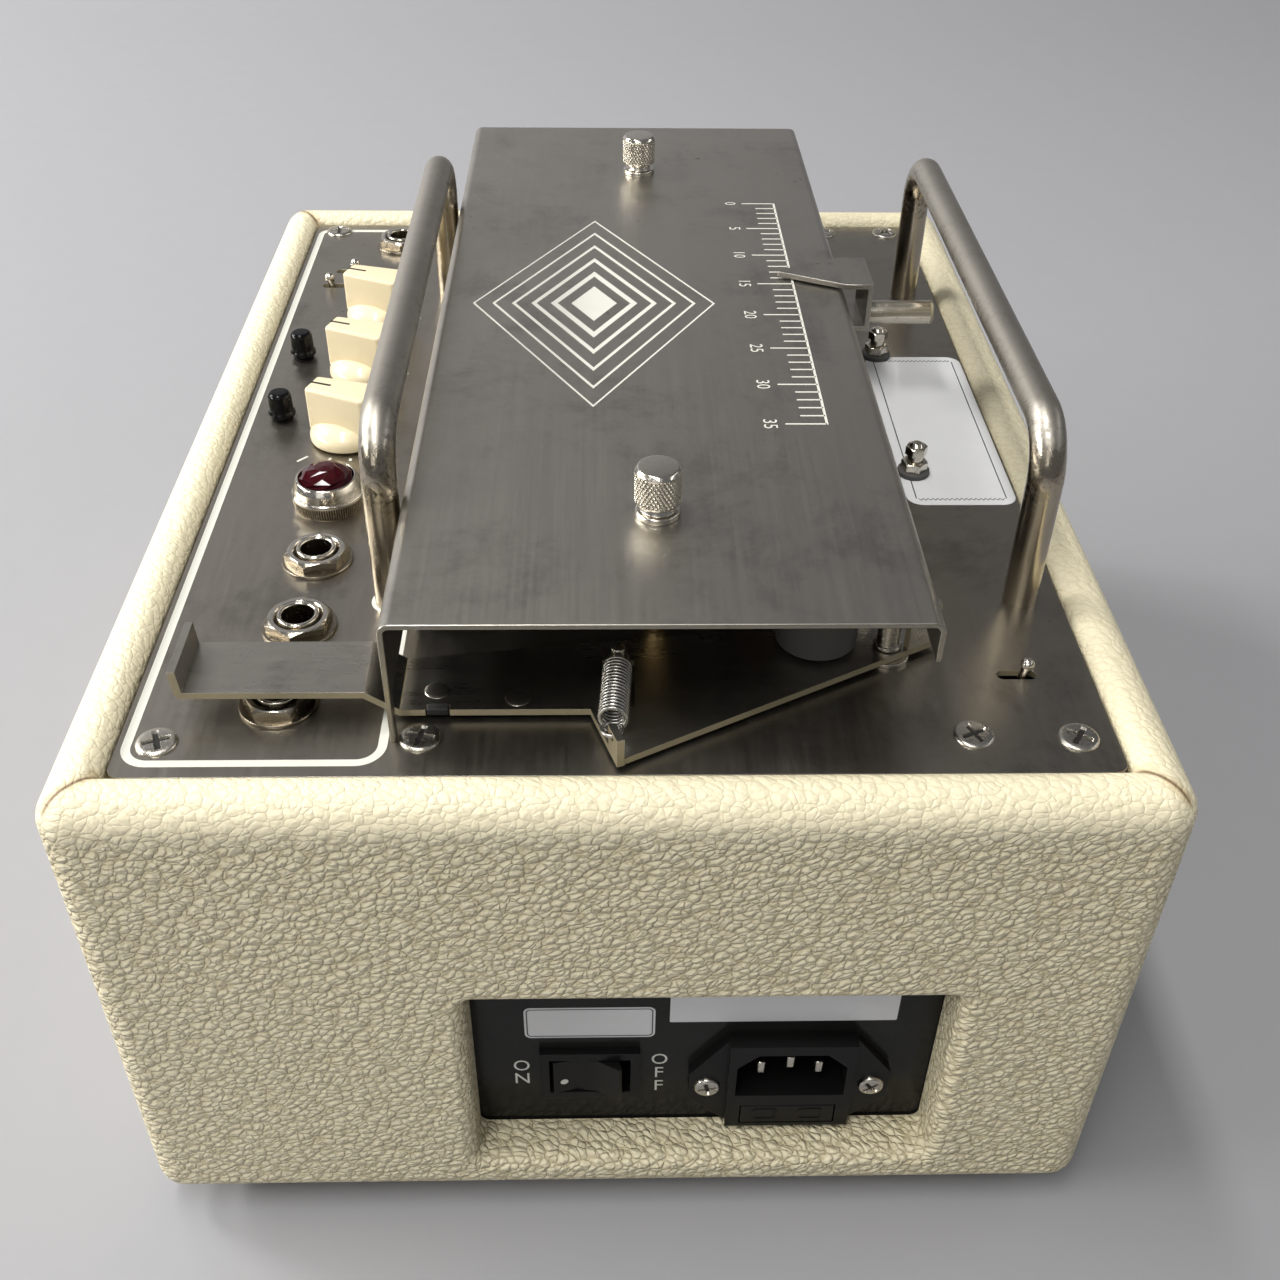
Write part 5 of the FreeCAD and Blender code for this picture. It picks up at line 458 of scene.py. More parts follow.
def merged(node, keep=None):
    """A copy of a node's loose triangles, merged, its flat areas joined into single faces.
    keep says, from the points in millimetres, which of them stay."""
    source = frame["nodes"][node].data
    points = np.empty(len(source.vertices) * 3)
    source.vertices.foreach_get("co", points)
    corners = np.empty(len(source.loops), int)
    source.loops.foreach_get("vertex_index", corners)
    points, corners = points.reshape(-1, 3), corners.reshape(-1, 3)
    if keep is not None:
        corners = corners[keep(points / METRES)[corners].any(1)]
    mesh = bpy.data.meshes.new(node)
    mesh.from_pydata(points.tolist(), [], corners.tolist())
    shell = bmesh.new()
    shell.from_mesh(mesh)
    bmesh.ops.remove_doubles(shell, verts=shell.verts, dist=WELD)
    bmesh.ops.delete(shell, geom=[v for v in shell.verts if not v.link_faces], context="VERTS")
    bmesh.ops.holes_fill(shell, edges=[e for e in shell.edges if e.is_boundary], sides=0)
    bmesh.ops.dissolve_limit(shell, angle_limit=math.radians(0.5), verts=shell.verts,
                             edges=shell.edges)
    bmesh.ops.recalc_face_normals(shell, faces=shell.faces)
    shell.to_mesh(mesh)
    shell.free()
    return mesh


def parted(mesh, height):
    """Splits the faces that cross a height."""
    shell = bmesh.new()
    shell.from_mesh(mesh)
    bmesh.ops.bisect_plane(shell, geom=shell.verts[:] + shell.edges[:] + shell.faces[:],
                           dist=SLIVER, plane_co=(0, 0, height * METRES), plane_no=(0, 0, 1))
    shell.to_mesh(mesh)
    shell.free()


def narrow_faces(mesh, narrower_than):
    """Which faces are narrow: twice their area over the length round them is the measure."""
    area = np.array([face.area for face in mesh.polygons]) / METRES ** 2
    points = mesh.vertices
    around = np.array([sum((points[a].co - points[b].co).length for a, b in face.edge_keys)
                       for face in mesh.polygons]) / METRES
    return 2 * area / np.maximum(around, 1e-6) < narrower_than


def eased_copy(name, node, body, finishes, round_by, steps=2, cut_edge=0.0, wanted=None, keep=None,
               parting=None):
    """A merged copy of a node with its sharp edges rounded. Faces narrower than cut_edge, where
    wanted says so from their normals, take the second finish, as a sheet's sheared edges do.
    Faces that cross the height of the parting are first split there."""
    mesh = merged(node, keep)
    if parting is not None:
        parted(mesh, parting)
    if cut_edge:
        normal = np.array([face.normal for face in mesh.polygons])
        edges = narrow_faces(mesh, cut_edge) & wanted(normal)
        mesh.polygons.foreach_set("material_index", edges.astype(int))
    piece = stand(name, mesh, body, finishes, (node,), 30)
    rounding = piece.modifiers.new("rounded_edges", "BEVEL")
    rounding.width, rounding.segments = round_by * METRES, steps
    rounding.limit_method, rounding.angle_limit = "ANGLE", math.radians(30)
    even_light(piece)
    return piece


def even_light(piece):
    """Keeps a piece's flat faces evenly lit up to their rounded edges."""
    even = piece.modifiers.new("even_light", "WEIGHTED_NORMAL")
    even.keep_sharp, even.weight = True, 60


# ---- finishes -----------------------------------------------------------------------------


class Varying:
    """A number, colour or place that changes over a surface: one socket of a finish's nodes."""

    def __init__(self, finish, socket):
        self.finish, self.socket = finish, socket

    def __add__(self, other):
        return self.finish.math("ADD", self, other)

    def __radd__(self, other):
        return self.finish.math("ADD", other, self)

    def __sub__(self, other):
        return self.finish.math("SUBTRACT", self, other)

    def __rsub__(self, other):
        return self.finish.math("SUBTRACT", other, self)

    def __mul__(self, other):
        return self.finish.math("MULTIPLY", self, other)

    def __rmul__(self, other):
        return self.finish.math("MULTIPLY", other, self)

    def __abs__(self):
        return self.finish.math("ABSOLUTE", self, 0.0)


class Finish:
    """One material. Plain numbers go straight to the shader's sockets, varying ones are linked."""

    def __init__(self, name, **constants):
        self.material = bpy.data.materials.new(name)
        self.material.use_nodes = True
        self.tree = self.material.node_tree
        self.shader = self.tree.nodes["Principled BSDF"]
        for socket, value in constants.items():
            self.shader.inputs[socket.replace("_", " ")].default_value = value
        self.place = self.node("ShaderNodeTexCoord", {}, {}, "Object")

    def node(self, kind, settings, inputs, output=0):
        """Makes a node: its type, then its settings, then its sockets' values and links."""
        made = self.tree.nodes.new(kind)
        for name, value in settings.items():
            setattr(made, name, value)
        for name, value in inputs.items():
            if isinstance(value, Varying):
                self.tree.links.new(value.socket, made.inputs[name])
            else:
                made.inputs[name].default_value = value
        return Varying(self, made.outputs[output])

    def math(self, operation, first, second):
        return self.node("ShaderNodeMath", {"operation": operation}, {0: first, 1: second})

    def vector(self, operation, first, second):
        output = "Value" if operation == "DOT_PRODUCT" else "Vector"
        return self.node("ShaderNodeVectorMath", {"operation": operation},
                         {0: first, 1: second}, output)

    def mix(self, factor, first, second):
        return self.node("ShaderNodeMix", {"data_type": "RGBA"},
                         {0: factor, 6: first, 7: second}, 2)

    def ramp(self, value, low, high, to_low=0.0, to_high=1.0):
        """A smooth step from to_low at low to to_high at high."""
        return self.node("ShaderNodeMapRange", {"interpolation_type": "SMOOTHSTEP"},
                         {"Value": value, "From Min": low, "From Max": high,
                          "To Min": to_low, "To Max": to_high})

    def stretched(self, x, y, z):
        return self.vector("MULTIPLY", self.place, (x, y, z))

    def noise(self, scale, detail=3.0, roughness=0.5, place=None, output=0):
        return self.node("ShaderNodeTexNoise", {},
                         {"Vector": place or self.place, "Scale": scale, "Detail": detail,
                          "Roughness": roughness}, output)

    def cells(self, scale, feature="DISTANCE_TO_EDGE", place=None):
        softness = {"Smoothness": 0.55} if feature == "SMOOTH_F1" else {}
        return self.node("ShaderNodeTexVoronoi", {"feature": feature},
                         {"Vector": place or self.place, "Scale": scale, **softness})

    def axis(self, name):
        return self.node("ShaderNodeSeparateXYZ", {}, {0: self.place}, name)

    def warped(self, scale, by):
        """The place, moved by up to half of by in each direction as a soft noise says."""
        drift = self.vector("SUBTRACT", self.noise(scale, 2.0, output=1), (0.5, 0.5, 0.5))
        return self.vector("ADD", self.place, self.vector("MULTIPLY", drift, (by, by, by)))

    def use(self, **varying):
        for socket, value in varying.items():
            self.tree.links.new(value.socket, self.shader.inputs[socket.replace("_", " ")])

    def relief(self, height, depth):
        """Raises the surface by height times depth, in metres, in its shading only."""
        bump = self.node("ShaderNodeBump", {},
                         {"Strength": 1.0, "Distance": depth, "Height": height})
        self.tree.links.new(bump.socket, self.shader.inputs["Normal"])


GLUE_STAIN = (0.42, 0.27, 0.10, 1.0)
SEAM_LINE = (0.16, 0.10, 0.05, 1.0)
DARKER_INSIDE = (0.24, 0.19, 0.12, 1.0)
DARK_SPECK = (0.05, 0.04, 0.03, 1.0)
PITTING = (0.07, 0.06, 0.045, 1.0)
GRAIN_DEPTH = 0.00115
PLATING_DEPTH = 0.00002


def covering_finish(name):
    """Cream vinyl with a wrinkled leather grain. The place is squeezed along a slanting direction,
    so the grain is longer that way. Domes of two sizes stand on it, each falling with the distance
    to the nearest cell's centre, and thin creases run along the wider cells' borders. The grain is
    calmer where the covering is stretched over the rim. The mitres at the rim's corners are darker
    lines with old glue stains."""
    skin = Finish(name, Specular_IOR_Level=0.42)
    per_metre = 1000 / size("grain")
    slant, squeeze_by = (0.55, 0.72, 0.38), -0.50
    along = skin.vector("DOT_PRODUCT", skin.place, slant)
    everywhere = skin.node("ShaderNodeCombineXYZ", {}, {0: along, 1: along, 2: along})
    squeeze = skin.vector("MULTIPLY", everywhere, tuple(part * squeeze_by for part in slant))
    drifting = skin.vector("ADD", skin.warped(per_metre * 0.32, 0.0020), squeeze)
    wide = skin.cells(per_metre * 0.75, "F1", drifting)
    border = skin.cells(per_metre * 0.75, "DISTANCE_TO_EDGE", drifting)
    crease = skin.ramp(border, 0.0, 0.13)
    narrow = skin.cells(per_metre * 1.6, "SMOOTH_F1", drifting)
    pores = skin.noise(per_metre * 3.2, 2.0)
    x, y, z = abs(skin.axis("X")), abs(skin.axis("Y")), skin.axis("Z")

    def between(value, low, high, to_low=0.0, to_high=1.0):
        """A smooth step between two places in millimetres."""
        return skin.ramp(value, low * METRES, high * METRES, to_low, to_high)

    stretched = between(z, RIM - 12.0, RIM - 4.0)
    grain = wide * -0.85 + crease * 0.16 - narrow * 0.36 + pores * 0.08
    skin.relief(grain * (1.0 - stretched * 0.74), GRAIN_DEPTH)
    # painted shade and highlight: the crease colour darkens the creases and the hollows between the
    # pebbles, and the pebbles' tops stay lighter; less of it where the covering is stretched over
    # the rim
    high = skin.ramp(wide, 0.75, 0.25)
    tone = skin.mix(high * 0.5 + crease * 0.5 + stretched * 0.6, colour("crease"),
                    colour("covering"))
    cloud = skin.ramp(skin.noise(9.0, 4.0, 0.6), 0.40, 0.75)
    tone = skin.mix(cloud * 0.14, tone, colour("covering", 0.84))
    mitre = abs((HALF_LENGTH * METRES - x) - (HALF_DEPTH * METRES - y))
    reach = HALF_LENGTH + HALF_DEPTH
    on_rim = between(z, RIM - 5.0, RIM - 1.2) * between(x + y, reach - 34, reach - 22)
    line = skin.ramp(mitre, 0.0009, 0.0002) * on_rim
    stain = skin.ramp(mitre + skin.noise(260.0, 3.0) * 0.006, 0.0062, 0.0028) * on_rim
    # the covering is coloured darker and browner inward of the walls' inner faces
    inner = between(x, HALF_LENGTH - 14, HALF_LENGTH - 11, 1.0, 0.0)
    inner = inner * between(y, HALF_DEPTH - 14, HALF_DEPTH - 11, 1.0, 0.0)
    tone = skin.mix(stain * 0.55, tone, GLUE_STAIN)
    tone = skin.mix(line * 0.85, tone, SEAM_LINE)
    tone = skin.mix(inner * 0.45, tone, DARKER_INSIDE)
    skin.use(Base_Color=tone, Roughness=0.58 - high * 0.14 + pores * 0.06)
    return skin.material


def brushed_finish(name, tone_name, stretch, rough, hair_depth=1.0):
    """Brushed metal: hair lines, a noise stretched along the brushing; cloudy smudges and small
    dark specks that are also duller."""
    metal = Finish(name, Metallic=1.0)
    hair = metal.noise(1.0, 3.0, 0.6, metal.stretched(*stretch))
    cloud = metal.ramp(metal.noise(16.0, 6.0, 0.62, metal.warped(7.0, 0.05)), 0.38, 0.72)
    smear = metal.ramp(metal.noise(46.0, 5.0, 0.7, metal.warped(19.0, 0.03)), 0.46, 0.74)
    specks = metal.ramp(metal.cells(130.0, "F1", metal.warped(60.0, 0.02)), 0.10, 0.04)
    specks = specks * metal.ramp(metal.noise(23.0, 2.0), 0.52, 0.66)
    stain = metal.ramp(metal.noise(31.0, 6.0, 0.72, metal.warped(11.0, 0.05)), 0.49, 0.68)
    tone = metal.mix(cloud * 0.75, colour(tone_name), colour(tone_name, 0.76))
    tone = metal.mix(smear * 0.40, tone, colour(tone_name, 0.66))
    tone = metal.mix(stain * 0.62, tone, colour(tone_name, 0.5))
    tone = metal.mix(specks * 0.75, tone, DARK_SPECK)
    tone = metal.mix(hair * 0.30, tone, colour(tone_name, 1.25))
    rough = rough + hair * 0.10 + cloud * 0.07 + smear * 0.05 + specks * 0.2
    metal.use(Base_Color=tone, Roughness=rough)
    metal.relief(hair + specks * -0.8, 0.000016 * hair_depth)
    return metal.material


def worn_freckles(metal):
    """Small dull freckles where a plating has worn."""
    return metal.ramp(metal.noise(900.0, 5.0, 0.7, metal.warped(300.0, 0.002)), 0.50, 0.75)


def bright_finish(name, tone, rough=0.15, mottle=0.5):
    """Plated metal: bright, with freckles and a faint cloud in its gloss."""
    metal, tone = Finish(name, Metallic=1.0), tone_of(tone)
    freckles = worn_freckles(metal)
    cloud = metal.ramp(metal.noise(120.0, 3.0), 0.40, 0.70)
    metal.use(Base_Color=metal.mix(freckles * mottle, tone, shaded(tone, 0.55)),
              Roughness=rough + freckles * 0.22 * mottle + cloud * 0.09)
    metal.relief(freckles * -1.0 + cloud * 0.4, PLATING_DEPTH)
    return metal.material


def fitting_finish(name):
    """Plated fittings of the panel: bright on top, duller down to the deck, where their sides carry
    painted shade: a darker, browner tone standing for the dark surroundings that they reflect.
    """
    metal = Finish(name, Metallic=1.0)
    freckles = worn_freckles(metal)
    # painted shade: below the fittings' tops the colour is darkened and browned, standing for the
    # dark surroundings that their sides reflect
    low = metal.ramp(metal.axis("Z"), (DECK + 3.38) * METRES, (DECK + 3.05) * METRES)
    painted_shade_by = (0.46, 0.43, 0.38, 1.0)
    painted_shade_tone = tuple(part * shade for part, shade in zip(colour("nickel"), painted_shade_by))
    tone = metal.mix(low, colour("nickel", 0.92), painted_shade_tone)
    tone = metal.mix(freckles * 0.5, tone, colour("nickel", 0.35))
    metal.use(Base_Color=tone, Roughness=0.15 + low * 0.06 + freckles * 0.11)
    metal.relief(freckles * -1.0, PLATING_DEPTH)
    return metal.material


def handle_finish(name):
    """Nickel bar: satin and finger-worn along its top run, bright at the bends with dark pitting
    on their outer side, and a warmer tone down the legs."""
    metal = Finish(name, Metallic=1.0)
    z, top = metal.axis("Z"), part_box("front_handle")[HIGHEST][Z]
    run = metal.ramp(z, top - 0.0085, top - 0.0045)
    bend = metal.ramp(z, top - 0.0240, top - 0.0160) * metal.ramp(z, top - 0.0005, top - 0.0055)
    hair = metal.noise(1.0, 3.0, 0.6, metal.stretched(900.0, 60.0, 60.0))
    pits = metal.ramp(metal.noise(640.0, 6.0, 0.75, metal.warped(160.0, 0.004)), 0.45, 0.62)
    worn = metal.ramp(metal.noise(38.0, 5.0, 0.65), 0.38, 0.70)
    spread = metal.ramp(metal.noise(85.0, 3.0), 0.40, 0.62)
    tone = metal.mix(run, colour("brass", 0.62), colour("handle", 0.90))
    tone = metal.mix(0.62, tone, colour("handle"))
    tone = metal.mix(worn * 0.5, tone, colour("handle", 0.68))
    tone = metal.mix(pits * spread * (bend * 0.85 + 0.14), tone, PITTING)
    rough = 0.17 + run * 0.20 + worn * 0.07 + hair * 0.05 - bend * 0.07 + pits * bend * 0.2
    metal.use(Base_Color=tone, Roughness=rough)
    metal.relief(hair * 0.3 + pits * bend * -0.3, 0.00003)
    return metal.material


def moulded_finish(name, tone, second, rough, scale, depth, coat=0.0, gleam=0.4):
    """Moulded or coated stuff: a fine texture in its relief and gloss, and a slow drift from one
    tone to a second."""
    stuff = Finish(name, Coat_Weight=coat, Coat_Roughness=0.08, Specular_IOR_Level=gleam)
    tone, second = tone_of(tone), tone_of(second)
    drift = stuff.ramp(stuff.noise(30.0, 4.0, 0.6), 0.35, 0.75)
    texture = stuff.noise(scale, 3.0, 0.6)
    dust = stuff.ramp(stuff.noise(scale * 0.37, 5.0, 0.75), 0.58, 0.78)
    tone = stuff.mix(drift * 0.7, tone, second)
    stuff.use(Base_Color=stuff.mix(dust * 0.25, tone, second),
              Roughness=rough + texture * 0.10 + dust * 0.12)
    stuff.relief(texture, depth)
    return stuff.material


def metal_finish(name, tone, rough, scale, depth):
    """Plain worked metal: fine tool marks and a slow change of tone."""
    metal, tone = Finish(name, Metallic=1.0), tone_of(tone)
    marks = metal.noise(scale, 4.0, 0.65)
    drift = metal.ramp(metal.noise(26.0, 4.0), 0.35, 0.72)
    metal.use(Base_Color=metal.mix(drift * 0.6 + marks * 0.2, tone, shaded(tone, 0.62)),
              Roughness=rough + marks * 0.14 + drift * 0.06)
    metal.relief(marks, depth)
    return metal.material


def jewel_finish(name):
    """Deep red cut glass: darker towards its seat, under a clear gloss."""
    glass = Finish(name, Coat_Weight=0.15, Coat_Roughness=0.03, IOR=1.45)
    depth = glass.ramp(glass.axis("Z"), (DECK + 5.0) * METRES, (DECK + 11.0) * METRES)
    swirl = glass.noise(420.0, 2.0)
    tone = glass.mix(depth * 0.7 + swirl * 0.3, colour("jewel", 0.30), colour("jewel"))
    glass.use(Base_Color=tone, Roughness=0.04 + swirl * 0.03)
    return glass.material


def valve_finish(name):
    """Thin clear glass over grey plates, with a silvered top."""
    glass = Finish(name, Coat_Weight=1.0, IOR=1.5)
    dark_plate, light_plate = (0.10, 0.10, 0.10, 1.0), (0.30, 0.29, 0.27, 1.0)
    silvering = (0.70, 0.70, 0.70, 1.0)
    silver = glass.ramp(glass.axis("Z"), 0.070, 0.076)
    bands = glass.noise(1.0, 2.0, 0.5, glass.stretched(60.0, 60.0, 900.0))
    tone = glass.mix(silver, glass.mix(bands, dark_plate, light_plate), silvering)
    glass.use(Base_Color=tone, Metallic=silver * 0.9, Roughness=0.06 + bands * 0.05)
    return glass.material


FINISHES = {
    "cream_covering": (covering_finish,),
    "handle_nickel": (handle_finish,),
    "panel_nickel": (fitting_finish,),
    "red_jewel": (jewel_finish,),
    "valve_glass": (valve_finish,),
    # brushed: colour, how the place is stretched for the hair lines, roughness, their depth
    "deck_steel": (brushed_finish, "deck", (60.0, 700.0, 60.0), 0.26),
    "cover_steel": (brushed_finish, "cover", (26.0, 900.0, 900.0), 0.27, 1.4),
    "lever_steel": (brushed_finish, "cover", (700.0, 60.0, 60.0), 0.22),
    # plated: tone, roughness, strength of the freckles
    "nickel": (bright_finish, "nickel"),
    "screw_nickel": (bright_finish, (0.56, 0.53, 0.47), 0.25, 0.5),
    "cover_edge": (bright_finish, (0.27, 0.25, 0.21), 0.30, 0.5),
    "plated_steel": (bright_finish, ("nickel", 0.86), 0.22, 0.5),
    "spring_steel": (bright_finish, (0.50, 0.49, 0.46), 0.30, 0.4),
    "brass": (bright_finish, "brass", 0.20, 0.5),
    "head_metal": (bright_finish, (0.60, 0.59, 0.57), 0.24, 0.3),
    # worked: tone, roughness, scale and depth of the tool marks
    "aluminium": (metal_finish, (0.62, 0.62, 0.61), 0.30, 700.0, 0.00002),
    "flywheel_metal": (metal_finish, (0.55, 0.54, 0.52), 0.26, 900.0, 0.00002),
    "core_iron": (metal_finish, (0.16, 0.15, 0.14), 0.42, 1200.0, 0.00006),
    # moulded: two tones, roughness, scale and depth of the texture, coat, gleam
    "cut_edge": (moulded_finish, (0.32, 0.275, 0.175), (0.17, 0.145, 0.09), 0.30, 1500.0, 0.00002,
                 0, 0.6),
    "base_board": (moulded_finish, (0.30, 0.24, 0.16), (0.20, 0.15, 0.10), 0.62, 500.0, 0.0001),
    "black_rubber": (moulded_finish, (0.016, 0.016, 0.016), (0.03, 0.029, 0.028), 0.62, 900.0,
                     0.00006),
    "grey_rubber": (moulded_finish, (0.07, 0.07, 0.068), (0.10, 0.098, 0.092), 0.6, 900.0, 0.00005),
    "black_enamel": (moulded_finish, "enamel", ("enamel", 1.5), 0.14, 1400.0, 0.00001, 0, 0.18),
    "cream_plastic": (moulded_finish, "knob", ("knob", 0.93), 0.24, 1500.0, 0.000008, 0.25),
    "black_gloss": (moulded_finish, (0.004, 0.004, 0.005), (0.005, 0.005, 0.005), 0.12, 1200.0,
                    0.00001, 0, 0.16),
    "black_plastic": (moulded_finish, (0.006, 0.006, 0.006), (0.010, 0.010, 0.010), 0.26, 1500.0,
                      0.000006, 0, 0.17),
    "dark_cartridge": (moulded_finish, (0.055, 0.054, 0.050), (0.085, 0.083, 0.078), 0.40, 900.0,
                       0.00003),
    "brown_tape": (moulded_finish, (0.085, 0.040, 0.022), (0.055, 0.026, 0.016), 0.28, 1800.0,
                   0.00002),
    "motor_enamel": (moulded_finish, (0.05, 0.052, 0.055), (0.08, 0.08, 0.082), 0.38, 1200.0,
                     0.00004),
    "board_laminate": (moulded_finish, (0.14, 0.20, 0.07), (0.24, 0.19, 0.08), 0.45, 600.0,
                       0.00003),
    "print": (moulded_finish, "print", ("print", 0.90), 0.42, 1400.0, 0.00001),
    "white_label": (moulded_finish, (0.72, 0.725, 0.73), (0.64, 0.64, 0.63), 0.30, 900.0, 0.00001,
                    0.2),
    "label_line": (moulded_finish, (0.03, 0.035, 0.05), (0.06, 0.06, 0.07), 0.4, 900.0, 0.00001),
    # dark_line also colours the painted shade in the screws' cross recesses
    "dark_line": (moulded_finish, (0.012, 0.011, 0.010), (0.03, 0.028, 0.025), 0.4, 900.0, 0.00001),
}


def tone_of(tone):
    """A tone given as its parts, as a colour of the user's list, or as that and a shade."""
    if isinstance(tone, str):
        return colour(tone)
    return colour(*tone) if isinstance(tone[0], str) else tone + (1.0,)


def finish(name):
    """The material of that name, made the first time that it is asked for."""
    maker, *values = FINISHES[name]
    return bpy.data.materials.get(name + "_finish") or maker(name + "_finish", *values)


# ---- pieces -------------------------------------------------------------------------------

# places on the deck and the panel, in millimetres
CORNER_SCREWS = ((127.3, -94.5), (127.3, 94.5), (-131.9, -94.5), (-131.9, 94.5))
FLANGE_SCREWS = ((126.3, -41.2), (126.3, 72.9), (-131.9, -41.2), (-131.9, 72.9))
FEET = ((126, 91), (-126, 91), (-126, -91), (126, -91))
HANDLES_Y = {"front_handle": -52.0, "rear_handle": 93.0}
JACKS_X, JACKS_Y = (115.2, 89.3, 63.4, -120.8), -71.8
JACK_NUTS_TURN = (29, 55, 45, 62)
KNOBS = {"repeats_knob": 6.3, "echo_level_knob": -29.5, "input_level_knob": -65.3}
KNOBS_Y, KNOB_TURN = -72.4, -20.0
TOGGLES = {"input_toggle": (-88.6, -89.3, 11.0), "mode_toggle": (-99.5, -86.5, -11.0),
           "speed_toggle": (107.0, 86.2, -11.0)}
THUMBSCREWS = {"near_thumbscrew": (89.0, 8.0), "far_thumbscrew": (-108.4, 8.0)}
OPENING = (-34.8, 20, 75.2, 82)
CAPSTAN, ROLLER = (84.3, 43.2), (98.0, 43.0)
LEVER_PIVOT, SPRING_POST, SPRING_TAB = (100.0, 58.7), (109.0, -0.5), (131.23, -1.96)
RIVETS = ((114.5, -38.5), (117.0, -21.5))
TAPE_GUIDES = ((84.5, 54.0), (-122.0, 54.0))
MOTOR_SCREWS = tuple((x, y) for x in (-40.7, 24.7) for y in (12.3, 77.7))
# heights over the metal at which print and labels start, and how far their lines stand over them
INK_START, LINE_SINK, LINE_RISE = 0.005, 0.01, 0.02
BOTH_SIDES = (-1, 1)


def printed(base):
    """The lowest and highest level of the print on a face."""
    return base + INK_START, base + size("ink")


def upright(normal):
    """Which faces stand upright."""
    return abs(normal[:, Z]) < 0.3


def not_level(normal):
    """Which faces don't face straight up or down."""
    return abs(normal[:, Z]) < 0.85


def at_an_end(normal):
    """Which faces look straight along the cabinet's length."""
    return abs(normal[:, X]) > 0.9


def towards_an_end(normal):
    """Which faces look at least a little along the cabinet's length."""
    return abs(normal[:, X]) > 0.2


class TapeEchoOperator:
    """What the operators share: each makes one piece or group of like pieces."""

    bl_options = {"REGISTER", "UNDO"}


class TAPE_ECHO_OT_finishes(TapeEchoOperator, bpy.types.Operator):
    """Gives every CAD node the finish of its material slot"""

    bl_idname = "tape_echo.finishes"
    bl_label = "Finishes of the frame"

    def execute(self, context):
        for part in frame["record"]["subparts"]:
            mesh = frame["nodes"][part["node"]].data
            mesh.materials.clear()
            mesh.materials.append(finish(part["material_slot"]))
        return {"FINISHED"}


class TAPE_ECHO_OT_cabinet(TapeEchoOperator, bpy.types.Operator):
    """Covered cabinet walls, with the opening of the mains end and the corner blocks"""

    bl_idname = "tape_echo.cabinet"
    bl_label = "Cabinet"

    def execute(self, context):
        edge, wall = size("edge_round"), 12.0
        section = rounded([(wall, CABINET_LOW), (wall, RIM), (0, RIM), (0, CABINET_LOW)],
                          [0.4, size("rim_round"), edge, size("base_round")], 12)
        walls = Piece("covered_cabinet")
        walls.ring(np.array([
            at_height(rectangle(d - HALF_LENGTH, d - HALF_DEPTH, HALF_LENGTH - d, HALF_DEPTH - d,
                                max(edge - d, 0.6), 12), z) for d, z in section]))
        piece = walls.make("chassis", ["cream_covering"], ["cabinet_walls"])
        cutter = self.opening()
        cut = piece.modifiers.new("mains_opening", "BOOLEAN")
        cut.object, cut.operation, cut.solver = cutter, "DIFFERENCE", "EXACT"
        bpy.context.view_layer.update()
        seen = piece.evaluated_get(bpy.context.evaluated_depsgraph_get())
        shaped = bpy.data.meshes.new_from_object(seen)
        piece.modifiers.clear()
        piece.data = shaped
        bpy.data.objects.remove(cutter)
        tidy(shaped)
        smooth(shaped, 38)
        even_light(piece)
        blocks = Piece("corner_blocks")
        for x in BOTH_SIDES:
            for y in BOTH_SIDES:
                low_x, high_x = sorted((x * 116, x * 137.5))
                low_y, high_y = sorted((y * 89, y * 102.5))
                outline = rectangle(low_x, low_y, high_x, high_y, 0.6, 4)
                blocks.solid(slab(outline, DECK - 17.6, DECK - 1.6, 0.6))
        blocks.make("chassis", ["base_board"])
        return {"FINISHED"}

    def opening(self):
        """The tool that cuts the opening: round-cornered rings that flare out round the lip,
        inset by minus lip (1 - cos t) at lip sin t over the lip's start."""
        lip = size("lip_round")
        low_y, low_z, high_y, high_z = OPENING
        angle = np.radians(np.linspace(0, 80, 12))
        depth = np.concatenate([[HALF_LENGTH - 16, HALF_LENGTH - 13],
                                HALF_LENGTH - lip * (1 - np.sin(angle)), [HALF_LENGTH + 1.5]])
        flare = np.concatenate([[0, 0], lip * (1 - np.cos(angle)),
                                [lip * (1 - np.cos(angle[-1])) + 8.8]])
        tool = Piece("opening_tool")
        tool.solid(facing_near([
            at_height(rectangle(low_y - f, low_z - f, high_y + f, high_z + f, 2.5 + f, 12), x)
            for x, f in zip(depth, flare)]))
        return tool.make("chassis", ["cream_covering"])


class TAPE_ECHO_OT_feet(TapeEchoOperator, bpy.types.Operator):
    """Rubber feet"""

    bl_idname = "tape_echo.feet"
    bl_label = "Feet"

    def execute(self, context):
        feet = Piece("turned_feet")
        section = rounded([(4.6, 0), (10.4, 0), (12, 2.4), (12, 8), (2.1, 8), (2.1, 4), (4.6, 4)],
                          [0.5, 1.0, 2.0, 0.2, 0.1, 0.1, 0.3], 5)
        for x, y in FEET:
            feet.ring(turned(section, x, y, sides=72))
        feet.make("chassis", ["black_rubber"], ["rubber_feet"])
        return {"FINISHED"}


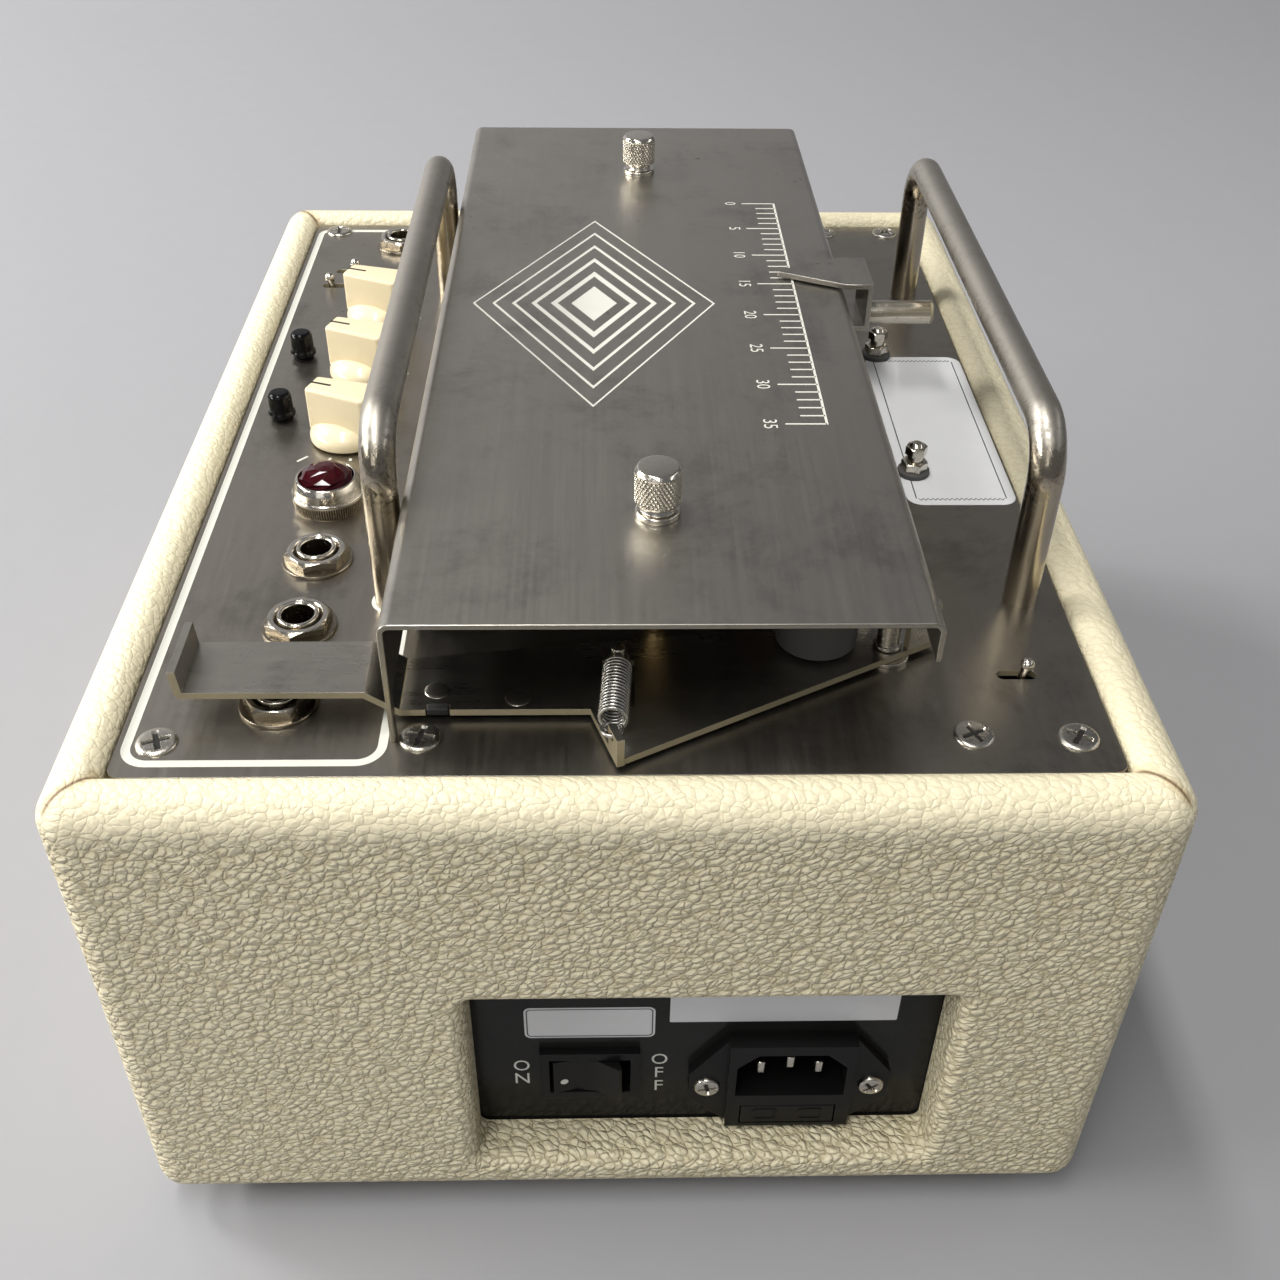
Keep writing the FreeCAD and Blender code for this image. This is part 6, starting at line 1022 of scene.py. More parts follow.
class TAPE_ECHO_OT_deck(TapeEchoOperator, bpy.types.Operator):
    """Deck plate with its print and label"""

    bl_idname = "tape_echo.deck"
    bl_label = "Deck"

    def execute(self, context):
        eased_copy("deck_sheet", "deck_plate", "chassis", ["deck_steel", "cut_edge"],
                   size("sheet_edge"), 2, 1.4, upright)
        low, high = printed(DECK)
        lines = Piece("deck_print")
        self.control_border(lines, low, high)
        lines.ring(band(circle(4.9, 48, 79.7, -52.0), circle(4.0, 48, 79.7, -52.0), low, high))
        for x in KNOBS.values():
            self.dial(lines, np.array((x, KNOBS_Y)), low, high)
        lines.make("chassis", ["print"])
        self.label(low, high)
        return {"FINISHED"}

    def control_border(self, lines, low, high):
        """The line round the controls, its corners further in by its width."""
        width, rounds = size("border"), np.array([6.0, 4.5, 4.0, 6.0])
        corners = np.array([(134.5, -47.65), (-133.4, -47.65), (-133.4, -101.35), (134.5, -101.35)])
        inwards = np.array([(-1, -1), (1, -1), (1, 1), (-1, 1)])
        lines.ring(band(rounded(corners, rounds, 10),
                        rounded(corners + width * inwards, rounds - width, 10), low, high))

    def dial(self, lines, middle, low, high):
        """Eleven marks round a knob, the first and the last longer."""
        first, step, last = -137, 26.6, 10
        for mark in range(last + 1):
            angle = math.radians(first - mark * step)
            start, end = (13.7, 17.2) if mark in (0, last) else (11.3, 12.5)
            way = np.array([math.cos(angle), math.sin(angle)])
            lines.bar(middle + way * start, middle + way * end, 0.7, low, high)

    def label(self, low, high):
        """A blank label whose border is two plain lines and two zigzags."""
        label = Piece("deck_label")
        label.solid(slab(rectangle(-40, 74, 40, 102.2, 4, 8), low, high, 0.02))
        line_low, line_high = high - LINE_SINK, high + LINE_RISE
        points, swing, half_width = 37, 0.42, 0.17
        wave = np.linspace(77.0, 99.2, points)
        for end in (-37.4, 37.4):
            middle = end + swing * (np.arange(points) % 2 * 2 - 1)
            strip = np.concatenate([np.stack([middle + half_width, wave], -1),
                                    np.stack([middle - half_width, wave], -1)[::-1]])
            label.solid(slab(strip, line_low, line_high, steps=2), 1)
        for line in (76.5, 99.7):
            label.bar((-37.0, line), (37.0, line), 0.3, line_low, line_high, 1)
        label.make("chassis", ["white_label", "label_line"])


class TAPE_ECHO_OT_mains_panel(TapeEchoOperator, bpy.types.Operator):
    """Blank labels and switch lettering of the mains panel"""

    bl_idname = "tape_echo.mains_panel"
    bl_label = "Mains panel"

    def execute(self, context):
        low, high = printed(PANEL)
        labels = Piece("panel_labels")
        for outline in (rectangle(-22.6, 53.0, 8.2, 64.4, 1.6),
                        rectangle(11.6, 58.6, 65.2, 72.0, 0.4)):
            labels.solid(facing_near(slab(outline, low, high, 0.02)))
        labels.ring(facing_near(band(rectangle(-22.1, 53.5, 7.7, 63.9, 1.2),
                                     rectangle(-21.8, 53.8, 7.4, 63.6, 0.9),
                                     high - LINE_SINK, high + LINE_RISE)), 1)
        labels.make("chassis", ["white_label", "label_line"])
        words = Piece("switch_lettering")
        for text, y, z in (("O", -23.8, 42.1), ("N", -23.8, 36.9),
                           ("O", 9.5, 44.2), ("F", 9.5, 38.8), ("F", 9.5, 33.4)):
            words.word(text, 4.1,
                       lambda points, y=y, z=z: facing_near(points * (0.9, 1, 0) + (y, z, high)))
        words.make("chassis", ["print"])
        return {"FINISHED"}


class TAPE_ECHO_OT_deck_screws(TapeEchoOperator, bpy.types.Operator):
    """Oval head deck screws with cross recesses"""

    bl_idname = "tape_echo.deck_screws"
    bl_label = "Deck screws"

    def execute(self, context):
        screws = Piece("cross_head_screws")
        radius, height = 4.3, 0.75
        for number, (x, y) in enumerate(CORNER_SCREWS + FLANGE_SCREWS):
            place, angle = (x, y, DECK + 0.03), 20 + number * 37
            head = cross_head(radius, height, shank=2.0, shank_length=12.0, angle=angle)
            screws.solid(head + place)
            # painted shade: a dark cross in each head's recess
            screws.solid(cross_floor(radius, height, angle) + place, 1)
        screws.make("chassis", ["screw_nickel", "dark_line"], ["deck_screws"], sharp=40)
        return {"FINISHED"}


class TAPE_ECHO_OT_handles(TapeEchoOperator, bpy.types.Operator):
    """Bent bar handles"""

    bl_idname = "tape_echo.handles"
    bl_label = "Handles"

    def execute(self, context):
        radius, bend = size("handle"), size("bend")
        for node, y in HANDLES_Y.items():
            top = face_at(node, HIGHEST, Z) - radius
            near, far = face_at(node, HIGHEST, X) - radius, face_at(node, LOWEST, X) + radius
            path = stem([(far, y, DECK), (far, y, top), (near, y, top), (near, y, DECK)],
                        [0, bend, bend, 0], 20)
            bar = Piece(node.replace("handle", "handle_bar"))
            bar.solid(swept(circle(radius, 48), path, np.array([0.0, 1.0, 0.0])))
            bar.make("chassis", ["handle_nickel"], [node], sharp=50)
        return {"FINISHED"}


class TAPE_ECHO_OT_cover(TapeEchoOperator, bpy.types.Operator):
    """Folded tape cover with its delay scale and lozenge emblem"""

    bl_idname = "tape_echo.cover"
    bl_label = "Tape cover"

    def execute(self, context):
        eased_copy("folded_cover", "deck_cover", "chassis", ["cover_steel", "cover_edge"],
                   size("sheet_edge"), 2, 1.35, at_an_end)
        low, high = printed(COVER)
        self.scale(low, high)
        self.emblem(low, high)
        return {"FINISHED"}

    def scale(self, low, high):
        """Marks 0 to 35 along a line, every fifth longer and with its number."""
        scale = Piece("delay_scale")
        step, zero, line, marks = size("scale_unit"), -82.1, 48.9, 35
        scale.bar((zero - 0.25, line), (zero + marks * step + 0.25, line), 0.6, low, high)
        for mark in range(marks + 1):
            x, numbered = zero + mark * step, mark % 5 == 0
            scale.bar((x, line), (x, line - (9.8 if numbered else 5.9)), 0.55, low, high)
            if numbered:
                scale.word(str(mark), 3.3, lambda points, x=x: points * (1, 1, 0) + (x, 35.6, high))
        scale.make("chassis", ["print"])

    def emblem(self, low, high):
        """Nested lozenges round a solid one."""
        emblem = Piece("lozenge_emblem")
        middle = np.array([-12.4, -5.9])
        lozenge = np.array([(1.0, 0.0), (0.0, 0.58), (-1.0, 0.0), (0.0, -0.58)])
        for reach, width in ((56, 0.5), (47, 0.7), (38, 0.9), (29, 1.2), (20, 1.6)):
            emblem.ring(band(middle + lozenge * reach, middle + lozenge * (reach - width * 2.0),
                             low, high))
        emblem.solid(slab(middle + lozenge * 10.5, low, high))
        emblem.make("chassis", ["print"])


class TAPE_ECHO_OT_thumbscrews(TapeEchoOperator, bpy.types.Operator):
    """Knurled thumbscrews of the cover"""

    bl_idname = "tape_echo.thumbscrews"
    bl_label = "Thumbscrews"

    def execute(self, context):
        knurls, depth, head_radius = count("knurls"), size("knurl_depth"), 5.1

        def diamonds(angle, height):
            """Two sets of slanting grooves: the depth times the lesser of two triangle waves."""
            on_head = (height > 3.9) & (height < 10.5)
            waves = [abs((angle * knurls / FULL_TURN + slant * (height - 3.4) * 0.62) % 1 * 2 - 1)
                     for slant in BOTH_SIDES]
            return np.where(on_head, -depth * (1 - np.minimum(*waves)) * 1.2, 0 * angle)

        head = stem([(0, 11.8), (4.4, 11.8), (head_radius, 10.9), (head_radius, 3.4), (3.8, 3.4),
                     (3.4, 2.4), (3.8, 1.4), (4.9, 1.4), (4.9, 0), (1.9, 0), (1.9, -8.1),
                     (0, -8.1)],
                    [0, 0.6, 0.4, 0.5, 0.3, 0.5, 0.3, 0.5, 0.2, 0.1, 0.5, 0], 5)
        side_top, side_low, rows = 10.4, 3.95, 34
        side = np.stack([np.full(rows, head_radius), np.linspace(side_top, side_low, rows)], -1)
        profile = np.concatenate([head[head[:, 1] > side_top], side, head[head[:, 1] < side_low]])
        for node, (x, y) in THUMBSCREWS.items():
            screw = Piece(node.replace("thumbscrew", "knurled_screw"))
            screw.solid(turned(profile, x, y, COVER, knurls * 8, diamonds))
            screw.make(node, ["nickel"], [node], sharp=60)
        return {"FINISHED"}


class TAPE_ECHO_OT_knobs(TapeEchoOperator, bpy.types.Operator):
    """Pointer knobs: a domed skirt and an upright bar with a dark line at its tip"""

    bl_idname = "tape_echo.knobs"
    bl_label = "Pointer knobs"

    def execute(self, context):
        rise = np.linspace(0, math.pi / 2, 14)
        dome = np.stack([10 * np.cos(rise), 1.8 + 4.8 * np.sin(rise)], -1)
        under = stem([(0, 3.9), (6.6, 3.9), (6.6, 0.6), (10, 0.6), (10, 1.79)],
                     [0, 0.3, 0.3, 0.5, 0])
        skirt = turned(np.concatenate([under, dome[:-1], [(0, 6.6)]]), sides=96)
        outline = rounded([(3.8, -9.5), (5.3, 8.0), (2.9, 10.0), (-2.9, 10.0), (-5.3, 8.0),
                           (-3.8, -9.5)], [1.1, 2.0, 2.0, 2.0, 2.0, 1.1], 7)
        bar = slab(outline, 3.0, 15.0, 1.0, 0.2, 6)
        line = slab(rectangle(-0.42, -9.35, 0.42, -3.3, 0.15, 3), 14.9, 15.02)
        for node, x in KNOBS.items():
            knob = Piece(node.replace("knob", "pointer_knob"))
            for rings, number in ((skirt, 0), (bar, 0), (line, 1)):
                knob.solid(tilted(rings, ORIGIN, "Z", KNOB_TURN) + (x, KNOBS_Y, DECK), number)
            knob.make(node, ["cream_plastic", "dark_line"], [node], sharp=40)
        return {"FINISHED"}


class TAPE_ECHO_OT_nuts(TapeEchoOperator, bpy.types.Operator):
    """Nuts and washers of the jacks and the knob shafts"""

    bl_idname = "tape_echo.nuts"
    bl_label = "Panel nuts"

    def execute(self, context):
        nuts = Piece("hexagon_nuts")
        bore, washer_top = 4.75, 0.8
        washer = rounded([(bore, 0), (8.4, 0), (8.4, washer_top), (bore, washer_top)], 0.25, 4)
        for x, angle in zip(JACKS_X, JACK_NUTS_TURN):
            nuts.ring(hex_nut(13.3, DECK + washer_top, DECK + 3.4, bore, x, JACKS_Y, angle))
            nuts.ring(turned(washer, x, JACKS_Y, DECK, 80))
        for x in KNOBS.values():
            nuts.ring(hex_nut(10, DECK, DECK + 2.2, 3.5, x, KNOBS_Y))
        nuts.make("chassis", ["panel_nickel"], ["panel_nuts"], sharp=30)
        return {"FINISHED"}


class TAPE_ECHO_OT_jacks(TapeEchoOperator, bpy.types.Operator):
    """Jack sockets with threaded bushings"""

    bl_idname = "tape_echo.jacks"
    bl_label = "Jacks"

    def execute(self, context):
        thread = np.linspace(0, 4.6, 47)
        threaded = np.stack([4.58 + 0.12 * abs(thread * 2 % 2 - 1), thread - 1.5], -1)
        mouth = stem([(4.7, 3.1), (4.7, 3.95), (3.6, 3.95), (3.6, -24.6), (0, -24.6)],
                     [0, 0.5, 0.5, 0.3, 0], 6)
        body = stem([(0, -26.6), (8, -26.6), (8, -1.6), (4.6, -1.6)], [0, 1, 0.6, 0])
        jacks = Piece("jack_sockets")
        jacks.stems(np.concatenate([body, threaded, mouth]), [(x, JACKS_Y) for x in JACKS_X], 64)
        jacks.make("chassis", ["panel_nickel"], ["jack_bodies"], sharp=32)
        return {"FINISHED"}


class TAPE_ECHO_OT_buttons(TapeEchoOperator, bpy.types.Operator):
    """Push button caps"""

    bl_idname = "tape_echo.buttons"
    bl_label = "Push buttons"

    def execute(self, context):
        cap = stem([(0, 8.2), (2.5, 8.2), (3.15, 7.2), (3.3, 2.9), (3.7, 2.2), (3.7, 1.3),
                    (1.4, 1.3), (1.4, -5.2), (0, -5.2)],
                   [0, 1.1, 1.0, 0.6, 0.25, 0.2, 0.1, 0.2, 0], 7)
        for node in ("repeats_button", "echo_button"):
            button = Piece(node.replace("button", "button_cap"))
            button.stems(cap, [middle_of(node)[:Z]], 64)
            button.make(node, ["black_gloss"], [node], sharp=50)
        return {"FINISHED"}


class TAPE_ECHO_OT_toggles(TapeEchoOperator, bpy.types.Operator):
    """Bat levers of the toggle switches"""

    bl_idname = "tape_echo.toggles"
    bl_label = "Toggle levers"

    def execute(self, context):
        ball, tip = np.linspace(-math.pi / 2, 0.9, 12), np.linspace(-0.55, math.pi / 2, 14)
        end_radius, tip_height, pivot_depth = 1.6, 10.0, 7.0
        bat = np.concatenate([
            np.stack([end_radius * np.cos(ball), end_radius * np.sin(ball)], -1),
            [(0.9, 1.9), (0.95, 6.4), (1.10, 8.2), (1.22, 8.8)],
            np.stack([end_radius * np.cos(tip), tip_height + end_radius * np.sin(tip)], -1)])
        bat[0, 0] = bat[-1, 0] = 0
        for node, (x, y, lean) in TOGGLES.items():
            pivot = (x, y, DECK - pivot_depth)
            lever = Piece(node.replace("toggle", "bat_lever"))
            lever.solid(tilted(turned(bat, *pivot, 40), pivot, "X", lean))
            lever.make(node, ["nickel"], [node], sharp=60)
        return {"FINISHED"}


class TAPE_ECHO_OT_lamp(TapeEchoOperator, bpy.types.Operator):
    """Pilot lamp: fluted bezel and cut red jewel"""

    bl_idname = "tape_echo.lamp"
    bl_label = "Pilot lamp"

    def execute(self, context):
        x, y, _ = middle_of("lamp_bezel")
        self.bezel(x, y)
        self.jewel(x, y)
        return {"FINISHED"}

    def bezel(self, x, y):
        """A ring with a fluted foot under a bead and a tapered band."""
        flutes, depth = count("flutes"), 0.5

        def fluting(angle, height):
            """Narrow upright grooves round the lower ring."""
            on_ring = (height > 0.35) & (height < 3.45)
            groove = np.clip(abs(angle * flutes / FULL_TURN % 1 * 2 - 1) * 2.2 - 0.6, 0, 1)
            return np.where(on_ring, -depth * (1 - groove), 0 * angle)

        section = rounded([(6.6, -18), (7.4, -18), (7.4, 0), (8.7, 0), (8.75, 0.3), (8.75, 0.4),
                           (8.95, 3.4), (8.95, 3.5), (9, 4.25), (8.6, 4.4), (8.5, 4.7), (8.2, 6.5),
                           (7.5, 8.0), (6.9, 8.1), (6.6, 7.2)],
                          [0.1, 0.1, 0.1, 0.15, 0, 0, 0, 0, 0.28, 0.1, 0.1, 0.6, 0.55, 0.2, 0.3], 5)
        bezel = Piece("fluted_bezel")
        bezel.ring(turned(section, x, y, DECK, flutes * 6, fluting))
        bezel.make("chassis", ["panel_nickel"], ["lamp_bezel"], sharp=40)

    def jewel(self, x, y):
        """Rings of nine corners, each turned by half a corner from the one below: flat cuts."""
        cuts = 9
        rows = np.array([(0, 5.4), (6.75, 5.4), (6.75, 7.9), (6.1, 8.9), (4.7, 9.9), (2.6, 10.75),
                         (0, 11.0)])
        turn = np.linspace(0, FULL_TURN, cuts, endpoint=False)[None]
        turn = turn + (np.arange(len(rows)) % 2 * math.pi / cuts)[:, None]
        jewel = Piece("cut_jewel")
        jewel.solid(np.stack([x + rows[:, :1] * np.cos(turn), y + rows[:, :1] * np.sin(turn),
                              DECK + rows[:, 1:] + 0 * turn], -1))
        jewel.make("chassis", ["red_jewel"], ["lamp_jewel"], flat=True)


class TAPE_ECHO_OT_mains_fittings(TapeEchoOperator, bpy.types.Operator):
    """Rocker switch, appliance inlet, its pins, fuse drawer and screws"""

    bl_idname = "tape_echo.mains_fittings"
    bl_label = "Mains fittings"

    def execute(self, context):
        ease, plastic = size("moulding_edge"), ["black_plastic"]
        eased_copy("switch_frame", "rocker_frame", "chassis", plastic, ease * 1.2, 4)
        rocker = eased_copy("switch_rocker", "power_rocker", "power_rocker", plastic, 0.35, 3)
        self.dot(rocker, -13.5, 38.0)
        eased_copy("inlet_housing", "mains_inlet", "chassis", plastic, ease * 1.6, 4)
        eased_copy("inlet_blades", "inlet_pins", "chassis", ["nickel"], 0.45, 3)
        eased_copy("fuse_tray", "fuse_drawer", "fuse_drawer", plastic, 0.3, 3)
        screws = Piece("inlet_cross_screws")
        radius, height = 3.2, 1.1
        for y, angle in ((21.1, 12), (61.1, 40)):
            place = (PANEL + 2.62, y, 36.6)
            head = cross_head(radius, height, shank=1.7, shank_length=8.0, angle=angle)
            screws.solid(facing_near(head) + place)
            # painted shade: a dark cross in each head's recess
            screws.solid(facing_near(cross_floor(radius, height, angle)) + place, 1)
        screws.make("chassis", ["screw_nickel", "dark_line"], ["inlet_screws"], sharp=40)
        self.drawer_relief()
        return {"FINISHED"}

    def dot(self, rocker, y, z):
        """The printed dot, on the rocker's widest outward face at its left side."""
        left = [face for face in rocker.data.polygons
                if face.normal.x > 0.7 and face.center.y < y / 2 * METRES]
        face = max(left, key=lambda side: side.area)
        x = face.center.x + (face.normal.y * (face.center.y - y * METRES)
                             + face.normal.z * (face.center.z - z * METRES)) / face.normal.x
        turn = math.degrees(math.atan2(face.normal.y, face.normal.x))
        radius, low, high = 0.95, -0.05, 0.04
        flat = turned([(0, low), (radius, low), (radius, high), (0, high)], sides=32)
        disc = Piece("rocker_dot")
        disc.solid(tilted(facing_near(flat), ORIGIN, "Z", turn) + (x / METRES, y, z))
        disc.make("power_rocker", ["print"])

    def drawer_relief(self):
        """Two raised frames on the fuse drawer's front."""
        drawer = Piece("drawer_relief")
        front = face_at("fuse_drawer", HIGHEST, X)
        for low_y, high_y in ((32.4, 38.6), (43.6, 49.8)):
            drawer.ring(facing_near(band(rectangle(low_y, 25.3, high_y, 29.6, 1.2),
                                         rectangle(low_y + 0.5, 25.8, high_y - 0.5, 29.1, 0.8),
                                         front - 0.1, front + 0.16)))
        drawer.make("fuse_drawer", ["black_plastic"])


class TAPE_ECHO_OT_pinch_lever(TapeEchoOperator, bpy.types.Operator):
    """Bent pinch lever with its rivets, roller and posts"""

    bl_idname = "tape_echo.pinch_lever"
    bl_label = "Pinch lever"

    def execute(self, context):
        eased_copy("lever_sheet", "pinch_lever", "pinch_lever", ["lever_steel", "cut_edge"],
                   0.42, 3, 1.66, not_level, parting=DECK + 2.9)
        rivets = Piece("lever_rivets")
        radius, height, dome = 2.75, 0.28, np.linspace(0, math.pi / 2, 7)
        rivet = np.concatenate([np.stack([radius * np.cos(dome), height * np.sin(dome)], -1)[::-1],
                                [(radius, -0.2), (0, -0.2)]])
        rivets.stems(rivet, RIVETS, 40, DECK + 2.75)
        rivets.make("pinch_lever", ["lever_steel"])
        pad = Piece("lever_pad")
        pad.solid(slab(rectangle(118.7, -40.3, 120.8, -35.7, 0.4, 4), DECK + 1.2, DECK + 2.9, 0.3))
        pad.make("pinch_lever", ["black_rubber"])
        roller = Piece("rubber_roller")
        section = rounded([(2.05, 0), (7.6, 0), (9, 1.0), (9, 13.0), (7.8, 14), (5.4, 14),
                           (5.0, 13.2), (2.05, 13.2)], [0.2, 0.5, 0.6, 0.6, 0.5, 0.3, 0.3, 0.2], 5)
        roller.ring(turned(section, *ROLLER, face_at("pinch_roller", LOWEST, Z), 80))
        roller.make("pinch_roller", ["grey_rubber"], ["pinch_roller"])
        pins = Piece("lever_pins")
        pivot = stem([(0, 0), (5, 0), (5, 1.05), (2.5, 1.05), (2.5, 2.95), (3.1, 2.95),
                      (3.1, 3.95), (2.5, 3.95), (2.5, 15.15), (0, 15.15)],
                     [0, .1, .2, .1, .1, .2, .2, .1, .6, 0])
        pins.stems(pivot, [LEVER_PIVOT], 48)
        anchor = stem([(0, 0), (1.6, 0), (1.6, 5.6), (1.3, 6.0), (1.3, 7.2), (1.6, 7.6), (1.6, 10),
                       (0, 10)], [0, .1, .2, .3, .3, .2, .5, 0])
        pins.stems(anchor, [SPRING_POST], 40)
        pins.make("chassis", ["plated_steel"], ["lever_posts"])
        return {"FINISHED"}


class TAPE_ECHO_OT_lever_spring(TapeEchoOperator, bpy.types.Operator):
    """Extension spring between its post and the lever"""

    bl_idname = "tape_echo.lever_spring"
    bl_label = "Lever spring"

    def execute(self, context):
        level = DECK + 6.6
        start, end = np.array([*SPRING_POST, level]), np.array([*SPRING_TAB, level])
        spring = Piece("coil_spring")
        spring.solid(swept(circle(size("wire"), 10), self.path(start, end),
                           np.array([0.013, 0.021, 1.0])))
        piece = spring.make("chassis", ["spring_steel"], ["lever_spring"], sharp=60)
        piece.parent = None
        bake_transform(piece)
        return {"FINISHED"}

    def path(self, start, end):
        """The wire's middle: a circle round each end, and between them a helix, the line plus
        coil (side cos t + up sin t), all smoothed by a mean of five points."""
        along = unit(end - start)
        side = unit(np.cross(along, (0.0, 0.0, 1.0)))
        up = np.cross(side, along)
        coil, turns, loop, gap, steps = size("coil"), count("turns"), 2.1, 0.6, 36
        step = np.linspace(0, 1, steps * turns + 1)[:, None]
        turn = step * FULL_TURN * turns
        reach = np.linalg.norm(end - start) - 2 * loop - 2 * gap
        line = start + along * (loop + gap + step * reach)
        helix = line + coil * (np.cos(turn) * side + np.sin(turn) * up)
        hook_turn = np.linspace(0, 1.75 * math.pi, 26)[:, None]
        near_loop = end + loop * (-np.cos(hook_turn) * along + np.sin(hook_turn) * side)
        far_loop = start + loop * (np.cos(hook_turn) * along + np.sin(hook_turn) * side)
        path = np.concatenate([far_loop[::-1], helix[2:-2], near_loop])
        mean = np.full(5, 0.2)
        return np.stack([np.convolve(np.pad(path[:, axis], 2, "edge"), mean, "valid")
                         for axis in (X, Y, Z)], -1)


class TAPE_ECHO_OT_slider(TapeEchoOperator, bpy.types.Operator):
    """Pointer bracket of the record head with its grip"""

    bl_idname = "tape_echo.slider"
    bl_label = "Slider pointer"

    def execute(self, context):
        grip_start = 70.6
        eased_copy("pointer_bracket", "slider_pointer", "slider", ["cover_steel", "cut_edge"],
                   0.2, 2, 1.3, towards_an_end, keep=lambda points: points[:, Y] < grip_start)
        grip = stem([(0, -1.2), (3.175, -1.2), (3.175, 18), (0, 18)], [0, 0.1, 0.7, 0], 6)
        rod = Piece("slider_grip")
        rod.solid(turned(grip, sides=56)[..., [Y, Z, X]] + (-25.0, 70.5, DECK + 21.8))
        rod.make("slider", ["nickel"])
        return {"FINISHED"}


class TAPE_ECHO_OT_tape_path(TapeEchoOperator, bpy.types.Operator):
    """Turned parts of the tape path and the motor's screws"""

    bl_idname = "tape_echo.tape_path"
    bl_label = "Tape path"

    def execute(self, context):
        guides = Piece("turned_guides")
        guide = stem([(0, 0), (3.5, 0), (3.5, 10.15), (2.3, 10.15), (2.3, 17.3), (3.5, 17.3),
                      (3.5, 18.1), (0, 18.1)], [0, .3, .3, .2, .2, .2, .3, 0])
        guides.stems(guide, TAPE_GUIDES, 48)
        guides.make("chassis", ["nickel"], ["tape_guides"])
        posts = Piece("turned_posts")
        post = stem([(0, 0), (3, 0), (3, 28.7), (2.05, 28.7), (2.05, 19.7), (0, 19.7)],
                    [0, .2, .3, .2, .1, 0])
        posts.stems(post, THUMBSCREWS.values(), 48)
        posts.make("chassis", ["brass"], ["cover_posts"])
        bearing = Piece("turned_bearing")
        flanged = rounded([(2.55, -22), (5, -22), (5, 0), (6.4, 0), (6.4, 0.8), (2.55, 0.8)],
                          0.15, 4)
        bearing.ring(turned(flanged, *CAPSTAN, DECK, 56))
        bearing.make("chassis", ["brass"], ["capstan_bearing"])
        spindle = Piece("capstan_spindle")
        shaft = stem([(0, 0), (2.5, 0), (2.5, 78), (0, 78)], [0, .2, .5, 0])
        spindle.stems(shaft, [CAPSTAN], 48, 78.65)
        spindle.make("flywheel", ["plated_steel"], ["capstan"])
        self.motor_screws()
        return {"FINISHED"}

    def motor_screws(self):
        """Two flat screws under the cover and two studs with two nuts each, in rubber bushes."""
        screws, bushes = Piece("motor_studs"), Piece("rubber_bushes")
        bush = rounded([(2.1, -6.6), (4.2, -6.6), (4.2, -1.6), (2.1, -1.6)], 0.3, 4)
        lip = rounded([(2.1, 0), (4.2, 0), (4.2, 1.4), (2.1, 1.4)], 0.3, 4)
        long_stud = stem([(0, -15.6), (2, -15.6), (2, 1.4), (2, 8.4), (1.2, 9.2), (0, 9.2)],
                         [0, .3, 0, .3, .4, 0])
        flat_screw = stem([(0, -15.6), (2, -15.6), (2, -0.1), (0, -0.1)], [0, .3, .3, 0])
        for x, y in MOTOR_SCREWS:
            bushes.ring(turned(bush, x, y, DECK, 48))
            if y > middle_of("motor")[Y]:
                bushes.ring(turned(lip, x, y, DECK, 48))
                screws.stems(long_stud, [(x, y)], 40)
                screws.ring(hex_nut(6.0, DECK + 1.4, DECK + 3.9, 2.0, x, y, 14))
                screws.ring(hex_nut(5.0, DECK + 6.0, DECK + 8.3, 2.0, x, y, 31))
            else:
                screws.stems(flat_screw, [(x, y)], 40)
        screws.make("chassis", ["nickel"], ["motor_screws"], sharp=32)
        bushes.make("chassis", ["grey_rubber"], ["motor_grommets"])


# places and aims of the lamps in metres, their length, width and power in watts
LAMPS = {
    "overhead_tube": ((0.35, -0.35, 1.65), (0.0, 0.0, 0.1), 1.5, 0.14, 20.0),
    "left_tube": ((0.05, -1.62, 0.82), (0.0, 0.0, 0.1), 1.5, 0.16, 28.0),
    "right_tube": ((0.05, 1.35, 1.10), (0.0, 0.0, 0.1), 1.5, 0.14, 2.0),
    "front_tube": ((1.35, 0.0, 1.60), (0.1, 0.0, 0.1), 1.3, 0.10, 2.5),
    "front_softbox": ((1.9, -0.7, 1.1), (0.0, 0.0, 0.1), 0.9, 0.9, 3.0),
    "wall_wash": ((-1.0, -1.9, 1.9), (-2.4, -0.2, 0.7), 1.2, 0.5, 60.0),
}
LAMP_TINT = (1.0, 0.985, 0.96)
ROOM_TINT, ROOM_STRENGTH = (0.78, 0.80, 0.84, 1.0), 0.21
SENSOR_WIDTH, FOCAL_LENGTH = 36.0, 39.935
CAMERA_RIGHT = (0.02119, 0.99969, 0.01245)
CAMERA_UP = (-0.62542, 0.00354, 0.7803)
CAMERA_BACK = (0.7800, -0.02432, 0.6253)
CAMERA_PLACE = (341.579, -3.195, 337.370)


def standing(right, up, back, place):
    """The matrix of a lamp or camera that looks away from back."""
    return Matrix([[right[i], up[i], back[i], place[i]] for i in (X, Y, Z)] + [[0, 0, 0, 1]])


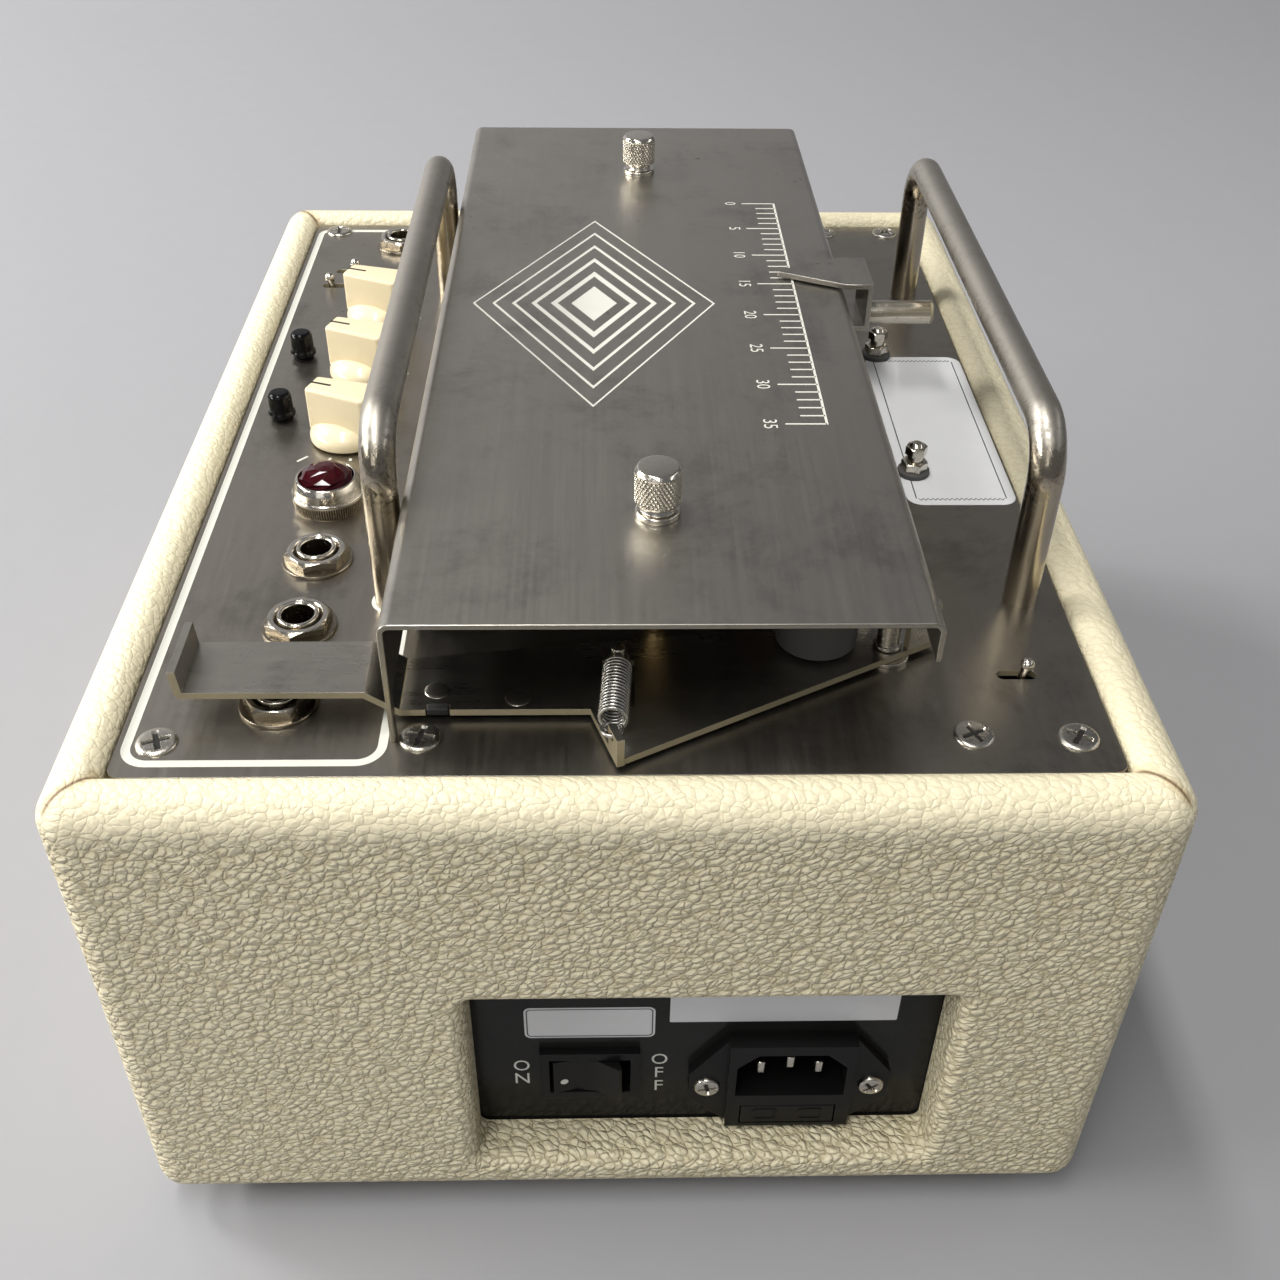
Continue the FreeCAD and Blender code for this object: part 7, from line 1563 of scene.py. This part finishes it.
class TAPE_ECHO_OT_stage(TapeEchoOperator, bpy.types.Operator):
    """Floor, lamps, soft surroundings and camera"""

    bl_idname = "tape_echo.stage"
    bl_label = "Stage"

    def execute(self, context):
        self.floor()
        for name, values in LAMPS.items():
            self.light(name, *values)
        world = bpy.data.worlds.new("studio_room")
        bpy.context.scene.world = world
        world.use_nodes = True
        background = world.node_tree.nodes["Background"].inputs
        background["Color"].default_value = ROOM_TINT
        background["Strength"].default_value = ROOM_STRENGTH
        lens = bpy.data.cameras.new("studio_camera")
        lens.sensor_width, lens.lens = SENSOR_WIDTH, FOCAL_LENGTH
        camera = bpy.data.objects.new("studio_camera", lens)
        bpy.context.scene.collection.objects.link(camera)
        camera.matrix_world = standing(CAMERA_RIGHT, CAMERA_UP, CAMERA_BACK,
                                       [part * METRES for part in CAMERA_PLACE])
        bpy.context.scene.camera = camera
        bpy.context.scene.view_settings.view_transform = "Standard"
        return {"FINISHED"}

    def floor(self):
        """A level floor that rises in a wide arc into the wall behind."""
        half_width, arc_start, arc, wall_x, wall_top = 4000.0, -900.0, 1600, -2900.0, 4200.0
        across = np.array([-half_width, half_width])
        rise = np.radians(np.linspace(0, 80, 40))
        run = np.concatenate([[half_width, arc_start], arc_start - arc * np.sin(rise), [wall_x]])
        height = np.concatenate([[0, 0], arc * (1 - np.cos(rise)), [wall_top]])
        run, height = run[:, None], height[:, None]
        floor = Piece("studio_floor")
        floor.grid(np.stack([run + 0 * across, 0 * run + across, height + 0 * across], -1),
                   loop_columns=False)
        surface = Finish("studio_floor_finish", Specular_IOR_Level=0.2)
        fleck = surface.noise(60.0, 3.0)
        surface.use(Base_Color=surface.mix(fleck, colour("floor"), colour("floor", 0.97)),
                    Roughness=0.7 + fleck * 0.1)
        mesh = floor.mesh()
        mesh.shade_smooth()
        mesh.materials.append(surface.material)
        sheet = bpy.data.objects.new("studio_floor", mesh)
        bpy.context.scene.collection.objects.link(sheet)

    def light(self, name, place, aim, length_x, width, power):
        """A flat lamp that faces its aim, its length as near to level along X as that allows."""
        lamp = bpy.data.lights.new(name, "AREA")
        lamp.shape, lamp.size, lamp.size_y = "RECTANGLE", length_x, width
        lamp.energy, lamp.color = power, LAMP_TINT
        holder = bpy.data.objects.new(name, lamp)
        bpy.context.scene.collection.objects.link(holder)
        away = unit(np.array(place) - np.array(aim))
        across = np.array((0.0, 1.0, 0.0)) if abs(away[X]) > 0.8 else np.array((1.0, 0.0, 0.0))
        side = unit(across - away * np.dot(across, away))
        holder.matrix_world = standing(side, np.cross(away, side), away, place)


OPERATORS = (
    TAPE_ECHO_OT_stage, TAPE_ECHO_OT_finishes, TAPE_ECHO_OT_cabinet, TAPE_ECHO_OT_feet,
    TAPE_ECHO_OT_deck, TAPE_ECHO_OT_mains_panel, TAPE_ECHO_OT_deck_screws, TAPE_ECHO_OT_handles,
    TAPE_ECHO_OT_cover, TAPE_ECHO_OT_thumbscrews, TAPE_ECHO_OT_knobs, TAPE_ECHO_OT_nuts,
    TAPE_ECHO_OT_jacks, TAPE_ECHO_OT_buttons, TAPE_ECHO_OT_toggles, TAPE_ECHO_OT_lamp,
    TAPE_ECHO_OT_mains_fittings, TAPE_ECHO_OT_pinch_lever, TAPE_ECHO_OT_lever_spring,
    TAPE_ECHO_OT_slider, TAPE_ECHO_OT_tape_path,
)


class TAPE_ECHO_PT_panel(bpy.types.Panel):
    """Lists the pieces of the tape echo unit"""

    bl_idname = "TAPE_ECHO_PT_panel"
    bl_label = "Tape echo unit"
    bl_space_type = "VIEW_3D"
    bl_region_type = "UI"
    bl_category = "Tape Echo"

    def draw(self, context):
        for group in (context.scene.tape_echo_sizes, context.scene.tape_echo_colours):
            column = self.layout.column(align=True)
            for name in group.__annotations__:
                column.prop(group, name)
        column = self.layout.column(align=True)
        for operator in OPERATORS:
            column.operator(operator.bl_idname)


CLASSES = (TapeEchoSizes, TapeEchoColours) + OPERATORS + (TAPE_ECHO_PT_panel,)


def register():
    for item in CLASSES:
        bpy.utils.register_class(item)
    bpy.types.Scene.tape_echo_sizes = bpy.props.PointerProperty(type=TapeEchoSizes)
    bpy.types.Scene.tape_echo_colours = bpy.props.PointerProperty(type=TapeEchoColours)


def unregister():
    del bpy.types.Scene.tape_echo_colours
    del bpy.types.Scene.tape_echo_sizes
    for item in reversed(CLASSES):
        bpy.utils.unregister_class(item)


def main():
    register()
    for operator in OPERATORS:
        getattr(bpy.ops.tape_echo, operator.bl_idname.split(".")[1])()


if __name__ == "__main__":
    main()
